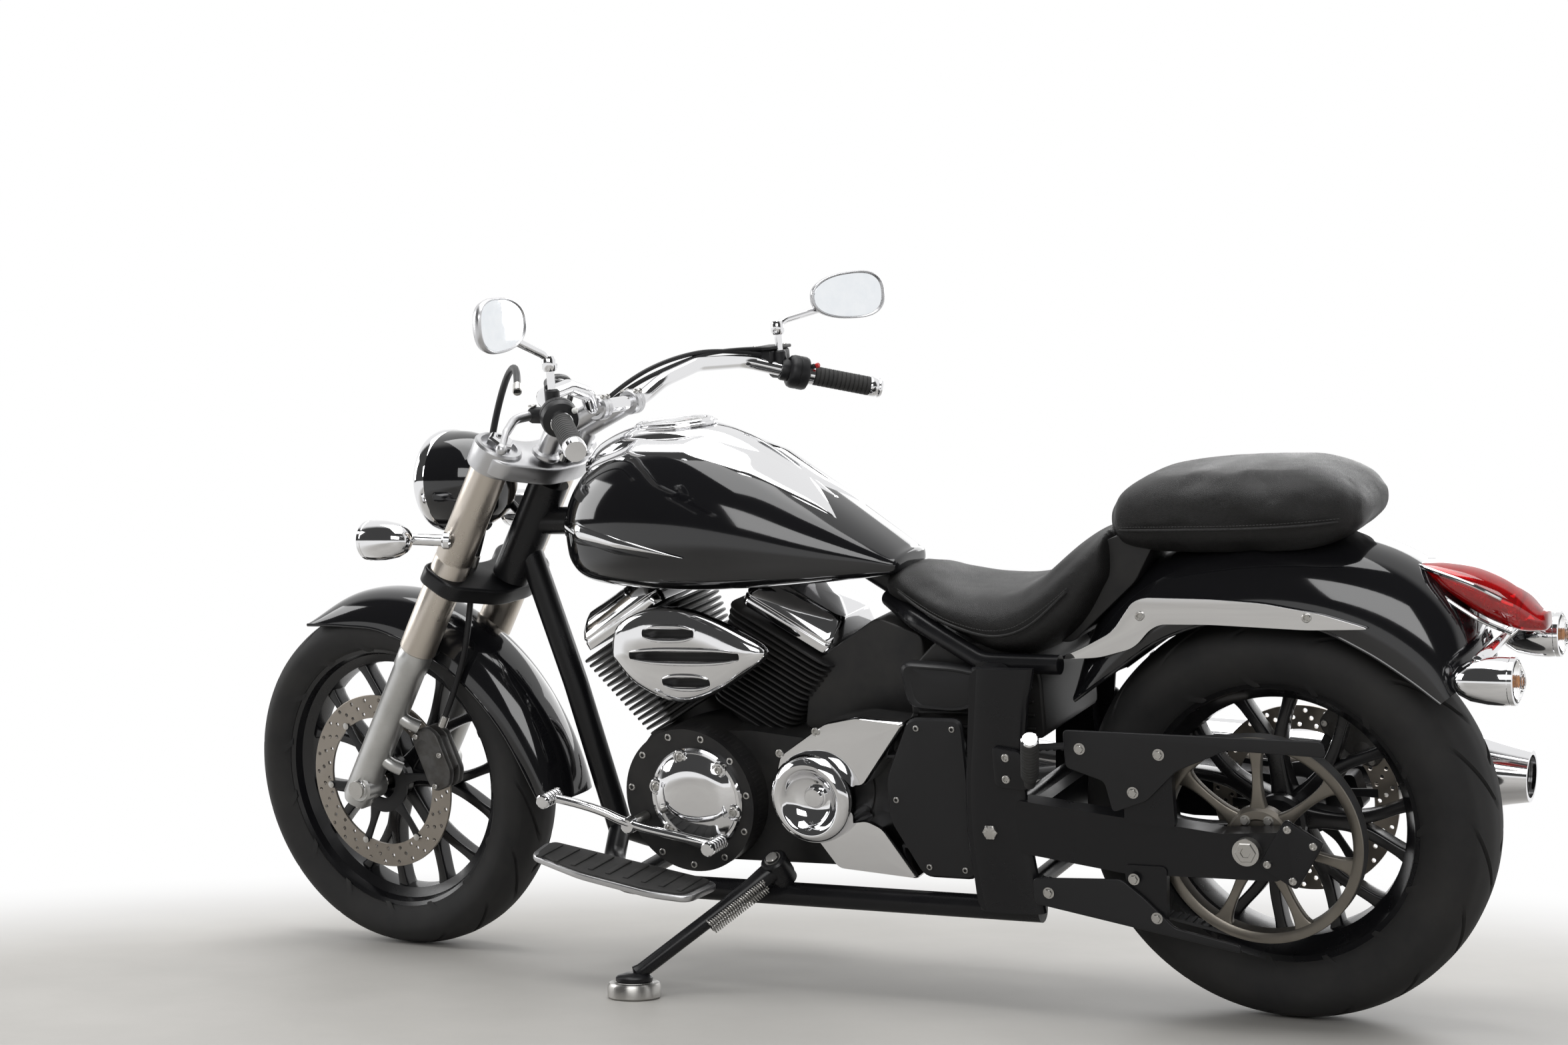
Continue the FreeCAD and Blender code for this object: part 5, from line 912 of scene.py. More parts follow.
def even(half, middle=0):
    """A closed section whose second half mirrors the first."""
    return half + [(r, 2 * middle - y) for r, y in half[::-1]] + half[:1]


def wheel_casting(prefix, place, bead, half, hub_half, hub_radius, spokes):
    """A cast wheel: barrel with lips, hub and split spokes."""
    lip, far = bead + 10, bead - 24
    barrel = [(bead - 31, 0), (bead - 28, -half * 0.5 + 2), (bead - 12, -half + 14), (bead - 7, -half + 1),
              (lip - 5, -half - 6), (lip, -half - 5), (lip + 2, -half - 1), (lip, -half + 3), (bead - 1, -half + 6),
              (bead - 4, -half + 16), (bead - 20, -half * 0.5)]
    hub = even([(hub_radius * 0.45, -hub_half), (hub_radius * 0.86, -hub_half), (hub_radius, -hub_half + 5),
                (hub_radius, -hub_half + 18), (hub_radius * 0.82, -hub_half * 0.45)])
    parts = [turned_piece("barrel", even(barrel)[:-1], place, "wheel", 128, sharp=radians(28)),
             turned_piece("hub", hub, place, "wheel")]
    split = hub_radius + (far - hub_radius) * 0.42
    beams = [bar("stem", [(hub_radius * 0.7, 0, 0, 38, 46), (hub_radius * 1.35, 0, 0, 30, 40),
                          (split * 0.82, 0, 0, 28, 36), (split, 0, 0, 32, 34)])]
    spoke_turn = radians(12.5)
    for side in (-1, 1):
        reach = far * sin(spoke_turn) * side
        beams.append(bar("arm", [(split - 6, side * 5, 0, 20, 33),
                                 (split + (far - split) * 0.3, reach * 0.36, 0, 18, 31),
                                 (split + (far - split) * 0.75, reach * 0.8, 0, 18, 30),
                                 (far * cos(spoke_turn) + 3, reach * 1.05, 0, 26, 32)]))
    parts.append(coated(ring_of(joined("spoke", beams), spokes, place, "wheel", 0.35), "wheel"))
    return joined(prefix + "_wheel_casting", parts)


def brake_disc(name, place, side, radius, band, key, holes, thickness=5, centre_radius=52, arms=6):
    """A drilled brake disc, and its dark carrier with buttons."""
    inner, out = radius - band, 1 if side > 0 else -1
    ring = turned_piece(name, even([(inner, side - thickness / 2), (radius - 0.6, side - thickness / 2),
                                    (radius, side - thickness / 2 + 0.6)], side), place, steps=112)
    drills = []
    for row, share in enumerate((0.2, 0.5, 0.8)):
        drill = turned_piece("drill", [(0, side - thickness), (3.6, side - thickness), (3.6, side + thickness),
                                       (0, side + thickness)], Matrix.Translation((inner + band * share, 0, 0)),
                             None, 12, "Z")
        drills.append(ring_of(drill, holes, place, key, row * 0.075))
    ring = coated(cut(ring, joined("drills", drills)), key)
    carrier = even([(centre_radius * 0.62, side - 3), (centre_radius, side - 4), (centre_radius + 6, side - 2.5)], side)
    arm = bar("arm", [(centre_radius - 4, 0, side, 26, 6),
                      (centre_radius + (inner - centre_radius) * 0.5, 3, side, 13, 6), (inner + 7, 0, side, 15, 6)])
    button = turned_piece("button", [(0, side + out * 3.4), (5, side + out * 3.4), (6.4, side + out * 5.4),
                                     (4, side + out * 6.2), (0, side + out * 6.2)],
                          Matrix.Translation((inner + 5, 0, 0)), None, 16, "Z")
    return ring, joined(name + "_centre", [
        turned_piece("carrier", carrier, place, "plastic"),
        coated(ring_of(arm, arms, place, "plastic", 0.1), "plastic"),
        coated(ring_of(button, arms, place, "steel", 0.1), "steel")])


class CRUISER_OT_wheels(bpy.types.Operator):
    """Tyres with their tread, cast wheels, and brake discs with their carriers"""
    bl_idname = "cruiser.wheels"
    bl_label = "Wheels"

    def execute(self, context):
        sizes = context.scene.cruiser_sizes
        for prefix, place, radius, bead, half, width, hub_half in (
                ("rear", REAR_HUB, REAR_RADIUS, 217, 85, 62, 60), ("front", FRONT_HUB, FRONT_RADIUS, 241, 65, 44, 48)):
            body = prefix + "_wheel"
            sector = tyre_sector(prefix + "_tread", radius - 1.4, bead, half, sizes.tread_blocks,
                                 sizes.tread_depth / MM)
            tyre = coated(ring_of(sector, sizes.tread_blocks, place, "tyre", 0.0, 0.05), "tyre")
            finished(tyre, body, "tyre", prefix + "_tyre")
            casting = wheel_casting(prefix, place, bead, width, hub_half, 42, sizes.spokes)
            finished(casting, body, "cast_black", prefix + "_rim")
        for prefix, place, side, radius, band in (("front", FRONT_HUB, 68, 160, 42), ("rear", REAR_HUB, -80, 149, 38)):
            key = prefix + "_disc"
            ring, centre = brake_disc(prefix + "_brake_disc", place, side, radius, band, key, sizes.disc_holes)
            finished(ring, prefix + "_wheel", "disc_steel", key)
            finished(centre, prefix + "_wheel", "disc_steel")
        return {"FINISHED"}


def round_spots(count, radius, across, start=0.0, side=1):
    """Places on a circle round the cross axis, all facing one side."""
    return [((radius * a, across, radius * b), (0, side, 0)) for a, b in circle(count, start)]


class CRUISER_OT_pulley(bpy.types.Operator):
    """The bronze belt pulley with its spokes and teeth"""
    bl_idname = "cruiser.pulley"
    bl_label = "Belt pulley"

    def execute(self, context):
        rims = [(146, 129), (158, 127), (159, 129), (154.2, 129.5), (154.2, 154.5), (159, 155), (158, 157), (148, 157),
                (143, 154), (142, 146), (142, 132), (146, 129)]
        hub = [(18, 128), (44, 128), (52, 136), (52, 150), (46, 155), (34, 156), (30, 152), (18, 152), (18, 128)]
        arm = bar("pulley_arm", [(42, 0, 144, 30, 16), (70, 0, 145, 17, 15), (105, 0, 145, 14, 14),
                                 (134, 0, 145, 22, 15), (147, 0, 145, 40, 16)])
        rib = box_piece("tooth", (153, -1.7, 130), (155.9, 1.7, 154), None, None, 0.7, 2)
        teeth = ring_of(rib, context.scene.cruiser_sizes.belt_teeth, REAR_HUB, "pulley")
        assembled("belt_pulley_toothed", [
            turned_piece("pulley_rim", rims, REAR_HUB, "pulley", 128),
            turned_piece("pulley_hub", hub, REAR_HUB, "pulley"),
            coated(ring_of(arm, 7, REAR_HUB, "pulley", 0.2), "pulley"), coated(teeth, "pulley")],
            "rear_wheel", "bronze", "rear_pulley")
        bolts = screws("pulley_bolts", round_spots(6, 36, 154.5), REAR_HUB, form=nut_form(6, 6, 8))
        finished(bolts, "rear_wheel", "steel")
        return {"FINISHED"}


# Body: stations along the machine are the place, half width, low edge, widest height and high edge

TANK = [(1222, 60, 738, 785, 828), (1200, 104, 712, 780, 868), (1150, 144, 696, 775, 912), (1060, 168, 690, 762, 946),
        (950, 166, 686, 752, 942), (850, 151, 688, 745, 903), (750, 121, 692, 736, 838), (660, 84, 698, 728, 775),
        (610, 60, 702, 720, 738)]
CONSOLE = [(1192, 30, 880, 906), (1150, 60, 890, 936), (1080, 76, 905, 958), (980, 72, 895, 958), (880, 52, 860, 926),
           (790, 28, 820, 868), (735, 8, 800, 828)]
RIDER = [(622, 62, 672, 690, 716), (590, 88, 660, 690, 722), (530, 126, 640, 668, 694), (470, 150, 618, 650, 680),
         (400, 160, 590, 640, 682), (340, 158, 590, 660, 706), (280, 140, 640, 710, 758), (240, 118, 700, 750, 790)]
PILLION = [(224, 88, 762, 796, 820), (196, 116, 752, 804, 848), (110, 132, 748, 810, 862), (0, 136, 748, 812, 866),
           (-90, 130, 752, 814, 862), (-140, 112, 762, 812, 846), (-164, 86, 776, 808, 826)]
TAIL = [(-236, 26, 700, 708, 716), (-270, 44, 672, 694, 716), (-320, 50, 636, 672, 706), (-370, 44, 614, 648, 680),
        (-402, 26, 612, 626, 644)]
REAR_FENDER = [(34, 368, 352), (48, 412, 330), (65, 436, 328), (85, 442, 328), (105, 452, 328), (120, 456, 326),
               (133, 440, 330), (143, 402, 340)]
FRONT_FENDER = [(64, 328, 320), (80, 346, 292), (100, 351.6, 281), (130, 356.8, 281), (158, 372, 307),
                (183, 390.6, 362)]
TANK_TOP_POWER, TANK_LOW_POWER = 0.85, 0.6


def oval_skin(name, stations, powers, count, rings, place, key=None):
    """A closed skin through oval stations, with rounded ends."""
    rows = spread(stations, rings)
    loops = end_loops(rows[0], rows[1], powers, count)[::-1] + [oval_ring(*row, *powers, count) for row in rows]
    return new_piece(name, skin(loops + end_loops(rows[-1], rows[-2], powers, count)), place, key)


def end_loops(row, inner, powers, count, reach=9.0):
    """Loops that round off an end."""
    out = []
    forward, half, low, widest, high = row
    sign = 1 if forward > inner[0] else -1
    for share in (0.35, 0.7, 0.9, 1.0):
        keep = sqrt(max(0.0, 1 - share ** 2)) * 0.5 + 0.5 if share < 1 else 0.42
        out.append(oval_ring(forward + sign * reach * share * 0.9, half * keep, widest - (widest - low) * keep,
                             widest, widest + (high - widest) * keep, *powers, count))
    return out


def tank_at(forward):
    """Half width, low edge, widest height and high edge of the tank at one place along it."""
    table = sorted(TANK)
    return [float(np.interp(forward, [row[0] for row in table], [row[k] for row in table])) for k in range(1, 5)]


def tank_side(forward, up):
    """How far the tank's skin stands from the middle at a place on its side."""
    half, low, widest, high = tank_at(forward)
    if up >= widest:
        share, power = min(0.999, (up - widest) / (high - widest)), TANK_TOP_POWER
    else:
        share, power = min(0.999, (widest - up) / (widest - low)), TANK_LOW_POWER
    return half * cos(asin(share ** (1 / power))) ** power


def tank_top(forward, side):
    """Height of the tank's skin at a place on its top."""
    half, _, widest, high = tank_at(forward)
    cosine = min(1.0, abs(side) / half) ** (1 / TANK_TOP_POWER)
    return widest + (high - widest) * sqrt(max(0.0, 1 - cosine ** 2)) ** TANK_TOP_POWER


def blade(line, side, key, bulge):
    """A trim blade on the tank's side: rows of place, height and half width."""
    rings = []
    for x, z, half in spread(line, len(line) * 6):
        front, back = [], []
        for k in range(9):
            share = -1 + k / 4
            up = z + max(half, 0.3) * share
            out = tank_side(x, up)
            front.append(Vector((x, side * (out + bulge * (1 - share ** 2) ** 0.7 + 0.6), up)))
            back.append(Vector((x, side * (out - 3), up)))
        rings.append(front + back[::-1])
    return new_piece("spear", skin(rings), BIKE, key, sharp=radians(50))


class CRUISER_OT_tank(bpy.types.Operator):
    """The painted tank with its chrome blades"""
    bl_idname = "cruiser.tank"
    bl_label = "Tank"

    def execute(self, context):
        tank = oval_skin("tank_skin", TANK, (TANK_TOP_POWER, TANK_LOW_POWER), 96, 60, BIKE, "paint")
        finished(tank, "chassis", "gloss_black", "fuel_tank")
        for side, word in SIDES:
            assembled("tank_spear_" + word, [
                blade([(1216, 806, 10), (1190, 803, 15), (1130, 795, 14), (1050, 780, 9), (980, 766, 4),
                       (935, 757, 0.5)], side, "chrome", 6),
                blade([(1212, 788, 3), (1180, 784, 4), (1120, 776, 4), (1050, 765, 3), (1000, 757, 0.6)], side,
                      "plastic", 3)], "chassis", "chrome")
        return {"FINISHED"}


def dial_ring(name, up, radii, thickness):
    """A ring of round section on an ellipse round the dial."""
    rings = []
    for index in range(97):
        way = Vector((cos(2 * pi * index / 96), sin(2 * pi * index / 96), 0))
        middle = Vector((radii[0] * way.x, radii[1] * way.y, 0))
        rings.append([middle + way * thickness * a + Vector((0, 0, thickness * b)) for a, b in circle(14)])
    return new_piece(name, skin(rings, caps=False), moved(BIKE, (1026, 0, up), 1.5), "chrome")


def dial_plate(name, up, radii, thickness, dish, key):
    """A flat or dished elliptical plate of the dial."""
    rings = [[Vector((radii[0] * share * a, radii[1] * share * b, lift)) for a, b in circle(96)] for share, lift in (
        (0.25, dish), (0.6, dish * 0.7), (0.92, dish * 0.2), (1, 0), (1, -thickness), (0.3, -thickness))]
    finished(new_piece(name, skin(rings), moved(BIKE, (1026, 0, up), 1.5), key), "chassis", "controls_black")


def console_wings():
    """A thin shell that drapes over the tank's shoulders and ends in two points."""
    rings = []
    for row in range(49):
        u = row / 48
        wide = float(np.interp(u, (0, 0.08, 0.25, 0.45, 0.65, 0.82, 1), (66, 98, 114, 112, 98, 78, 56)))
        upper, lower = [], []
        for k in range(41):
            s = -1 + 2 * k / 40
            front, rear = 1204 - 26 * s ** 2, 700 + 62 * (1 - abs(s))
            x, y = front + (rear - front) * u, wide * s
            edge = min(1.0, (1 - abs(s)) * 9, u * 22, (1 - u) * 22)
            up = tank_top(x, y)
            upper.append(Vector((x, y * (1 + 0.03 * edge), up + 5 * sqrt(max(0.0, edge)) - 1)))
            lower.append(Vector((x, y * 0.995, up - 4)))
        rings.append(upper + lower[::-1])
    return new_piece("console_wings", skin(rings), BIKE, "chrome", sharp=radians(50))


class CRUISER_OT_console(bpy.types.Operator):
    """The chrome console on the tank with its oval dial"""
    bl_idname = "cruiser.console"
    bl_label = "Console and dial"

    def execute(self, context):
        rows = [(x, half, low, low + (high - low) * 0.1, high) for x, half, low, high in CONSOLE]
        seam = [(944, y, 948 - abs(y) ** 2 * 0.006 - 2.5) for y in (-62, -40, -20, 0, 20, 40, 62)]
        assembled("console_chrome", [
            oval_skin("console_shell", rows, (0.72, 0.5), 72, 44, BIKE, "chrome"), console_wings(),
            dial_ring("dial_ring", 957, (66, 47), 5.5), dial_ring("dial_seat", 954, (75, 56), 3.0),
            tube("console_seam", seam, 1.6, BIKE, "plastic", 8)], "chassis", "chrome", "tank_console")
        dial_plate("dial_face", 958.5, (62, 43), 3, 0, "dial")
        dial_plate("dial_glass", 960.5, (63, 44), 1.2, 2.5, "glass")
        place = moved(BIKE, (1026, 0, 959), 1.5)
        tick = grown(box_piece("tick", (30, -0.6, 0), (36, 0.6, 0.5), None, None, 0.1, 1), "ring", "white",
                     count=36, turn=0.0, weld=0.0)
        marks = [settled(tick, place @ Matrix.Diagonal((1.45, 1.05, 1, 1)), "white")]
        for index in range(9):
            angle = radians(-45 + index * 33.75)
            figure = linked("figure", bpy.data.curves.new("figure", "FONT"))
            figure.data.body = str(index * 20)
            figure.data.size = 9
            figure.data.extrude = 0.15
            figure.data.align_x = figure.data.align_y = "CENTER"
            spot = Matrix.Translation((-34 * cos(angle), 27 * sin(angle), 0.4)) @ Matrix.Rotation(radians(-90), 4, "Z")
            marks.append(as_mesh(figure, place @ spot, "white"))
        marks.append(box_piece("needle", (-30, -0.8, 0.8), (8, 0.8, 1.2), place, "red", 0.2, 1))
        assembled("dial_print", marks, "chassis", "controls_black")
        return {"FINISHED"}


def swollen(obj, name, cap, voxel=6.0):
    """Fills a pad with pressure, caps how far it grows, and smooths it."""
    pad = linked(name, obj.data.copy())
    bpy.data.objects.remove(obj)
    remesh = pad.modifiers.new("remesh", "REMESH")
    remesh.mode = "VOXEL"
    remesh.voxel_size = voxel * MM
    baked(pad, None)
    start = np.array([v.co for v in pad.data.vertices])
    cloth = pad.modifiers.new("cloth", "CLOTH").settings
    cloth.quality = 5
    cloth.mass = 0.3
    cloth.tension_stiffness = cloth.compression_stiffness = 15
    cloth.use_pressure = True
    cloth.uniform_pressure_force = 4
    cloth.effector_weights.gravity = 0
    for moment in range(1, 21):
        bpy.context.scene.frame_set(moment)
    baked(pad, None)
    bpy.context.scene.frame_set(1)
    step = np.array([v.co for v in pad.data.vertices]) - start
    reach = np.linalg.norm(step, axis=1, keepdims=True)
    step *= np.minimum(1.0, cap * MM / np.maximum(reach, 1e-9))
    for vertex, place in zip(pad.data.vertices, start + step):
        vertex.co = place
    smooth = pad.modifiers.new("smooth", "SMOOTH")
    smooth.iterations = 8
    smooth.factor = 0.5
    baked(pad, None)
    pad.data.shade_smooth()
    return coated(pad, "leather")


def seat_seam(stations, powers, share, side):
    """Points along a pad's side, below its widest height by a share of the depth there."""
    points = []
    for x, half, low, widest, _ in stations[1:-1]:
        y = half * cos(asin(share ** (1 / powers[1]))) ** powers[1] + 1.5
        points.append((x, side * y, widest - (widest - low) * share))
    return points


class CRUISER_OT_seats(bpy.types.Operator):
    """Both leather seats, swollen by a cloth run, with piping and stitches"""
    bl_idname = "cruiser.seats"
    bl_label = "Seats"

    def execute(self, context):
        sizes = context.scene.cruiser_sizes
        for name, stations, powers, share, stands_for in (
                ("rider_pad", RIDER, (0.7, 0.6), 0.2, "rider_seat"),
                ("pillion_pad", PILLION, (0.55, 0.4), 0.35, "pillion_seat")):
            smaller = [(x, half - 3, low + 3, widest, high - 3) for x, half, low, widest, high in stations]
            pad = swollen(oval_skin(name + "_start", smaller, powers, 64, 40, BIKE), name, sizes.pad_swell / MM)
            finished(pad, "chassis", "leather", stands_for)
            pieces = []
            for side in (1, -1):
                line = seat_seam(stations, powers, share, side)
                pieces.append(tube(name + "_piping", line, 2.4, BIKE, "leather", 10))
                stitch = tube("stitch", [(0, 0, -1.6), (0, 0, 1.6)], 0.55, None, None, 6, 1)
                row = [(x, y + side * 0.6, z + 5) for x, y, z in line]
                span = sum((Vector(a) - Vector(b)).length for a, b in zip(row, row[1:]))
                stitches = grown(smooth_line("stitches", row, 24), "path", "rubber", form=stitch,
                                 count=int(span * MM / sizes.stitch_pitch))
                pieces.append(settled(stitches, BIKE))
                bpy.data.objects.remove(stitch)
            assembled(name + "_seams", pieces, "chassis", "leather")
        return {"FINISHED"}


def fender_shell(name, rays, half, hub, place):
    """A fender round a hub: rays give the angle and the reach of the crown and of the skirt."""
    wall, across = 3, 28
    rings = []
    for angle, crown, skirt in spread(rays, 60):
        a = radians(angle)
        outer, inner = [], []
        for k in range(across + 1):
            share = sin(pi * (k / across - 0.5))
            fall = 1 - sqrt(max(0.0, 1 - abs(share) ** 2.6))
            for line, less in ((outer, 0.0), (inner, wall)):
                r = crown - (crown - skirt) * fall - less * (1 - fall * 0.9)
                line.append(Vector((hub[0] + r * cos(a), (half + wall - less) * share, hub[1] + r * sin(a))))
        rings.append(outer + inner[::-1])
    parts = [new_piece(name, skin(rings), place, "paint", sharp=radians(40))]
    for side in (1, -1):
        line = [(hub[0] + (skirt + 1) * cos(radians(angle)), side * (half + wall * 0.5),
                 hub[1] + (skirt + 1) * sin(radians(angle))) for angle, _, skirt in rays]
        parts.append(tube(name + "_bead", line, 3.0, place, "paint", 10))
    return joined(name, parts)


class CRUISER_OT_fenders(bpy.types.Operator):
    """The painted rear fender with its rolled edges and chrome struts"""
    bl_idname = "cruiser.fenders"
    bl_label = "Rear fender"

    def execute(self, context):
        rear = fender_shell("rear_fender_skin", REAR_FENDER, 112, (0, REAR_RADIUS), BIKE)
        finished(rear, "chassis", "gloss_black", "rear_fender")
        outline = [(318, 586), (272, 603), (217, 631), (197, 658), (181, 678), (162, 684), (60, 682), (-21, 676),
                   (-109, 660), (-182, 638), (-87, 636), (60, 643), (140, 643), (158, 634), (184, 606), (243, 590)]
        for side, word in SIDES:
            strut = plate("fender_strut_" + word, outline, 115.3 if side > 0 else -124.3, 9, BIKE, "chrome", 3.6,
                          "Y", 4, 16)
            spots = [((x, side * 124.2, z), (0, side, 0)) for x, z in ((171, 656), (-87, 655))]
            bolts = screws("strut_bolts", spots, BIKE, form=screw_form(7, 4, 3.6))
            assembled("fender_strut_" + word, [strut, bolts], "chassis", "chrome", "fender_struts")
        return {"FINISHED"}


def bullet(base, way, radius, far, place):
    """A chrome bullet lamp with a ribbed lens at its far end and an amber bulb."""
    base, tip = Vector(base), Vector(base) + Vector(way) * far
    shell = [(0, 0), (0.3, 1.5 / far), (0.6, 0.1), (0.84, 0.26), (0.97, 0.5), (1, 0.7), (0.97, 0.8), (0.99, 0.81),
             (0.98, 0.87), (0.88, 0.88), (0.86, 0.8), (0, 0.7)]
    lens = [(0, 0.76), (0.84, 0.79), (0.86, 0.87)]
    last = 13
    for k in range(last + 1):
        reach = 0.86 * (1 - k / last) + 0.01 / radius if k < last else 0
        lens.append((reach, 0.88 + 0.1 * sin(k / last * pi / 2) + 0.9 / far * (k % 2)))
    bulb = [(0, 0.7), (0.8, 0.72), (0.2, 0.76), (0.2, 0.84), (0, 0.86)]
    return [spun("lamp", base, tip, [(radius * r, far * along) for r, along in profile], place, key, steps)
            for profile, key, steps in ((shell, "chrome", 64), (lens, "glass", 64), (bulb, "amber", 32))]


class CRUISER_OT_rear_lamps(bpy.types.Operator):
    """Tail lamp with its chrome bezel, and the rear indicators on their bar"""
    bl_idname = "cruiser.rear_lamps"
    bl_label = "Rear lamps"

    def execute(self, context):
        lens = [(x + 2, half - 1, low + 1, widest, high - 1) for x, half, low, widest, high in TAIL]
        finished(oval_skin("tail_lens", lens, (0.7, 0.7), 64, 30, BIKE, "ruby"), "chassis", "lamp_red", "tail_lamp")
        core = [(x + 8, half * 0.72, widest - (widest - low) * 0.7, widest, widest + (high - widest) * 0.7)
                for x, half, low, widest, high in TAIL[:-1]]
        finished(oval_skin("tail_reflector", core, (0.9, 0.9), 40, 20, BIKE, "chrome"), "chassis", "chrome")
        bezel, lamps = [], []
        for side in (1, -1):
            for edge in ([(-226, 22, 712), (-262, 46, 706), (-310, 53, 690), (-352, 50, 668)],
                         [(-228, 22, 700), (-266, 46, 672), (-316, 52, 640), (-362, 44, 616)]):
                bezel.append(tube("bezel", [mirrored(p, side) for p in edge], 3.2, BIKE, "chrome", 10))
            lamps += bullet((-300, side * 150, 572), (-1, 0, 0), 35, 104, BIKE)
            lamps.append(rod("stalk_foot", (-340, side * 150, 604), (-340, side * 150, 580), 10, BIKE, "chrome"))
        assembled("tail_bezel", bezel, "chassis", "chrome")
        stalk = [(-338, -150, 600), (-345, -120, 606), (-345, 0, 606), (-345, 120, 606), (-338, 150, 600)]
        lamps.append(tube("rear_lamp_bar", stalk, 9, BIKE, "chrome"))
        assembled("rear_indicator_set", lamps, "chassis", "chrome", "rear_indicators")
        return {"FINISHED"}


# Fork, headlamp and front fender

LEG_OFFSET, LEG_SIDE = 56.6, 108
BAR = [(1136, 0, 992), (1136, 70, 992), (1112, 112, 1022), (1092, 190, 1041), (1062, 300, 1036), (1000, 345, 1012),
       (890, 455, 968)]


class CRUISER_OT_fork(bpy.types.Operator):
    """Sliders, fork covers, axle clamps and the bolts of the yokes"""
    bl_idname = "cruiser.fork"
    bl_label = "Fork"

    def execute(self, context):
        slider = [(0, 306), (15, 306), (24, 310), (29, 322), (29, 604), (30.8, 607), (30.8, 636), (29.4, 640),
                  (29.4, 650), (0, 650)]
        cover = [(0, 645), (31.5, 645), (33, 647), (33, 835), (32.1, 836.5), (32.1, 840.5), (33, 842), (33, 1024),
                 (31, 1026), (0, 1026)]
        cap = [(0, 1070), (24, 1070), (24, 1081), (21, 1085), (12, 1086), (11, 1082), (0, 1082)]
        boss = [(0, 80), (22, 80), (25, 83), (25, 131), (22, 135), (0, 135)]
        nut = [(0, 133), (17, 133), (17, 136), (14, 140), (6, 141), (0, 141)]
        foot = moved(FORK, (FORK_AXLE.x, 0, FORK_AXLE.z))
        bolts = [((LEG_OFFSET + 30, side * (LEG_SIDE - 30), up + lift), (0.8, -side * 0.6, 0))
                 for up in (1049, 795) for side in (1, -1) for lift in (-9, 9)]
        for side, word in SIDES:
            leg = moved(FORK, (LEG_OFFSET, side * LEG_SIDE, 0))
            parts = [turned_piece("slider", slider, leg, "slider", 64, "Z"),
                     turned_piece("fork_cover", cover, leg, "fork_cover", 72, "Z"),
                     turned_piece("fork_cap", cap, leg, "chrome", 6, "Z", 0.5),
                     turned_piece("axle_boss", [(r, side * y) for r, y in boss], foot, "slider", 48),
                     turned_piece("axle_end", [(r, side * y) for r, y in nut], foot, "chrome", 48),
                     box_piece("axle_clamp", (-12, side * 104 - 15, -44), (12, side * 104 + 15, -18), foot,
                               "slider", 4),
                     screws("pinch_screws", [((0, side * 104 + step, -44), (0, 0, -1)) for step in (-9, 9)], foot,
                            "steel", 4.5)]
            for up in (418, 512) if side > 0 else ():
                lug = [(LEG_OFFSET - 6, 112, up), (LEG_OFFSET - 36, 104, up - 4), (LEG_OFFSET - 52, 92, up - 6)]
                parts.append(pipe("caliper_lug", lug, 12, FORK, "slider", 30))
            assembled("fork_leg_" + word, parts, "steering", "fork_metal", "fork_legs")
        stem_nut = [(0, 1070), (26, 1070), (26, 1084), (23, 1088), (0, 1089)]
        assembled("yoke_bolts", [screws("yoke_screws", bolts, FORK, "steel", 6, 5),
                                 turned_piece("stem_nut", stem_nut, FORK, "chrome", 48, "Z")], "steering", "chrome")
        return {"FINISHED"}


class CRUISER_OT_yokes(bpy.types.Operator):
    """Silver top yoke with its clamps, black lower yoke, the stem and the headlamp's bracket"""
    bl_idname = "cruiser.yokes"
    bl_label = "Yokes"

    def execute(self, context):
        outline = [(-30, -46), (16, -146), (92, -146), (96, -70), (62, -30), (62, 30), (96, 70), (92, 146), (16, 146),
                   (-30, 46)]
        clamp = even([(33.2, 1026), (41, 1026), (43, 1029)], 1049)
        clamp[3:5] = [(43, 1068), (40, 1072)]
        parts = [plate("top_yoke", outline, 1030, 34, FORK, "silver", 5, "Z", 3, 26, 6),
                 plate("lower_yoke", outline, 780, 31, FORK, "enamel", 5, "Z", 3, 26, 6),
                 rod("steering_stem", (0, 0, 800), (0, 0, 1034), 21, FORK, "enamel", 2, 40)]
        for side in (1, -1):
            leg = moved(FORK, (LEG_OFFSET, side * LEG_SIDE, 0))
            arm = [(48, side * 52, 900), (110, side * 58, 908), (170, side * 62, 915)]
            parts += [turned_piece("leg_clamp", clamp, leg, "silver", 72, "Z"),
                      pipe("lamp_arm", arm, 8, FORK, "enamel", 20)]
        assembled("yoke_set", parts, "steering", "silver", "yokes")
        return {"FINISHED"}


class CRUISER_OT_uprights(bpy.types.Operator):
    """Rounded satin covers over the frame's wide uprights"""
    bl_idname = "cruiser.uprights"
    bl_label = "Uprights"

    def execute(self, context):
        front = spread([(445, 200), (456, 300), (452, 400), (440, 480), (425, 588)], 25)
        back = spread([(336, 200), (350, 320), (350, 430), (338, 520), (322, 588)], 25)
        for side, word in SIDES:
            rings = []
            for (x1, z1), (x2, z2) in zip(front, back):
                ring = []
                for a in (pi * k / 16 for k in range(17)):
                    share = 0.5 - 0.5 * cos(a)
                    ring.append(Vector((x1 + (x2 - x1) * share, side * (188 + 15.5 * sin(a) ** 0.55),
                                        z1 + (z2 - z1) * share)))
                rings.append(ring)
            cover = new_piece("upright_cover_" + word, skin(rings), BIKE, "enamel")
            finished(cover, "chassis", "frame_black")
        return {"FINISHED"}


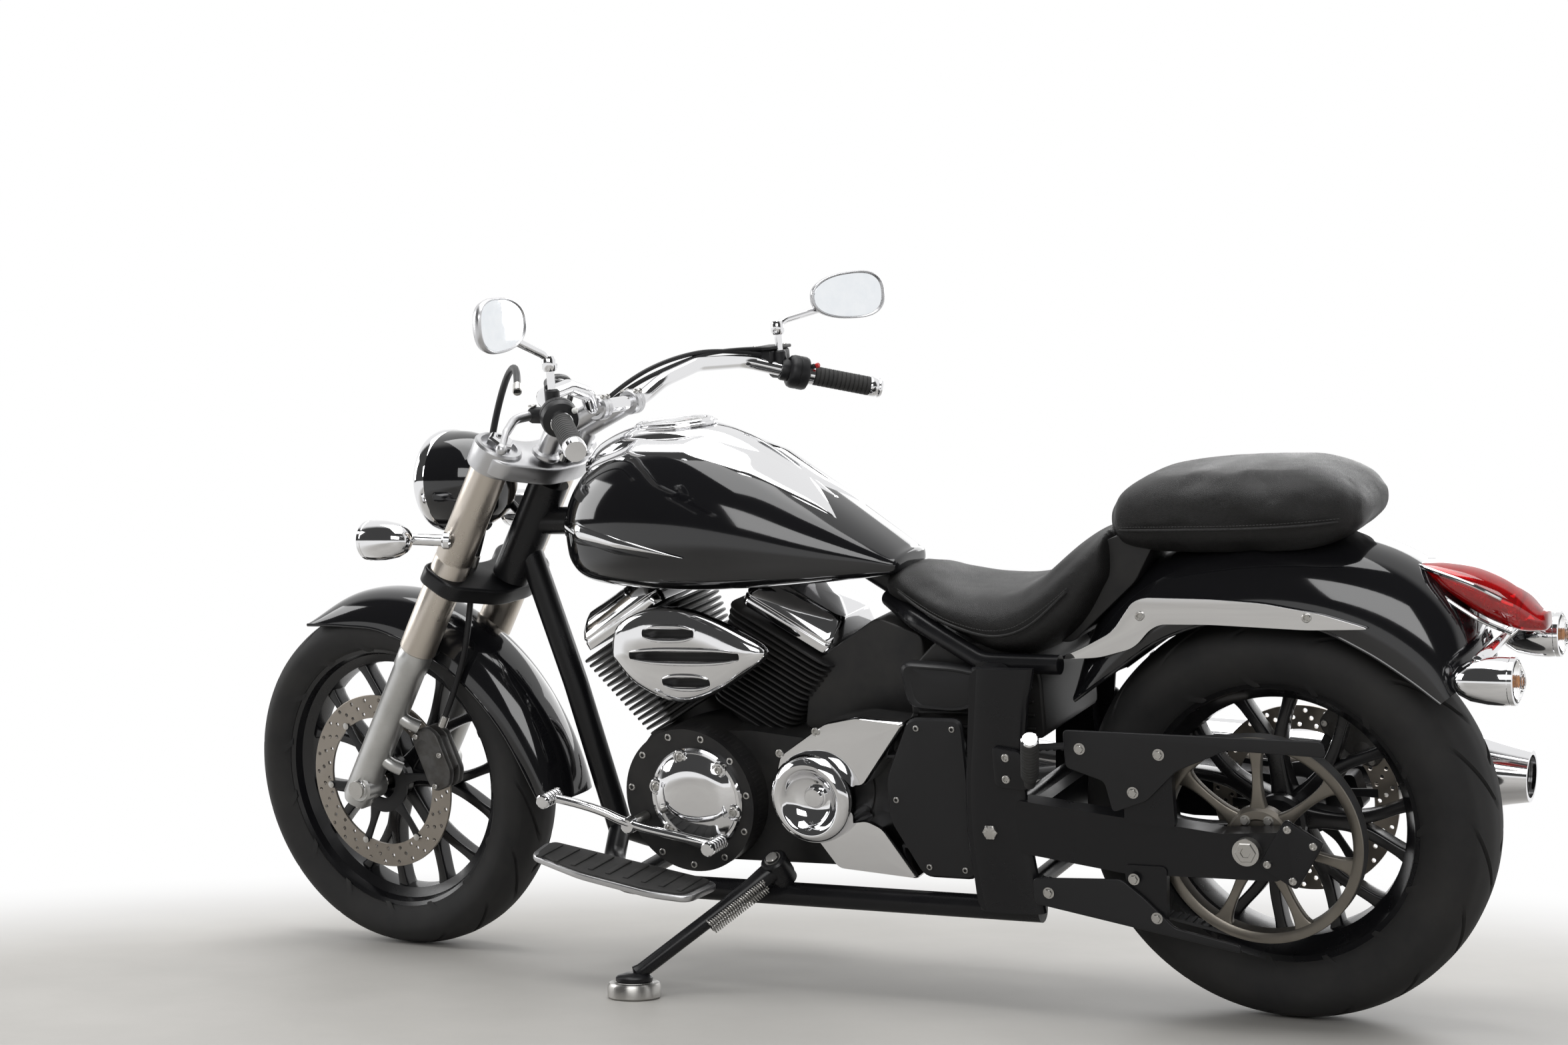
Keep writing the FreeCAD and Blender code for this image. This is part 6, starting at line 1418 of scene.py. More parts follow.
class CRUISER_OT_headlamp(bpy.types.Operator):
    """Black lamp bucket with a chrome ring, a clear lens and a reflector"""
    bl_idname = "cruiser.headlamp"
    bl_label = "Headlamp"

    def execute(self, context):
        place = moved(STEERED, on_fork(166, 0, 915))
        bucket = [(0, -93), (22, -92), (48, -86), (68, -70), (81, -46), (88, -16), (90, 10), (90, 20), (84, 20),
                  (84, 14), (0, 14)]
        ring = [(80, 16), (90, 16), (92, 19), (92, 32), (90, 38), (86, 42), (82, 43), (79.5, 40), (79.5, 18), (80, 16)]
        lens = [(0, 56.5), (26, 55.5), (50, 51.5), (68, 45.5), (80, 37), (80, 34.5), (67, 42.5), (50, 48), (0, 53)]
        mirror = [(79, 36), (74, 22), (62, 4), (44, -10), (22, -17), (0, -18), (0, -20), (46, -12), (66, 4), (80, 30),
                  (79, 36)]
        shield = [(0, 26), (13, 26), (14, 22), (14, -12), (12, -14), (0, -14)]
        parts = [turned_piece("lamp_" + key, profile, place, key, steps, "X") for key, profile, steps in (
            ("paint", bucket, 96), ("chrome", ring, 96), ("glass", lens, 96), ("mirror", mirror, 96),
            ("chrome", shield, 48))]
        for side in range(-64, 65, 16):
            high = sqrt(74 ** 2 - side ** 2)
            bulge = [(57 - 20 * ((side ** 2 + (high * k / 4) ** 2) / 80 ** 2) - 3.6, side, high * k / 4)
                     for k in range(-4, 5)]
            parts.append(tube("lens_rib", bulge, 1.0, place, "glass", 6, 3))
        assembled("headlamp_set", parts, "steering", "gloss_black", "headlamp")
        return {"FINISHED"}


class CRUISER_OT_front_fender(bpy.types.Operator):
    """Painted front fender with its rolled edge and mounting bosses"""
    bl_idname = "cruiser.front_fender"
    bl_label = "Front fender"

    def execute(self, context):
        parts = [fender_shell("front_fender_skin", FRONT_FENDER, 70, (WHEELBASE, FRONT_RADIUS), STEERED)]
        spots = []
        middle = on_fork(LEG_OFFSET, 0, 640)
        for side in (1, -1):
            spots += [(on_fork(LEG_OFFSET + 10, side * 73.6, 625 + step), (0, side, 0)) for step in (-24, 24)]
            parts.append(rod("fender_boss", middle + Vector((0, side * 71, 0)), middle + Vector((0, side * 79, 0)), 20,
                             STEERED, "paint", 2, 32))
        parts.append(screws("fender_screws", spots, STEERED, "chrome", 6.5, 3.6))
        assembled("front_fender_set", parts, "steering", "gloss_black", "front_fender")
        return {"FINISHED"}


class CRUISER_OT_front_indicators(bpy.types.Operator):
    """Chrome bullet indicators on stems from the fork"""
    bl_idname = "cruiser.front_indicators"
    bl_label = "Front indicators"

    def execute(self, context):
        lamps = []
        for side in (1, -1):
            root, head = on_fork(LEG_OFFSET, side * 136, 880), Vector((1490, side * 180, 787))
            lamps += bullet((1450, side * 200, 787), (1, 0, 0), 35, 106, STEERED)
            lamps += [rod("indicator_stem", root, head, 10, STEERED, "chrome", 2),
                      rod("stem_collar", root, root + (head - root).normalized() * 16, 15, STEERED, "chrome", 3, 32)]
        assembled("front_indicator_set", lamps, "steering", "chrome", "front_indicators")
        return {"FINISHED"}


# Bars and hand controls

class CRUISER_OT_handlebar(bpy.types.Operator):
    """The bent chrome bar on its two risers, with clamps and bolts"""
    bl_idname = "cruiser.handlebar"
    bl_label = "Handlebar"

    def execute(self, context):
        line = [mirrored(p, -1) for p in BAR[:0:-1]] + BAR
        clamp = even([(12.8, -13), (19, -13), (21.5, -10), (21.5, -1), (20.4, 0)])
        parts = [pipe("bar_tube", line, 12.7, STEERED, "chrome", 60, 32)]
        spots = []
        for side in (1, -1):
            foot, elbow = on_fork(0, side * 48, 1072), on_fork(0, side * 48, 1118)
            head = Vector((1136, side * 48, 992))
            parts += [rod("riser_foot", foot, foot + (elbow - foot) * 0.3, 25, STEERED, "silver", 4, 40),
                      pipe("riser", [foot, elbow, head], 17, STEERED, "silver", 24, 32),
                      turned_piece("bar_clamp", clamp, moved(STEERED, head), "silver", 56)]
            spots += [(head + Vector((way * 13, step, 17)), (way * 0.6, 0, 0.8)) for step in (-7, 7) for way in (-1, 1)]
        parts.append(screws("clamp_screws", spots, STEERED, "steel", 4.6, 4))
        assembled("handlebar_set", parts, "steering", "chrome", "handlebar")
        return {"FINISHED"}


def bar_end(side):
    """The end of the handlebar on one side, and the way it points."""
    end = mirrored(BAR[-1], side)
    return end, (end - mirrored(BAR[-2], side)).normalized()


class CRUISER_OT_grips(bpy.types.Operator):
    """Ribbed rubber grips between chrome collars"""
    bl_idname = "cruiser.grips"
    bl_label = "Grips"

    def execute(self, context):
        sleeve = [(13.2, 10)]
        for low in range(11, 115, 8):
            sleeve += [(15.6, low), (17.2, low + 0.9), (17.2, low + 6.4), (15.6, low + 7.2)]
        sleeve += [(13.2, 116), (13.2, 10)]
        collar = [(13, 0), (17, 0), (18, 1), (18, 9), (17, 10), (13, 10), (13, 0)]
        cap = [(0, 115), (17, 115), (18, 117), (18, 127), (16.6, 129), (16.6, 131), (18, 133), (16.5, 137), (0, 137.7)]
        for side, word in SIDES:
            end, way = bar_end(side)
            parts = [spun("grip", end - way * 125, end, profile, STEERED, key, 56)
                     for profile, key in ((sleeve, "rubber"), (collar, "chrome"), (cap, "chrome"))]
            assembled("grip_" + word, parts, "steering", "grip_rubber", "grips")
        return {"FINISHED"}


class CRUISER_OT_hand_controls(bpy.types.Operator):
    """Switch boxes, perches, levers with their balls, and the fluid reservoir"""
    bl_idname = "cruiser.hand_controls"
    bl_label = "Hand controls"

    def execute(self, context):
        box = [(0, 0), (24, 0), (28, 3), (30, 9), (30, 17.6), (29, 18.6), (29, 19.4), (30, 20.4), (30, 30), (28, 35),
               (22, 38), (0, 38)]
        perch = [(0, 0), (17, 0), (18, 4), (15, 14), (13, 30), (13, 46), (11, 50), (0, 50)]
        clamp = even([(12.8, -12), (18, -12), (19.5, -9)])
        ball = [(0, -9), (4, -8), (7.5, -5), (9, 0), (7.5, 5), (4, 8), (0, 9)]
        for side, word in SIDES:
            end, way = bar_end(side)
            inner = end - way * 125.3
            box_end = inner - way * 38
            foot = box_end + way * 12
            forward = Vector((0.8, side * 0.1, 0.05))
            pivot = foot + forward * 56
            parts = [spun("switch_box", box_end, inner, box, STEERED, "plastic", 48)]
            for step, key in ((-9, "plastic"), (3, "plastic"), (11, "red" if side < 0 else "white")):
                face = box_end + way * (19 + step) + Vector((-26, 0, 8 + step * 0.4))
                parts.append(rod("switch_button", face, face + Vector((-8, 0, 2)), 4.6, STEERED, key, 1.4, 20))
            line = [pivot] + [pivot + Vector(p) for p in ((6, side * 40, -2), (-30, side * 110, -16),
                                                          (-70, side * 175, -34))]
            at_clamp = STEERED @ along_line(foot - way * 20, foot) @ Matrix.Translation((0, 0, 6))
            parts += [spun("perch", foot, foot + forward * 62, perch, STEERED, "plastic", 40),
                      turned_piece("perch_clamp", clamp, at_clamp, "plastic", 40, "Z"),
                      screws("pivot_screw", [(pivot + Vector((0, 0, 13)), (0, 0, 1))], STEERED, "steel", 7, 3),
                      tube("lever", bent(line, 60), 7.2, STEERED, "silver", 20, 1, lambda t: 1.1 - 0.35 * t),
                      spun("lever_ball", line[-1], line[-1] + way * 9, ball, STEERED, "silver", 28)]
            if side < 0:
                low = pivot + Vector((-22, -24, 14))
                spots = [(low + Vector((x, y, 32)), (0, 0, 1)) for x, y in ((6, 8), (38, 58))]
                parts += [box_piece("reservoir", low, low + Vector((44, 66, 26)), STEERED, "plastic", 5),
                          box_piece("reservoir_lid", low + Vector((-2, -2, 26)), low + Vector((46, 68, 32)), STEERED,
                                    "plastic", 2),
                          rod("sight_glass", low + Vector((-1, 33, 13)), low + Vector((-3, 33, 13)), 8, STEERED,
                              "glass", 0.6),
                          screws("lid_screws", spots, STEERED, "steel", 4, 2)]
            assembled("hand_control_" + word, parts, "steering", "controls_black", "hand_controls")
        return {"FINISHED"}


class CRUISER_OT_mirrors(bpy.types.Operator):
    """Mirror stems, rounded heads and their glass"""
    bl_idname = "cruiser.mirrors"
    bl_label = "Mirrors"

    def execute(self, context):
        for side, word, centre, degrees in ((1, "left", (1014, 450, 1160), 8), (-1, "right", (930, -452, 1136), -40)):
            foot = Vector((1012, side * 338, 1024))
            top = foot + Vector((0, 0, 76))
            head = Matrix.Translation(centre) @ Matrix.Rotation(radians(degrees), 4, "Z")
            knuckle = [(0, -12), (9, -12), (12, -7), (12, 7), (9, 12), (0, 12)]
            shell = [self.ring(side, depth, grow) for depth, grow in (
                (17, 0.5), (15, 0.78), (9, 0.93), (1, 1.0), (-4, 1.0), (-6.5, 0.975), (-7, 0.95), (-4, 0.9))]
            glass = [self.ring(side, -3.6, 0.92), self.ring(side, -4.6, 0.9)]
            assembled("mirror_" + word, [
                rod("mirror_foot", foot, foot + Vector((0, 0, 26)), 12, STEERED, "plastic", 3, 32),
                pipe("mirror_stem", [foot, top, head @ Vector((15, -side * 34, -18))], 6.5, STEERED, "chrome", 26, 20),
                spun("mirror_knuckle", top - Vector((0, 0, 10)), top, knuckle, STEERED, "chrome", 32),
                new_piece("mirror_shell", skin(shell), STEERED @ head, "silver"),
                new_piece("mirror_glass", skin(glass), STEERED @ head, "mirror")], "steering", "chrome", "mirrors")
        return {"FINISHED"}

    def ring(self, side, depth, grow):
        """The rounded outline of a mirror head, fuller on its outer end."""
        return [Vector((depth, side * 71 * grow * raised(a, 0.8), 42 * grow * (1 + 0.16 * a) * raised(b, 0.8)))
                for a, b in circle(64)]


class CRUISER_OT_cables(bpy.types.Operator):
    """The brake hose, the cable that loops ahead of the bars and the cables from the grips"""
    bl_idname = "cruiser.cables"
    bl_label = "Cables"

    def execute(self, context):
        hose = [(1436, 62, 700), (1432, 84, 620), (1470, 82, 520), (1520, 82, 432)]
        loop = [(1148, 252, 1040), (1205, 170, 1085), (1300, 90, 1050), (1385, 46, 920), (1400, 42, 810),
                (1447, 42, 715)]
        parts = [cable("brake_hose", hose, 5.5, STEERED, "plastic"), cable("looped_cable", loop, 6, STEERED, "plastic")]
        for side in (1, -1):
            for lift in (0, 13):
                run = [(1020, side * 338, 1040 + lift), (1086, side * 262, 1062), (1116, side * 160, 1058 - lift),
                       (1160, side * 84, 1030 - lift), (1236, side * (30 + lift), 960), (1290, side * (24 + lift), 880)]
                parts.append(cable("bar_cable", run, 4, STEERED, "plastic"))
        for a, b in (hose[:2], hose[:-3:-1], loop[:2], loop[:-3:-1]):
            end = Vector(a) + (Vector(b) - Vector(a)).normalized() * 24
            parts.append(rod("hose_end", a, end, 7.5, STEERED, "steel", 1.5))
        assembled("steering_cable_set", parts, "steering", "cable_black", "steering_cables")
        return {"FINISHED"}


def caliper_body(name, place, radius, side, far, depth):
    """A caliper astride a disc: two halves with piston bosses, a bridge and screws."""
    parts = []
    low, high, half_width, back = radius - depth * 0.31, radius + depth * 0.69, 21, far / 2
    outline = [(-back, low + 10), (-back + 14, low), (back - 14, low), (back, low + 10), (back, high - 16),
               (back - 22, high), (-back + 22, high), (-back, high - 16)]
    for sign in (1, -1):
        inner, outer = side + sign * 7.6, side + sign * half_width
        parts.append(plate(name + "_half", outline, min(inner, outer), abs(outer - inner), place, "caliper",
                           3, "Y", 3, 9))
        cup = [(0, outer + sign * 0.8), (13, outer + sign * 0.8), (16.5, outer - sign * 1.4), (0, outer - sign * 1.4)]
        for along in (-24, 24):
            parts.append(turned_piece(name + "_cup", cup, moved(place, (along, 0, radius)), "caliper", 40))
    bridge = [(-34, high - 14), (34, high - 14), (30, high), (-30, high)]
    parts.append(plate(name + "_bridge", bridge, side - 8, 16, place, "caliper", 2, corner=4))
    spots = [((x, side + half_width, z), (0, 1, 0)) for x, z in ((-back + 10, low + 14), (back - 10, low + 14),
                                                                 (0, high - 8))]
    return parts + [screws(name + "_screws", spots, place, "steel", 5.5, 4)]


class CRUISER_OT_calipers(bpy.types.Operator):
    """Both brake calipers, and the rear one's carrier"""
    bl_idname = "cruiser.calipers"
    bl_label = "Calipers"

    def execute(self, context):
        front = caliper_body("front_caliper", moved(STEERED, (WHEELBASE, 0, FRONT_RADIUS), -69), 139, 68, 116, 58)
        assembled("front_caliper_set", front, "steering", "caliper_silver", "front_caliper")
        place = moved(REAR_HUB, (0, 0, 0), -40)
        outline = [(-30, -8), (-20, -30), (20, -30), (30, -8), (22, 110), (-22, 110)]
        ring = even([(21, -101), (33, -101), (34, -99)], -95)
        assembled("rear_caliper_set", caliper_body("rear_caliper", place, 130, -80, 112, 56) + [
            plate("caliper_carrier", outline, -101, 11, place, "caliper", 2, corner=14),
            turned_piece("carrier_ring", ring, place, "steel", 48)], "chassis", "caliper_silver", "rear_caliper")
        return {"FINISHED"}


# Engine covers

def dished(name, outline, levels, place=None, key=None, middle=None):
    """A cover that swells from its outline: levels give the share of the outline and the place across."""
    mx, mz = middle or (sum(p[0] for p in outline) / len(outline), sum(p[1] for p in outline) / len(outline))
    rings = [[Vector((mx + (x - mx) * share, across, mz + (z - mz) * share)) for x, z in outline]
             for share, across in levels]
    return new_piece(name, skin(rings), place, key, sharp=radians(28))


def flat_spots(across, *spots):
    """Places on a left-hand face."""
    return [((x, across, z), (0, 1, 0)) for x, z in spots]


class CRUISER_OT_crankcase(bpy.types.Operator):
    """Round case ring with its screws, and the clutch cover"""
    bl_idname = "cruiser.crankcase"
    bl_label = "Crankcase"

    def execute(self, context):
        ring = [(0, 118), (120, 118), (122, 120), (122, 150), (118, 160), (112, 166.5), (104, 166.5), (101, 163),
                (99, 158), (0, 158)]
        clutch = [(0, -116), (108, -116), (110, -118), (110, -138), (104, -148), (86, -153), (84, -151), (60, -153),
                  (0, -155)]
        left, right = moved(BIKE, (973, 0, 346)), moved(BIKE, (905, 0, 346))
        assembled("crankcase_trim", [
            turned_piece("case_ring", ring, left, "engine", 96),
            screws("case_screws", round_spots(11, 111, 165, 0.3), left, "steel", 6, 4),
            turned_piece("clutch_cover", clutch, right, "chrome", 96),
            screws("clutch_screws", round_spots(9, 96, -150.5, 0, -1), right, "steel", 5.5, 3.5)],
            "chassis", "engine_black")
        return {"FINISHED"}


CYLINDERS = [moved(BIKE, (965, 0, 350), degrees) for degrees in (30, -30)]


class CRUISER_OT_cylinders(bpy.types.Operator):
    """Both barrels with their rounded cooling fins"""
    bl_idname = "cruiser.cylinders"
    bl_label = "Cylinders"

    def execute(self, context):
        core = [(0, 90), (58, 90), (60, 96), (60, 306), (0, 311)]
        pieces = []
        for place in CYLINDERS:
            pieces.append(turned_piece("barrel", core, place, "engine", 56, "Z"))
            for index in range(16):
                far, wide = 78 + 30 * index / 15, 83 + 13 * index / 15
                line = [(-far, -wide), (far, -wide), (far, wide), (-far, wide)]
                pieces.append(plate("fin", line, 133 + 11 * index, 4, place, "engine", 1.2, "Z", 2, 34, 6))
        assembled("cylinder_set", pieces, "chassis", "engine_black", "cylinders")
        return {"FINISHED"}


class CRUISER_OT_rocker_covers(bpy.types.Operator):
    """Faceted chrome rocker covers with ribbed edges and bolts"""
    bl_idname = "cruiser.rocker_covers"
    bl_label = "Rocker covers"

    def execute(self, context):
        rings = []
        for along, across, up in ((1.0, 1.0, 312), (1.0, 1.0, 326), (0.985, 0.975, 328), (0.985, 0.975, 331),
                                  (1.0, 0.99, 333), (0.97, 0.9, 346), (0.86, 0.72, 363), (0.8, 0.62, 370)):
            half, wide = 92.9 * along, 84.5 * across
            corner = [(-half, -wide * 0.8), (-half * 0.86, -wide), (half * 0.86, -wide), (half, -wide * 0.8),
                      (half, wide * 0.8), (half * 0.86, wide), (-half * 0.86, wide), (-half, wide * 0.8)]
            rings.append([Vector((x, y, up)) for x, y in rounded_outline(corner, 7, 3)])
        spots = [((x * 68.4, y * 54, 358), (x * 72 / 140, y * 0.4, 1)) for x in (-1, 1) for y in (-1, 1)]
        parts = []
        for place in CYLINDERS:
            cover = soften(new_piece("rocker_cover", skin(rings), smooth=False), 1.6, 2, 18)
            parts += [settled(cover, place, "chrome"), screws("rocker_screws", spots, place, "steel", 6, 4)]
        assembled("rocker_cover_set", parts, "chassis", "chrome", "rocker_covers")
        return {"FINISHED"}


class CRUISER_OT_generator_cover(bpy.types.Operator):
    """Domed chrome cover held by six notched screws"""
    bl_idname = "cruiser.generator_cover"
    bl_label = "Generator cover"

    def execute(self, context):
        place = moved(BIKE, (955, 0, 352))
        dome = [(0, 165), (84, 165), (86, 167), (86, 173), (83, 177), (79, 178), (77, 176.5), (74, 178), (66, 184),
                (50, 189.5), (28, 192.4), (0, 193)]
        seat = [(0, 172), (12, 172), (13, 175), (13, 181), (11.5, 182.5), (9, 182.5), (8.4, 180), (0, 180)]
        spots = round_spots(6, 74, 180, 0.25)
        parts = [turned_piece("generator_dome", dome, place, "chrome", 112),
                 screws("notched_screws", spots, place, "steel", 7, 3.6)]
        for (x, _, z), _ in spots:
            parts.append(turned_piece("screw_seat", seat, moved(place, (x, 0, z)), "chrome", 36))
        assembled("generator_cover_set", parts, "chassis", "chrome", "generator_cover")
        return {"FINISHED"}


class CRUISER_OT_slotted_cover(bpy.types.Operator):
    """Chrome cover between the cylinders, with three dark slots"""
    bl_idname = "cruiser.slotted_cover"
    bl_label = "Slotted cover"

    def execute(self, context):
        points = [(1104, 588), (1086, 640), (1020, 668), (940, 664), (860, 632), (808, 596), (850, 560), (920, 522),
                  (985, 510), (1060, 540)]
        outline = [(row[0], row[1]) for row in spread(points + points[:1], 61)[:-1]]
        levels = [(0.97, 138), (1.0, 141), (1.0, 150), (0.985, 155), (0.95, 159), (0.88, 163), (0.76, 166.4),
                  (0.58, 169), (0.36, 170.4), (0.15, 170.8)]
        cover = dished("slotted_shell", outline, levels, middle=(965, 590))
        parts = []
        for up, rear, front in ((630, 930, 1030), (592, 850, 1060), (548, 910, 1000)):
            cover = cut(cover, plate("slot", self.box(up, rear, front, 0), 148, 34, edge=0.5, corner=7.9))
            parts.append(plate("slot_floor", self.box(up, rear, front, 3), 147.5, 2, BIKE, "engine", 0.5, corner=10))
            for lift in (-12, 12):
                lip = [(rear + 2 + (front - rear - 4) * k / 8, self.crown(rear + (front - rear) * k / 8, up + lift),
                        up + lift * (1 - 0.5 * abs(k - 4) ** 3 / 64)) for k in range(9)]
                parts.append(tube("slot_lip", lip, 4, BIKE, "chrome", 14, 3,
                                  lambda t: 0.25 + 0.75 * sin(pi * t) ** 0.5))
        parts.append(settled(cover, BIKE, "chrome"))
        assembled("slotted_cover_set", parts, "chassis", "chrome", "slotted_cover")
        return {"FINISHED"}

    def box(self, up, rear, front, room):
        """The outline of a slot with some room round it."""
        low, high = up - 8 - room, up + 8 + room
        return [(rear - room, low), (front + room, low), (front + room, high), (rear - room, high)]

    def crown(self, x, z):
        """How far out the domed cover stands at a place, less a little so that a lip sinks in."""
        return 170 - 13 * hypot((x - 965) / 160, (z - 590) / 82) ** 3


class CRUISER_OT_pulley_cover(bpy.types.Operator):
    """Dished chrome pulley cover and the two bright plates that sweep back from it"""
    bl_idname = "cruiser.pulley_cover"
    bl_label = "Pulley cover"

    def execute(self, context):
        bulb = [(0, 116), (73, 116), (75, 118), (75, 180), (74.6, 189), (72, 198), (67, 206), (60, 210.5), (54, 210),
                (49, 206), (45, 199), (38, 191), (28, 185), (19, 183), (17, 184), (16.6, 188), (14, 190.4), (6, 191.4),
                (0, 191.6)]
        parts = [turned_piece("pulley_bulb", bulb, moved(BIKE, (726, 0, 367)), "chrome", 112),
                 screws("sweep_screws", flat_spots(176.6, (786, 436), (716, 474)), BIKE, "steel", 7, 3.6)]
        levels = [(0.99, 115), (1.0, 117), (1.0, 168), (0.985, 173), (0.95, 176.6), (0.7, 177.6), (0.3, 178)]
        for line in ([(800, 400), (790, 430), (700, 488), (640, 500), (556, 492), (640, 385), (700, 385)],
                     [(700, 320), (640, 330), (612, 318), (556, 236), (700, 246), (740, 300)]):
            parts.append(dished("sweep", rounded_outline(line, 9, 4), levels, BIKE, "chrome"))
        assembled("pulley_cover_set", parts, "chassis", "chrome", "pulley_cover")
        return {"FINISHED"}


class CRUISER_OT_side_covers(bpy.types.Operator):
    """Gearbox plate and the bare oval side covers"""
    bl_idname = "cruiser.side_covers"
    bl_label = "Side covers"

    def execute(self, context):
        gear = [(552, 500), (460, 500), (456, 240), (548, 240), (600, 330), (600, 400)]
        levels = [(0.99, 163), (1.0, 165), (1.0, 170), (0.97, 173.6), (0.9, 175), (0.4, 175.4)]
        spots = flat_spots(174.6, (476, 484), (538, 484), (474, 256), (536, 258), (584, 366))
        parts = [dished("gear_plate", rounded_outline(gear, 16, 4), levels, BIKE, "plastic"),
                 screws("gear_screws", spots, BIKE, "steel", 5, 3)]
        oval = [(572, 585), (560, 510), (470, 505), (418, 520), (418, 570), (470, 580)]
        levels = [(0.98, 129.7), (1.0, 133), (1.0, 146), (0.97, 153), (0.9, 157.4), (0.82, 157), (0.78, 155.6),
                  (0.5, 157.6), (0.2, 158.6)]
        for side in (1, -1):
            parts.append(dished("oval_cover", rounded_outline(oval, 22, 5),
                                [(share, side * across) for share, across in levels], BIKE, "plastic"))
        assembled("side_cover_set", parts, "chassis", "satin_black", "side_covers")
        return {"FINISHED"}


# Exhaust, belt and what bolts to the frame

class CRUISER_OT_exhaust(bpy.types.Operator):
    """Chrome pipes with their flanges and clamps, and the muffler with its faceted tip"""
    bl_idname = "cruiser.exhaust"
    bl_label = "Exhaust"

    def execute(self, context):
        parts = []
        for line, radius in (([(1120, -96, 560), (1180, -160, 520), (1160, -200, 390), (1060, -216, 300),
                               (700, -220, 268), (340, -226, 325)], 24),
                             ([(770, -96, 540), (720, -170, 520), (680, -200, 420), (560, -222, 340),
                               (352, -226, 325)], 21.6)):
            parts.append(cable("exhaust_pipe", line, radius, BIKE, "chrome"))
            flange = [(0, 0), (radius + 13, 0), (radius + 14, 2), (radius + 14, 7), (radius + 6, 10), (radius + 3, 16),
                      (0, 16)]
            parts.append(spun("pipe_flange", line[0], line[1], flange, BIKE, "steel", 56))
        axis = moved(BIKE, (0, -226, 344), -3)
        body = [(0, 322), (28, 326), (31, 320), (34.7, 300), (44, 270), (53.8, 240), (55.4, 200), (56, 150), (56, 60),
                (55.2, 58.5), (55.2, 55.5), (56, 54), (56, -250), (54.8, -254), (52.6, -262), (46, -290), (40.3, -318),
                (37, -318.6), (33.6, -318), (33.6, -250), (0, -250)]
        throat = [(0, -252), (32.4, -252), (32.4, -309), (20, -309), (20, -256), (0, -256)]
        parts += [turned_piece("muffler_shell", body, axis, "chrome", 112, "X"),
                  turned_piece("muffler_throat", throat, axis, "engine", 56, "X")]
        for at_x, radius in ((300, 36.4), (214, 55.6)):
            band = [(radius, -9), (radius + 2.2, -8), (radius + 2.2, 8), (radius, 9), (radius - 2, 0), (radius, -9)]
            parts += [turned_piece("muffler_band", band, moved(axis, (at_x, 0, 0)), "steel", 96, "X"),
                      box_piece("band_ear", (at_x - 8, radius - 1, -9), (at_x + 8, radius + 9, 9), axis, "steel", 2)]
        assembled("exhaust_set", parts, "chassis", "chrome", "exhaust_pipes", "muffler")
        return {"FINISHED"}


class CRUISER_OT_guards(bpy.types.Operator):
    """Belt guards, the square axle plate and the swingarm's bolts"""
    bl_idname = "cruiser.guards"
    bl_label = "Guards and axle plate"

    def execute(self, context):
        upper = [(276, 498), (-125, 492), (-128, 468), (20, 474), (100, 440), (150, 392), (205, 372),
                 (215, 420), (276, 440)]
        lower = [(345, 221), (20, 164), (20, 176), (120, 196), (165, 240), (200, 268), (345, 262)]
        spots = flat_spots(210.1, (125, 465), (170, 405), (179, 270), (147, 211), (250, 470), (320, 240))
        assembled("belt_guard_set", [
            plate("guard", line, 204.3, 6, BIKE, "plastic", 1.8, "Y", 3, 8, 4) for line in (upper, lower)]
            + [screws("guard_bolts", spots, BIKE, form=nut_form(6.4, 5, 9))], "chassis", "guard_black", "belt_guards")
        turn = moved(BIKE, (-66, 0, 320), -32)
        square = [(-33, -43), (33, -43), (33, 43), (-33, 43)]
        nut = [(0, 201), (20, 201), (20, 204), (17, 205), (17, 215), (15, 217), (8, 217), (7, 215), (0, 215)]
        corners = flat_spots(209.5, *[(x, z) for x in (-22, 22) for z in (-32, 32)])
        assembled("axle_plate_set", [
            plate("axle_plate", square, 200.6, 9, turn, "enamel", 2.5, corner=8, arcs=4),
            screws("plate_screws", corners, turn, "steel", 6, 4),
            turned_piece("axle_nut", nut, REAR_HUB, "steel", 6, "Y", 0.5),
            screws("pivot_nut", flat_spots(201, (412, 330)), BIKE, form=nut_form(12, 7, 16))], "chassis", "steel")
        return {"FINISHED"}


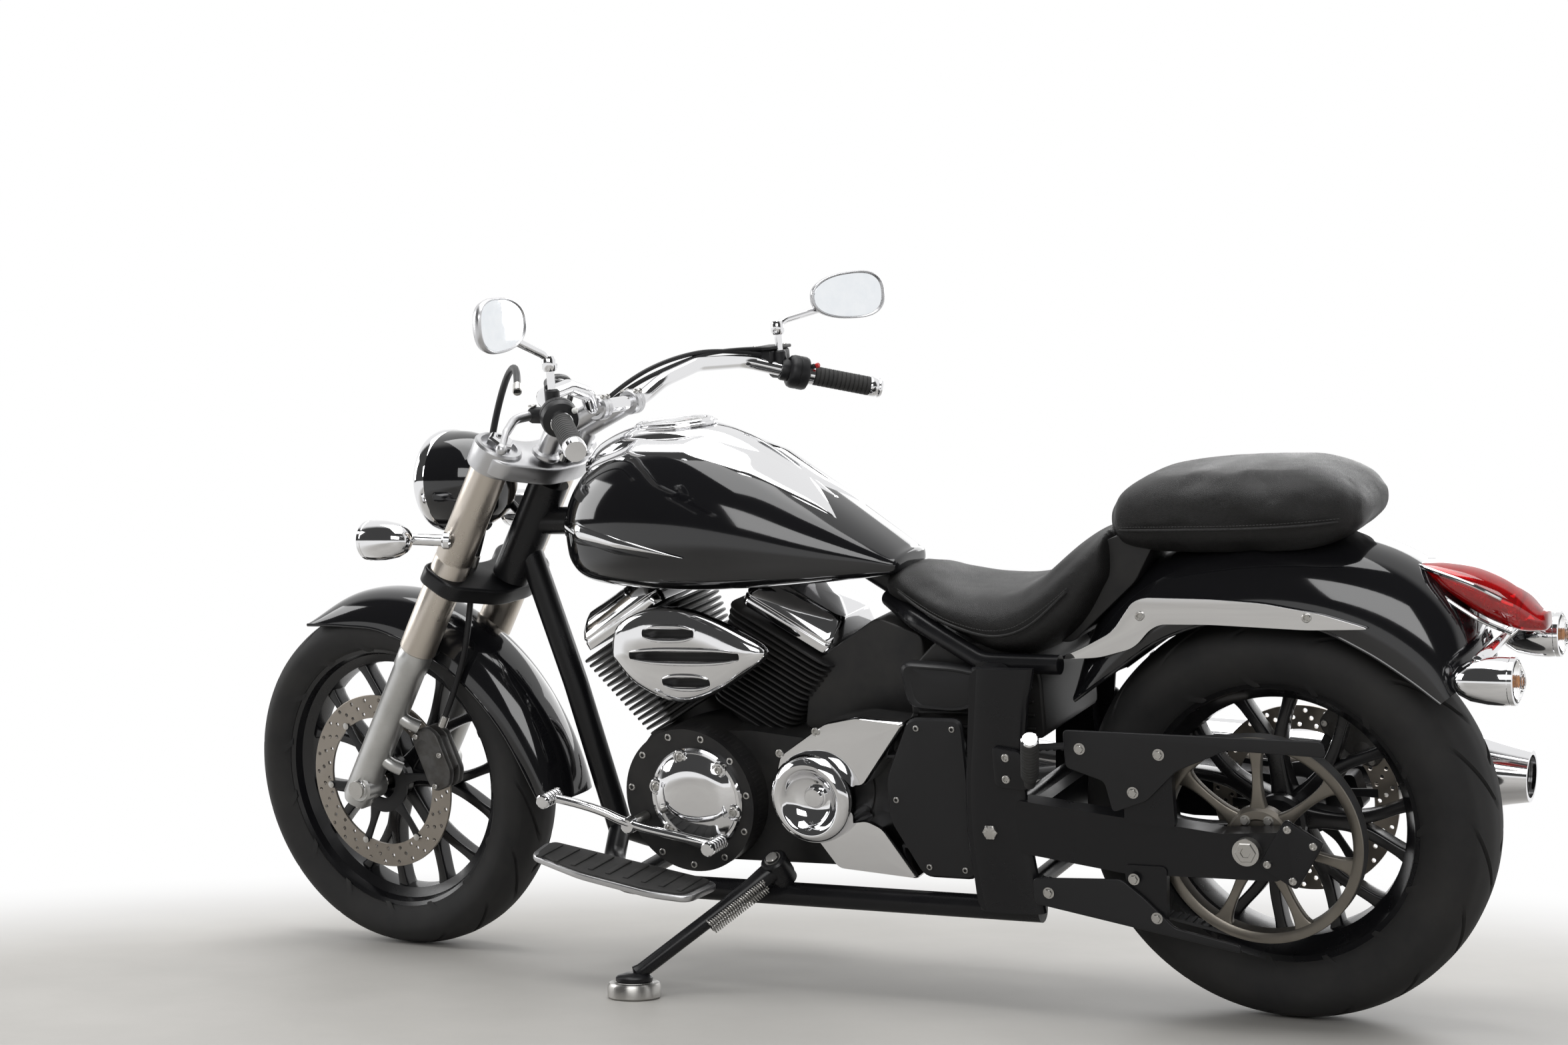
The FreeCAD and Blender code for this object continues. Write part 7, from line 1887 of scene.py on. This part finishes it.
class CRUISER_OT_belt(bpy.types.Operator):
    """The toothed drive belt over both pulleys"""
    bl_idname = "cruiser.belt"
    bl_label = "Drive belt"

    def execute(self, context):
        big, small = (0, 322, 156.6), (726, 367, 53.5)
        gap = Vector((small[0] - big[0], small[1] - big[1]))
        lean, spread_angle = atan2(gap.y, gap.x), acos((big[2] - small[2]) / gap.length)
        line = []
        for (x, z, radius), start, end in ((big, lean + spread_angle, lean + 2 * pi - spread_angle),
                                           (small, lean - spread_angle, lean + spread_angle)):
            for a in (start + (end - start) * k / 32 for k in range(33)):
                line.append((x + radius * cos(a), z + radius * sin(a), cos(a), sin(a)))
        line.append(line[0])
        section = [(2.4, 129.6), (2.5, 154.4), (1.9, 155), (-1.6, 155), (-2.4, 154.2), (-2.4, 129.8), (-1.6, 129),
                   (1.9, 129)]
        rings = [[Vector((x + ox * r, y, z + oz * r)) for r, y in section] for x, z, ox, oz in line]
        spans = [(Vector(b[:2]) - Vector(a[:2])).length for a, b in zip(line, line[1:])]
        teeth, walked, target = [], 0.0, 0.0
        for a, b, span in zip(line, line[1:], spans):
            while target < walked + span and span > 1e-6:
                t = (target - walked) / span
                x, z, ox, oz = (a[k] * (1 - t) + b[k] * t for k in range(4))
                if abs(x - 363) < 330:
                    teeth.append(((x - ox * 2.2, 142, z - oz * 2.2), (-ox, 0, -oz), (0, 1, 0)))
                target += sum(spans) / 168
            walked += span
        tooth = box_piece("tooth", (-12, -2.4, -0.4), (12, 2.4, 2.4), None, None, 0.8, 1)
        assembled("drive_belt_set", [new_piece("belt_band", skin(rings, caps=False), BIKE, "belt"),
                                     copies_at("belt_teeth", tooth, teeth, BIKE, "belt")],
                  "chassis", "belt_rubber", "drive_belt")
        return {"FINISHED"}


class CRUISER_OT_battery_box(bpy.types.Operator):
    """Ribbed black box that fills the frame between the engine and the rear wheel, and the seat's base"""
    bl_idname = "cruiser.battery_box"
    bl_label = "Battery box"

    def execute(self, context):
        parts = []
        for outline, half, edge, corner, arcs in (
                ([(575, 455), (575, 560), (520, 612), (372, 604), (346, 560), (346, 455)], 112, 5, 16, 4),
                ([(790, 450), (770, 560), (640, 640), (560, 612), (560, 450)], 78, 5, 14, 4),
                ([(345, 606), (300, 690), (262, 752), (215, 772), (150, 768), (190, 700), (300, 604)], 84, 4, 10, 3)):
            parts.append(plate("box", outline, -half, 2 * half, BIKE, "engine", edge, "Y", 3, corner, arcs))
        for low in range(470, 559, 22):
            parts.append(box_piece("box_rib", (360, -116, low), (560, 116, low + 5), BIKE, "engine", 1.5))
        assembled("battery_box_set", parts, "chassis", "satin_black")
        return {"FINISHED"}


# Feet

class CRUISER_OT_floorboards(bpy.types.Operator):
    """Floorboards with their ribbed pads, bright rims and brackets"""
    bl_idname = "cruiser.floorboards"
    bl_label = "Floorboards"

    def execute(self, context):
        outline = [(1245, 200), (1235, 270), (1120, 300), (980, 306), (915, 290), (905, 205)]
        tilted = moved(BIKE, (1080, 0, 245), -9) @ Matrix.Translation((-1080, 0, -245))
        for side, word in SIDES:
            line = [Vector((x, side * y)) for x, y in outline]
            middle = Vector((1080, side * 250))
            parts = [plate("board", line, 236, 11, tilted, "silver", 3, "Z", 3, 20),
                     plate("board_pad", [middle + (p - middle) * 0.93 for p in line], 243, 8, tilted, "rubber", 2,
                           "Z", 3, 17)]
            near, far = sorted((side * 214, side * 284))
            for x in range(938, 1211, 34):
                parts.append(box_piece("pad_rib", (x - 5, near, 250), (x + 5, far, 253.4), tilted, "rubber", 1.4))
            arm = [(1080, side * 182, 205), (1080, side * 206, 214), (1080, side * 226, 236)]
            parts += [pipe("board_arm", arm, 12, BIKE, "enamel", 16),
                      rod("board_hinge", (1050, side * 222, 232), (1110, side * 222, 232), 9, BIKE, "steel", 2)]
            assembled("floorboard_" + word, parts, "chassis", "grip_rubber", "floorboards")
        return {"FINISHED"}


class CRUISER_OT_foot_controls(bpy.types.Operator):
    """Heel and toe shifter, brake pedal and their pads"""
    bl_idname = "cruiser.foot_controls"
    bl_label = "Foot controls"

    def execute(self, context):
        arm = [(1190, 250, 366), (1120, 236, 350), (1060, 222, 316), (960, 222, 300), (880, 250, 300)]
        pad = [(0, 0), (10, 0), (12, 2), (12, 7)]
        for low in (9, 17, 25, 33, 41):
            pad += [(10.6, low), (12, low + 2), (12, low + 6 if low < 41 else 50)]
        pad += [(10, 52), (0, 53)]
        link = [(1206, -262, 334), (1130, -258, 288), (1070, -256, 262)]
        turn = moved(BIKE, (1206, -262, 338), -30)
        parts = [cable("shifter_arm", arm, 7.6, BIKE, "chrome"), cable("pedal_arm", link, 8, BIKE, "chrome"),
                 rod("shifter_spindle", (1060, 167, 316), (1060, 226, 316), 9, BIKE, "steel", 2),
                 rod("shifter_collar", (1060, 212, 316), (1060, 231, 316), 14, BIKE, "chrome", 3, 32),
                 box_piece("pedal_pad", (-35, -30, -4), (35, 14, 5), turn, "rubber", 3)]
        for x, z in ((1190, 366), (880, 300)):
            parts.append(spun("shifter_pad", (x, 229, z), (x, 282, z), pad, BIKE, "chrome", 36))
        for x in range(-28, 21, 12):
            parts.append(box_piece("pedal_rib", (x, -27, 4), (x + 6, 11, 8), turn, "rubber", 1.4))
        assembled("foot_control_set", parts, "chassis", "chrome", "foot_controls")
        return {"FINISHED"}


class CRUISER_OT_pegs(bpy.types.Operator):
    """Passenger pegs on their brackets"""
    bl_idname = "cruiser.pegs"
    bl_label = "Passenger pegs"

    def execute(self, context):
        bracket = [(395, 470), (395, 405), (340, 400), (330, 430), (350, 462)]
        for side, word in SIDES:
            start, end = Vector((338, side * 206, 410)), Vector((300, side * 278, 500))
            far, way = (end - start).length, (end - start).normalized()
            peg = [(0, 0), (9, 0), (9, 18), (13, 22), (14, 26)]
            for low in range(26, int(far - 12) + 1, 8):
                peg += [(14, low + 1), (14, low + 6), (12.4, low + 7), (12.4, low + 8)]
            peg += [(14, far - 6), (12, far - 1), (0, far)]
            spots = [((x, side * 211, z), (0, side, 0)) for x, z in ((372, 452), (374, 418))]
            assembled("passenger_peg_" + word, [
                plate("peg_bracket", bracket, 201 if side > 0 else -211, 10, BIKE, "enamel", 2.5, corner=10, arcs=4),
                spun("peg", start, end, peg, BIKE, "rubber", 40),
                rod("peg_cap", end - way * 3, end + way * 3, 13.4, BIKE, "chrome", 2, 40),
                screws("peg_screws", spots, BIKE, "steel", 6.5, 4)], "chassis", "chrome", "passenger_pegs")
        return {"FINISHED"}


class CRUISER_OT_side_stand(bpy.types.Operator):
    """The side stand with its coil springs, knuckle and the polished puck under its foot"""
    bl_idname = "cruiser.side_stand"
    bl_label = "Side stand"

    def execute(self, context):
        world = Matrix.Scale(MM, 4)
        pivot, ankle = stand_pivot / MM, Vector((192.5, 160.3, 34))
        run, way = (ankle - pivot).length, (ankle - pivot).normalized()
        across = stand_axis.cross(way).normalized()
        leg = [(0, -6), (17, -4), (19, 6), (17, 30), (14, 60), (12.6, 120), (12.6, run - 16), (15, run - 6), (0, run)]
        foot = [(0, 26), (28, 26), (30, 28), (30, 33), (27, 36), (14, 40), (0, 40)]
        puck = [(0, 0), (40, 0), (43, 3), (43, 20), (40.5, 25), (36, 26), (32, 24.6), (30, 26), (0, 26)]
        knuckle = [(0, -20), (19, -20), (22, -17), (22, 17), (19, 20), (0, 20)]
        at_foot = moved(world, (ankle.x, ankle.y, 0))
        bolts = [(pivot + stand_axis * 19.5 * side, stand_axis * side) for side in (1, -1)]
        parts = [spun("stand_leg", pivot, ankle, leg, world, "enamel", 40),
                 turned_piece("stand_foot", foot, at_foot, "enamel", 48, "Z"),
                 turned_piece("puck", puck, at_foot, "steel", 80, "Z"),
                 spun("knuckle", pivot, pivot + stand_axis, knuckle, world, "enamel", 44),
                 screws("pivot_bolt", bolts, world, form=nut_form(11, 6, 14))]
        for offset in (-7.5, 7.5):
            start, end = (pivot + way * run * share + across * 21 + stand_axis * offset for share in (0.12, 0.5))
            parts.append(self.coil(start, end, 5, 1.25, 26, world))
            for point in (start, end):
                hook = [point, point - across * 10, point - across * 15]
                parts.append(tube("spring_hook", hook, 1.6, world, "steel", 10, 3))
        assembled("side_stand_set", parts, "side_stand", "frame_black", "side_stand")
        return {"FINISHED"}

    def coil(self, start, end, radius, wire, turns, place):
        """A wound spring between two points."""
        way = (end - start).normalized()
        side = way.orthogonal().normalized()
        other = way.cross(side)
        steps = 12
        line = [start + (end - start) * (k / (turns * steps)) + (side * cos(2 * pi * k / steps)
                                                                 + other * sin(2 * pi * k / steps)) * radius
                for k in range(turns * steps + 1)]
        return tube("spring", line, wire, place, "steel", 8, 1)


class CRUISER_PT_looks(bpy.types.Panel):
    """Lists the sizes, the colours and every step that makes the machine's looks"""
    bl_idname = "CRUISER_PT_looks"
    bl_label = "Cruiser motorcycle"
    bl_space_type = "VIEW_3D"
    bl_region_type = "UI"
    bl_category = "Cruiser"

    def draw(self, context):
        scene = context.scene
        for group, kind in ((scene.cruiser_sizes, CruiserSizes), (scene.cruiser_colours, CruiserColours)):
            box = self.layout.box()
            for name in kind.__annotations__:
                box.prop(group, name)
        column = self.layout.column(align=True)
        for step in steps:
            column.operator(step.bl_idname)


steps = (CRUISER_OT_finishes, CRUISER_OT_stage, CRUISER_OT_wheels, CRUISER_OT_pulley, CRUISER_OT_tank,
         CRUISER_OT_console, CRUISER_OT_seats, CRUISER_OT_fenders, CRUISER_OT_rear_lamps, CRUISER_OT_fork,
         CRUISER_OT_yokes, CRUISER_OT_uprights, CRUISER_OT_headlamp, CRUISER_OT_front_fender,
         CRUISER_OT_front_indicators, CRUISER_OT_handlebar, CRUISER_OT_grips, CRUISER_OT_hand_controls,
         CRUISER_OT_mirrors, CRUISER_OT_cables, CRUISER_OT_calipers, CRUISER_OT_crankcase, CRUISER_OT_cylinders,
         CRUISER_OT_rocker_covers, CRUISER_OT_generator_cover, CRUISER_OT_slotted_cover, CRUISER_OT_pulley_cover,
         CRUISER_OT_side_covers, CRUISER_OT_exhaust, CRUISER_OT_guards, CRUISER_OT_belt, CRUISER_OT_floorboards,
         CRUISER_OT_foot_controls, CRUISER_OT_pegs, CRUISER_OT_side_stand, CRUISER_OT_battery_box)
classes = (CruiserSizes, CruiserColours) + steps + (CRUISER_PT_looks,)


def register():
    for item in classes:
        bpy.utils.register_class(item)
    bpy.types.Scene.cruiser_sizes = bpy.props.PointerProperty(type=CruiserSizes)
    bpy.types.Scene.cruiser_colours = bpy.props.PointerProperty(type=CruiserColours)


def unregister():
    del bpy.types.Scene.cruiser_colours
    del bpy.types.Scene.cruiser_sizes
    for item in reversed(classes):
        bpy.utils.unregister_class(item)


def main():
    register()
    for step in steps:
        getattr(bpy.ops.cruiser, step.bl_idname.split(".")[1])()


if __name__ == "__main__":
    main()
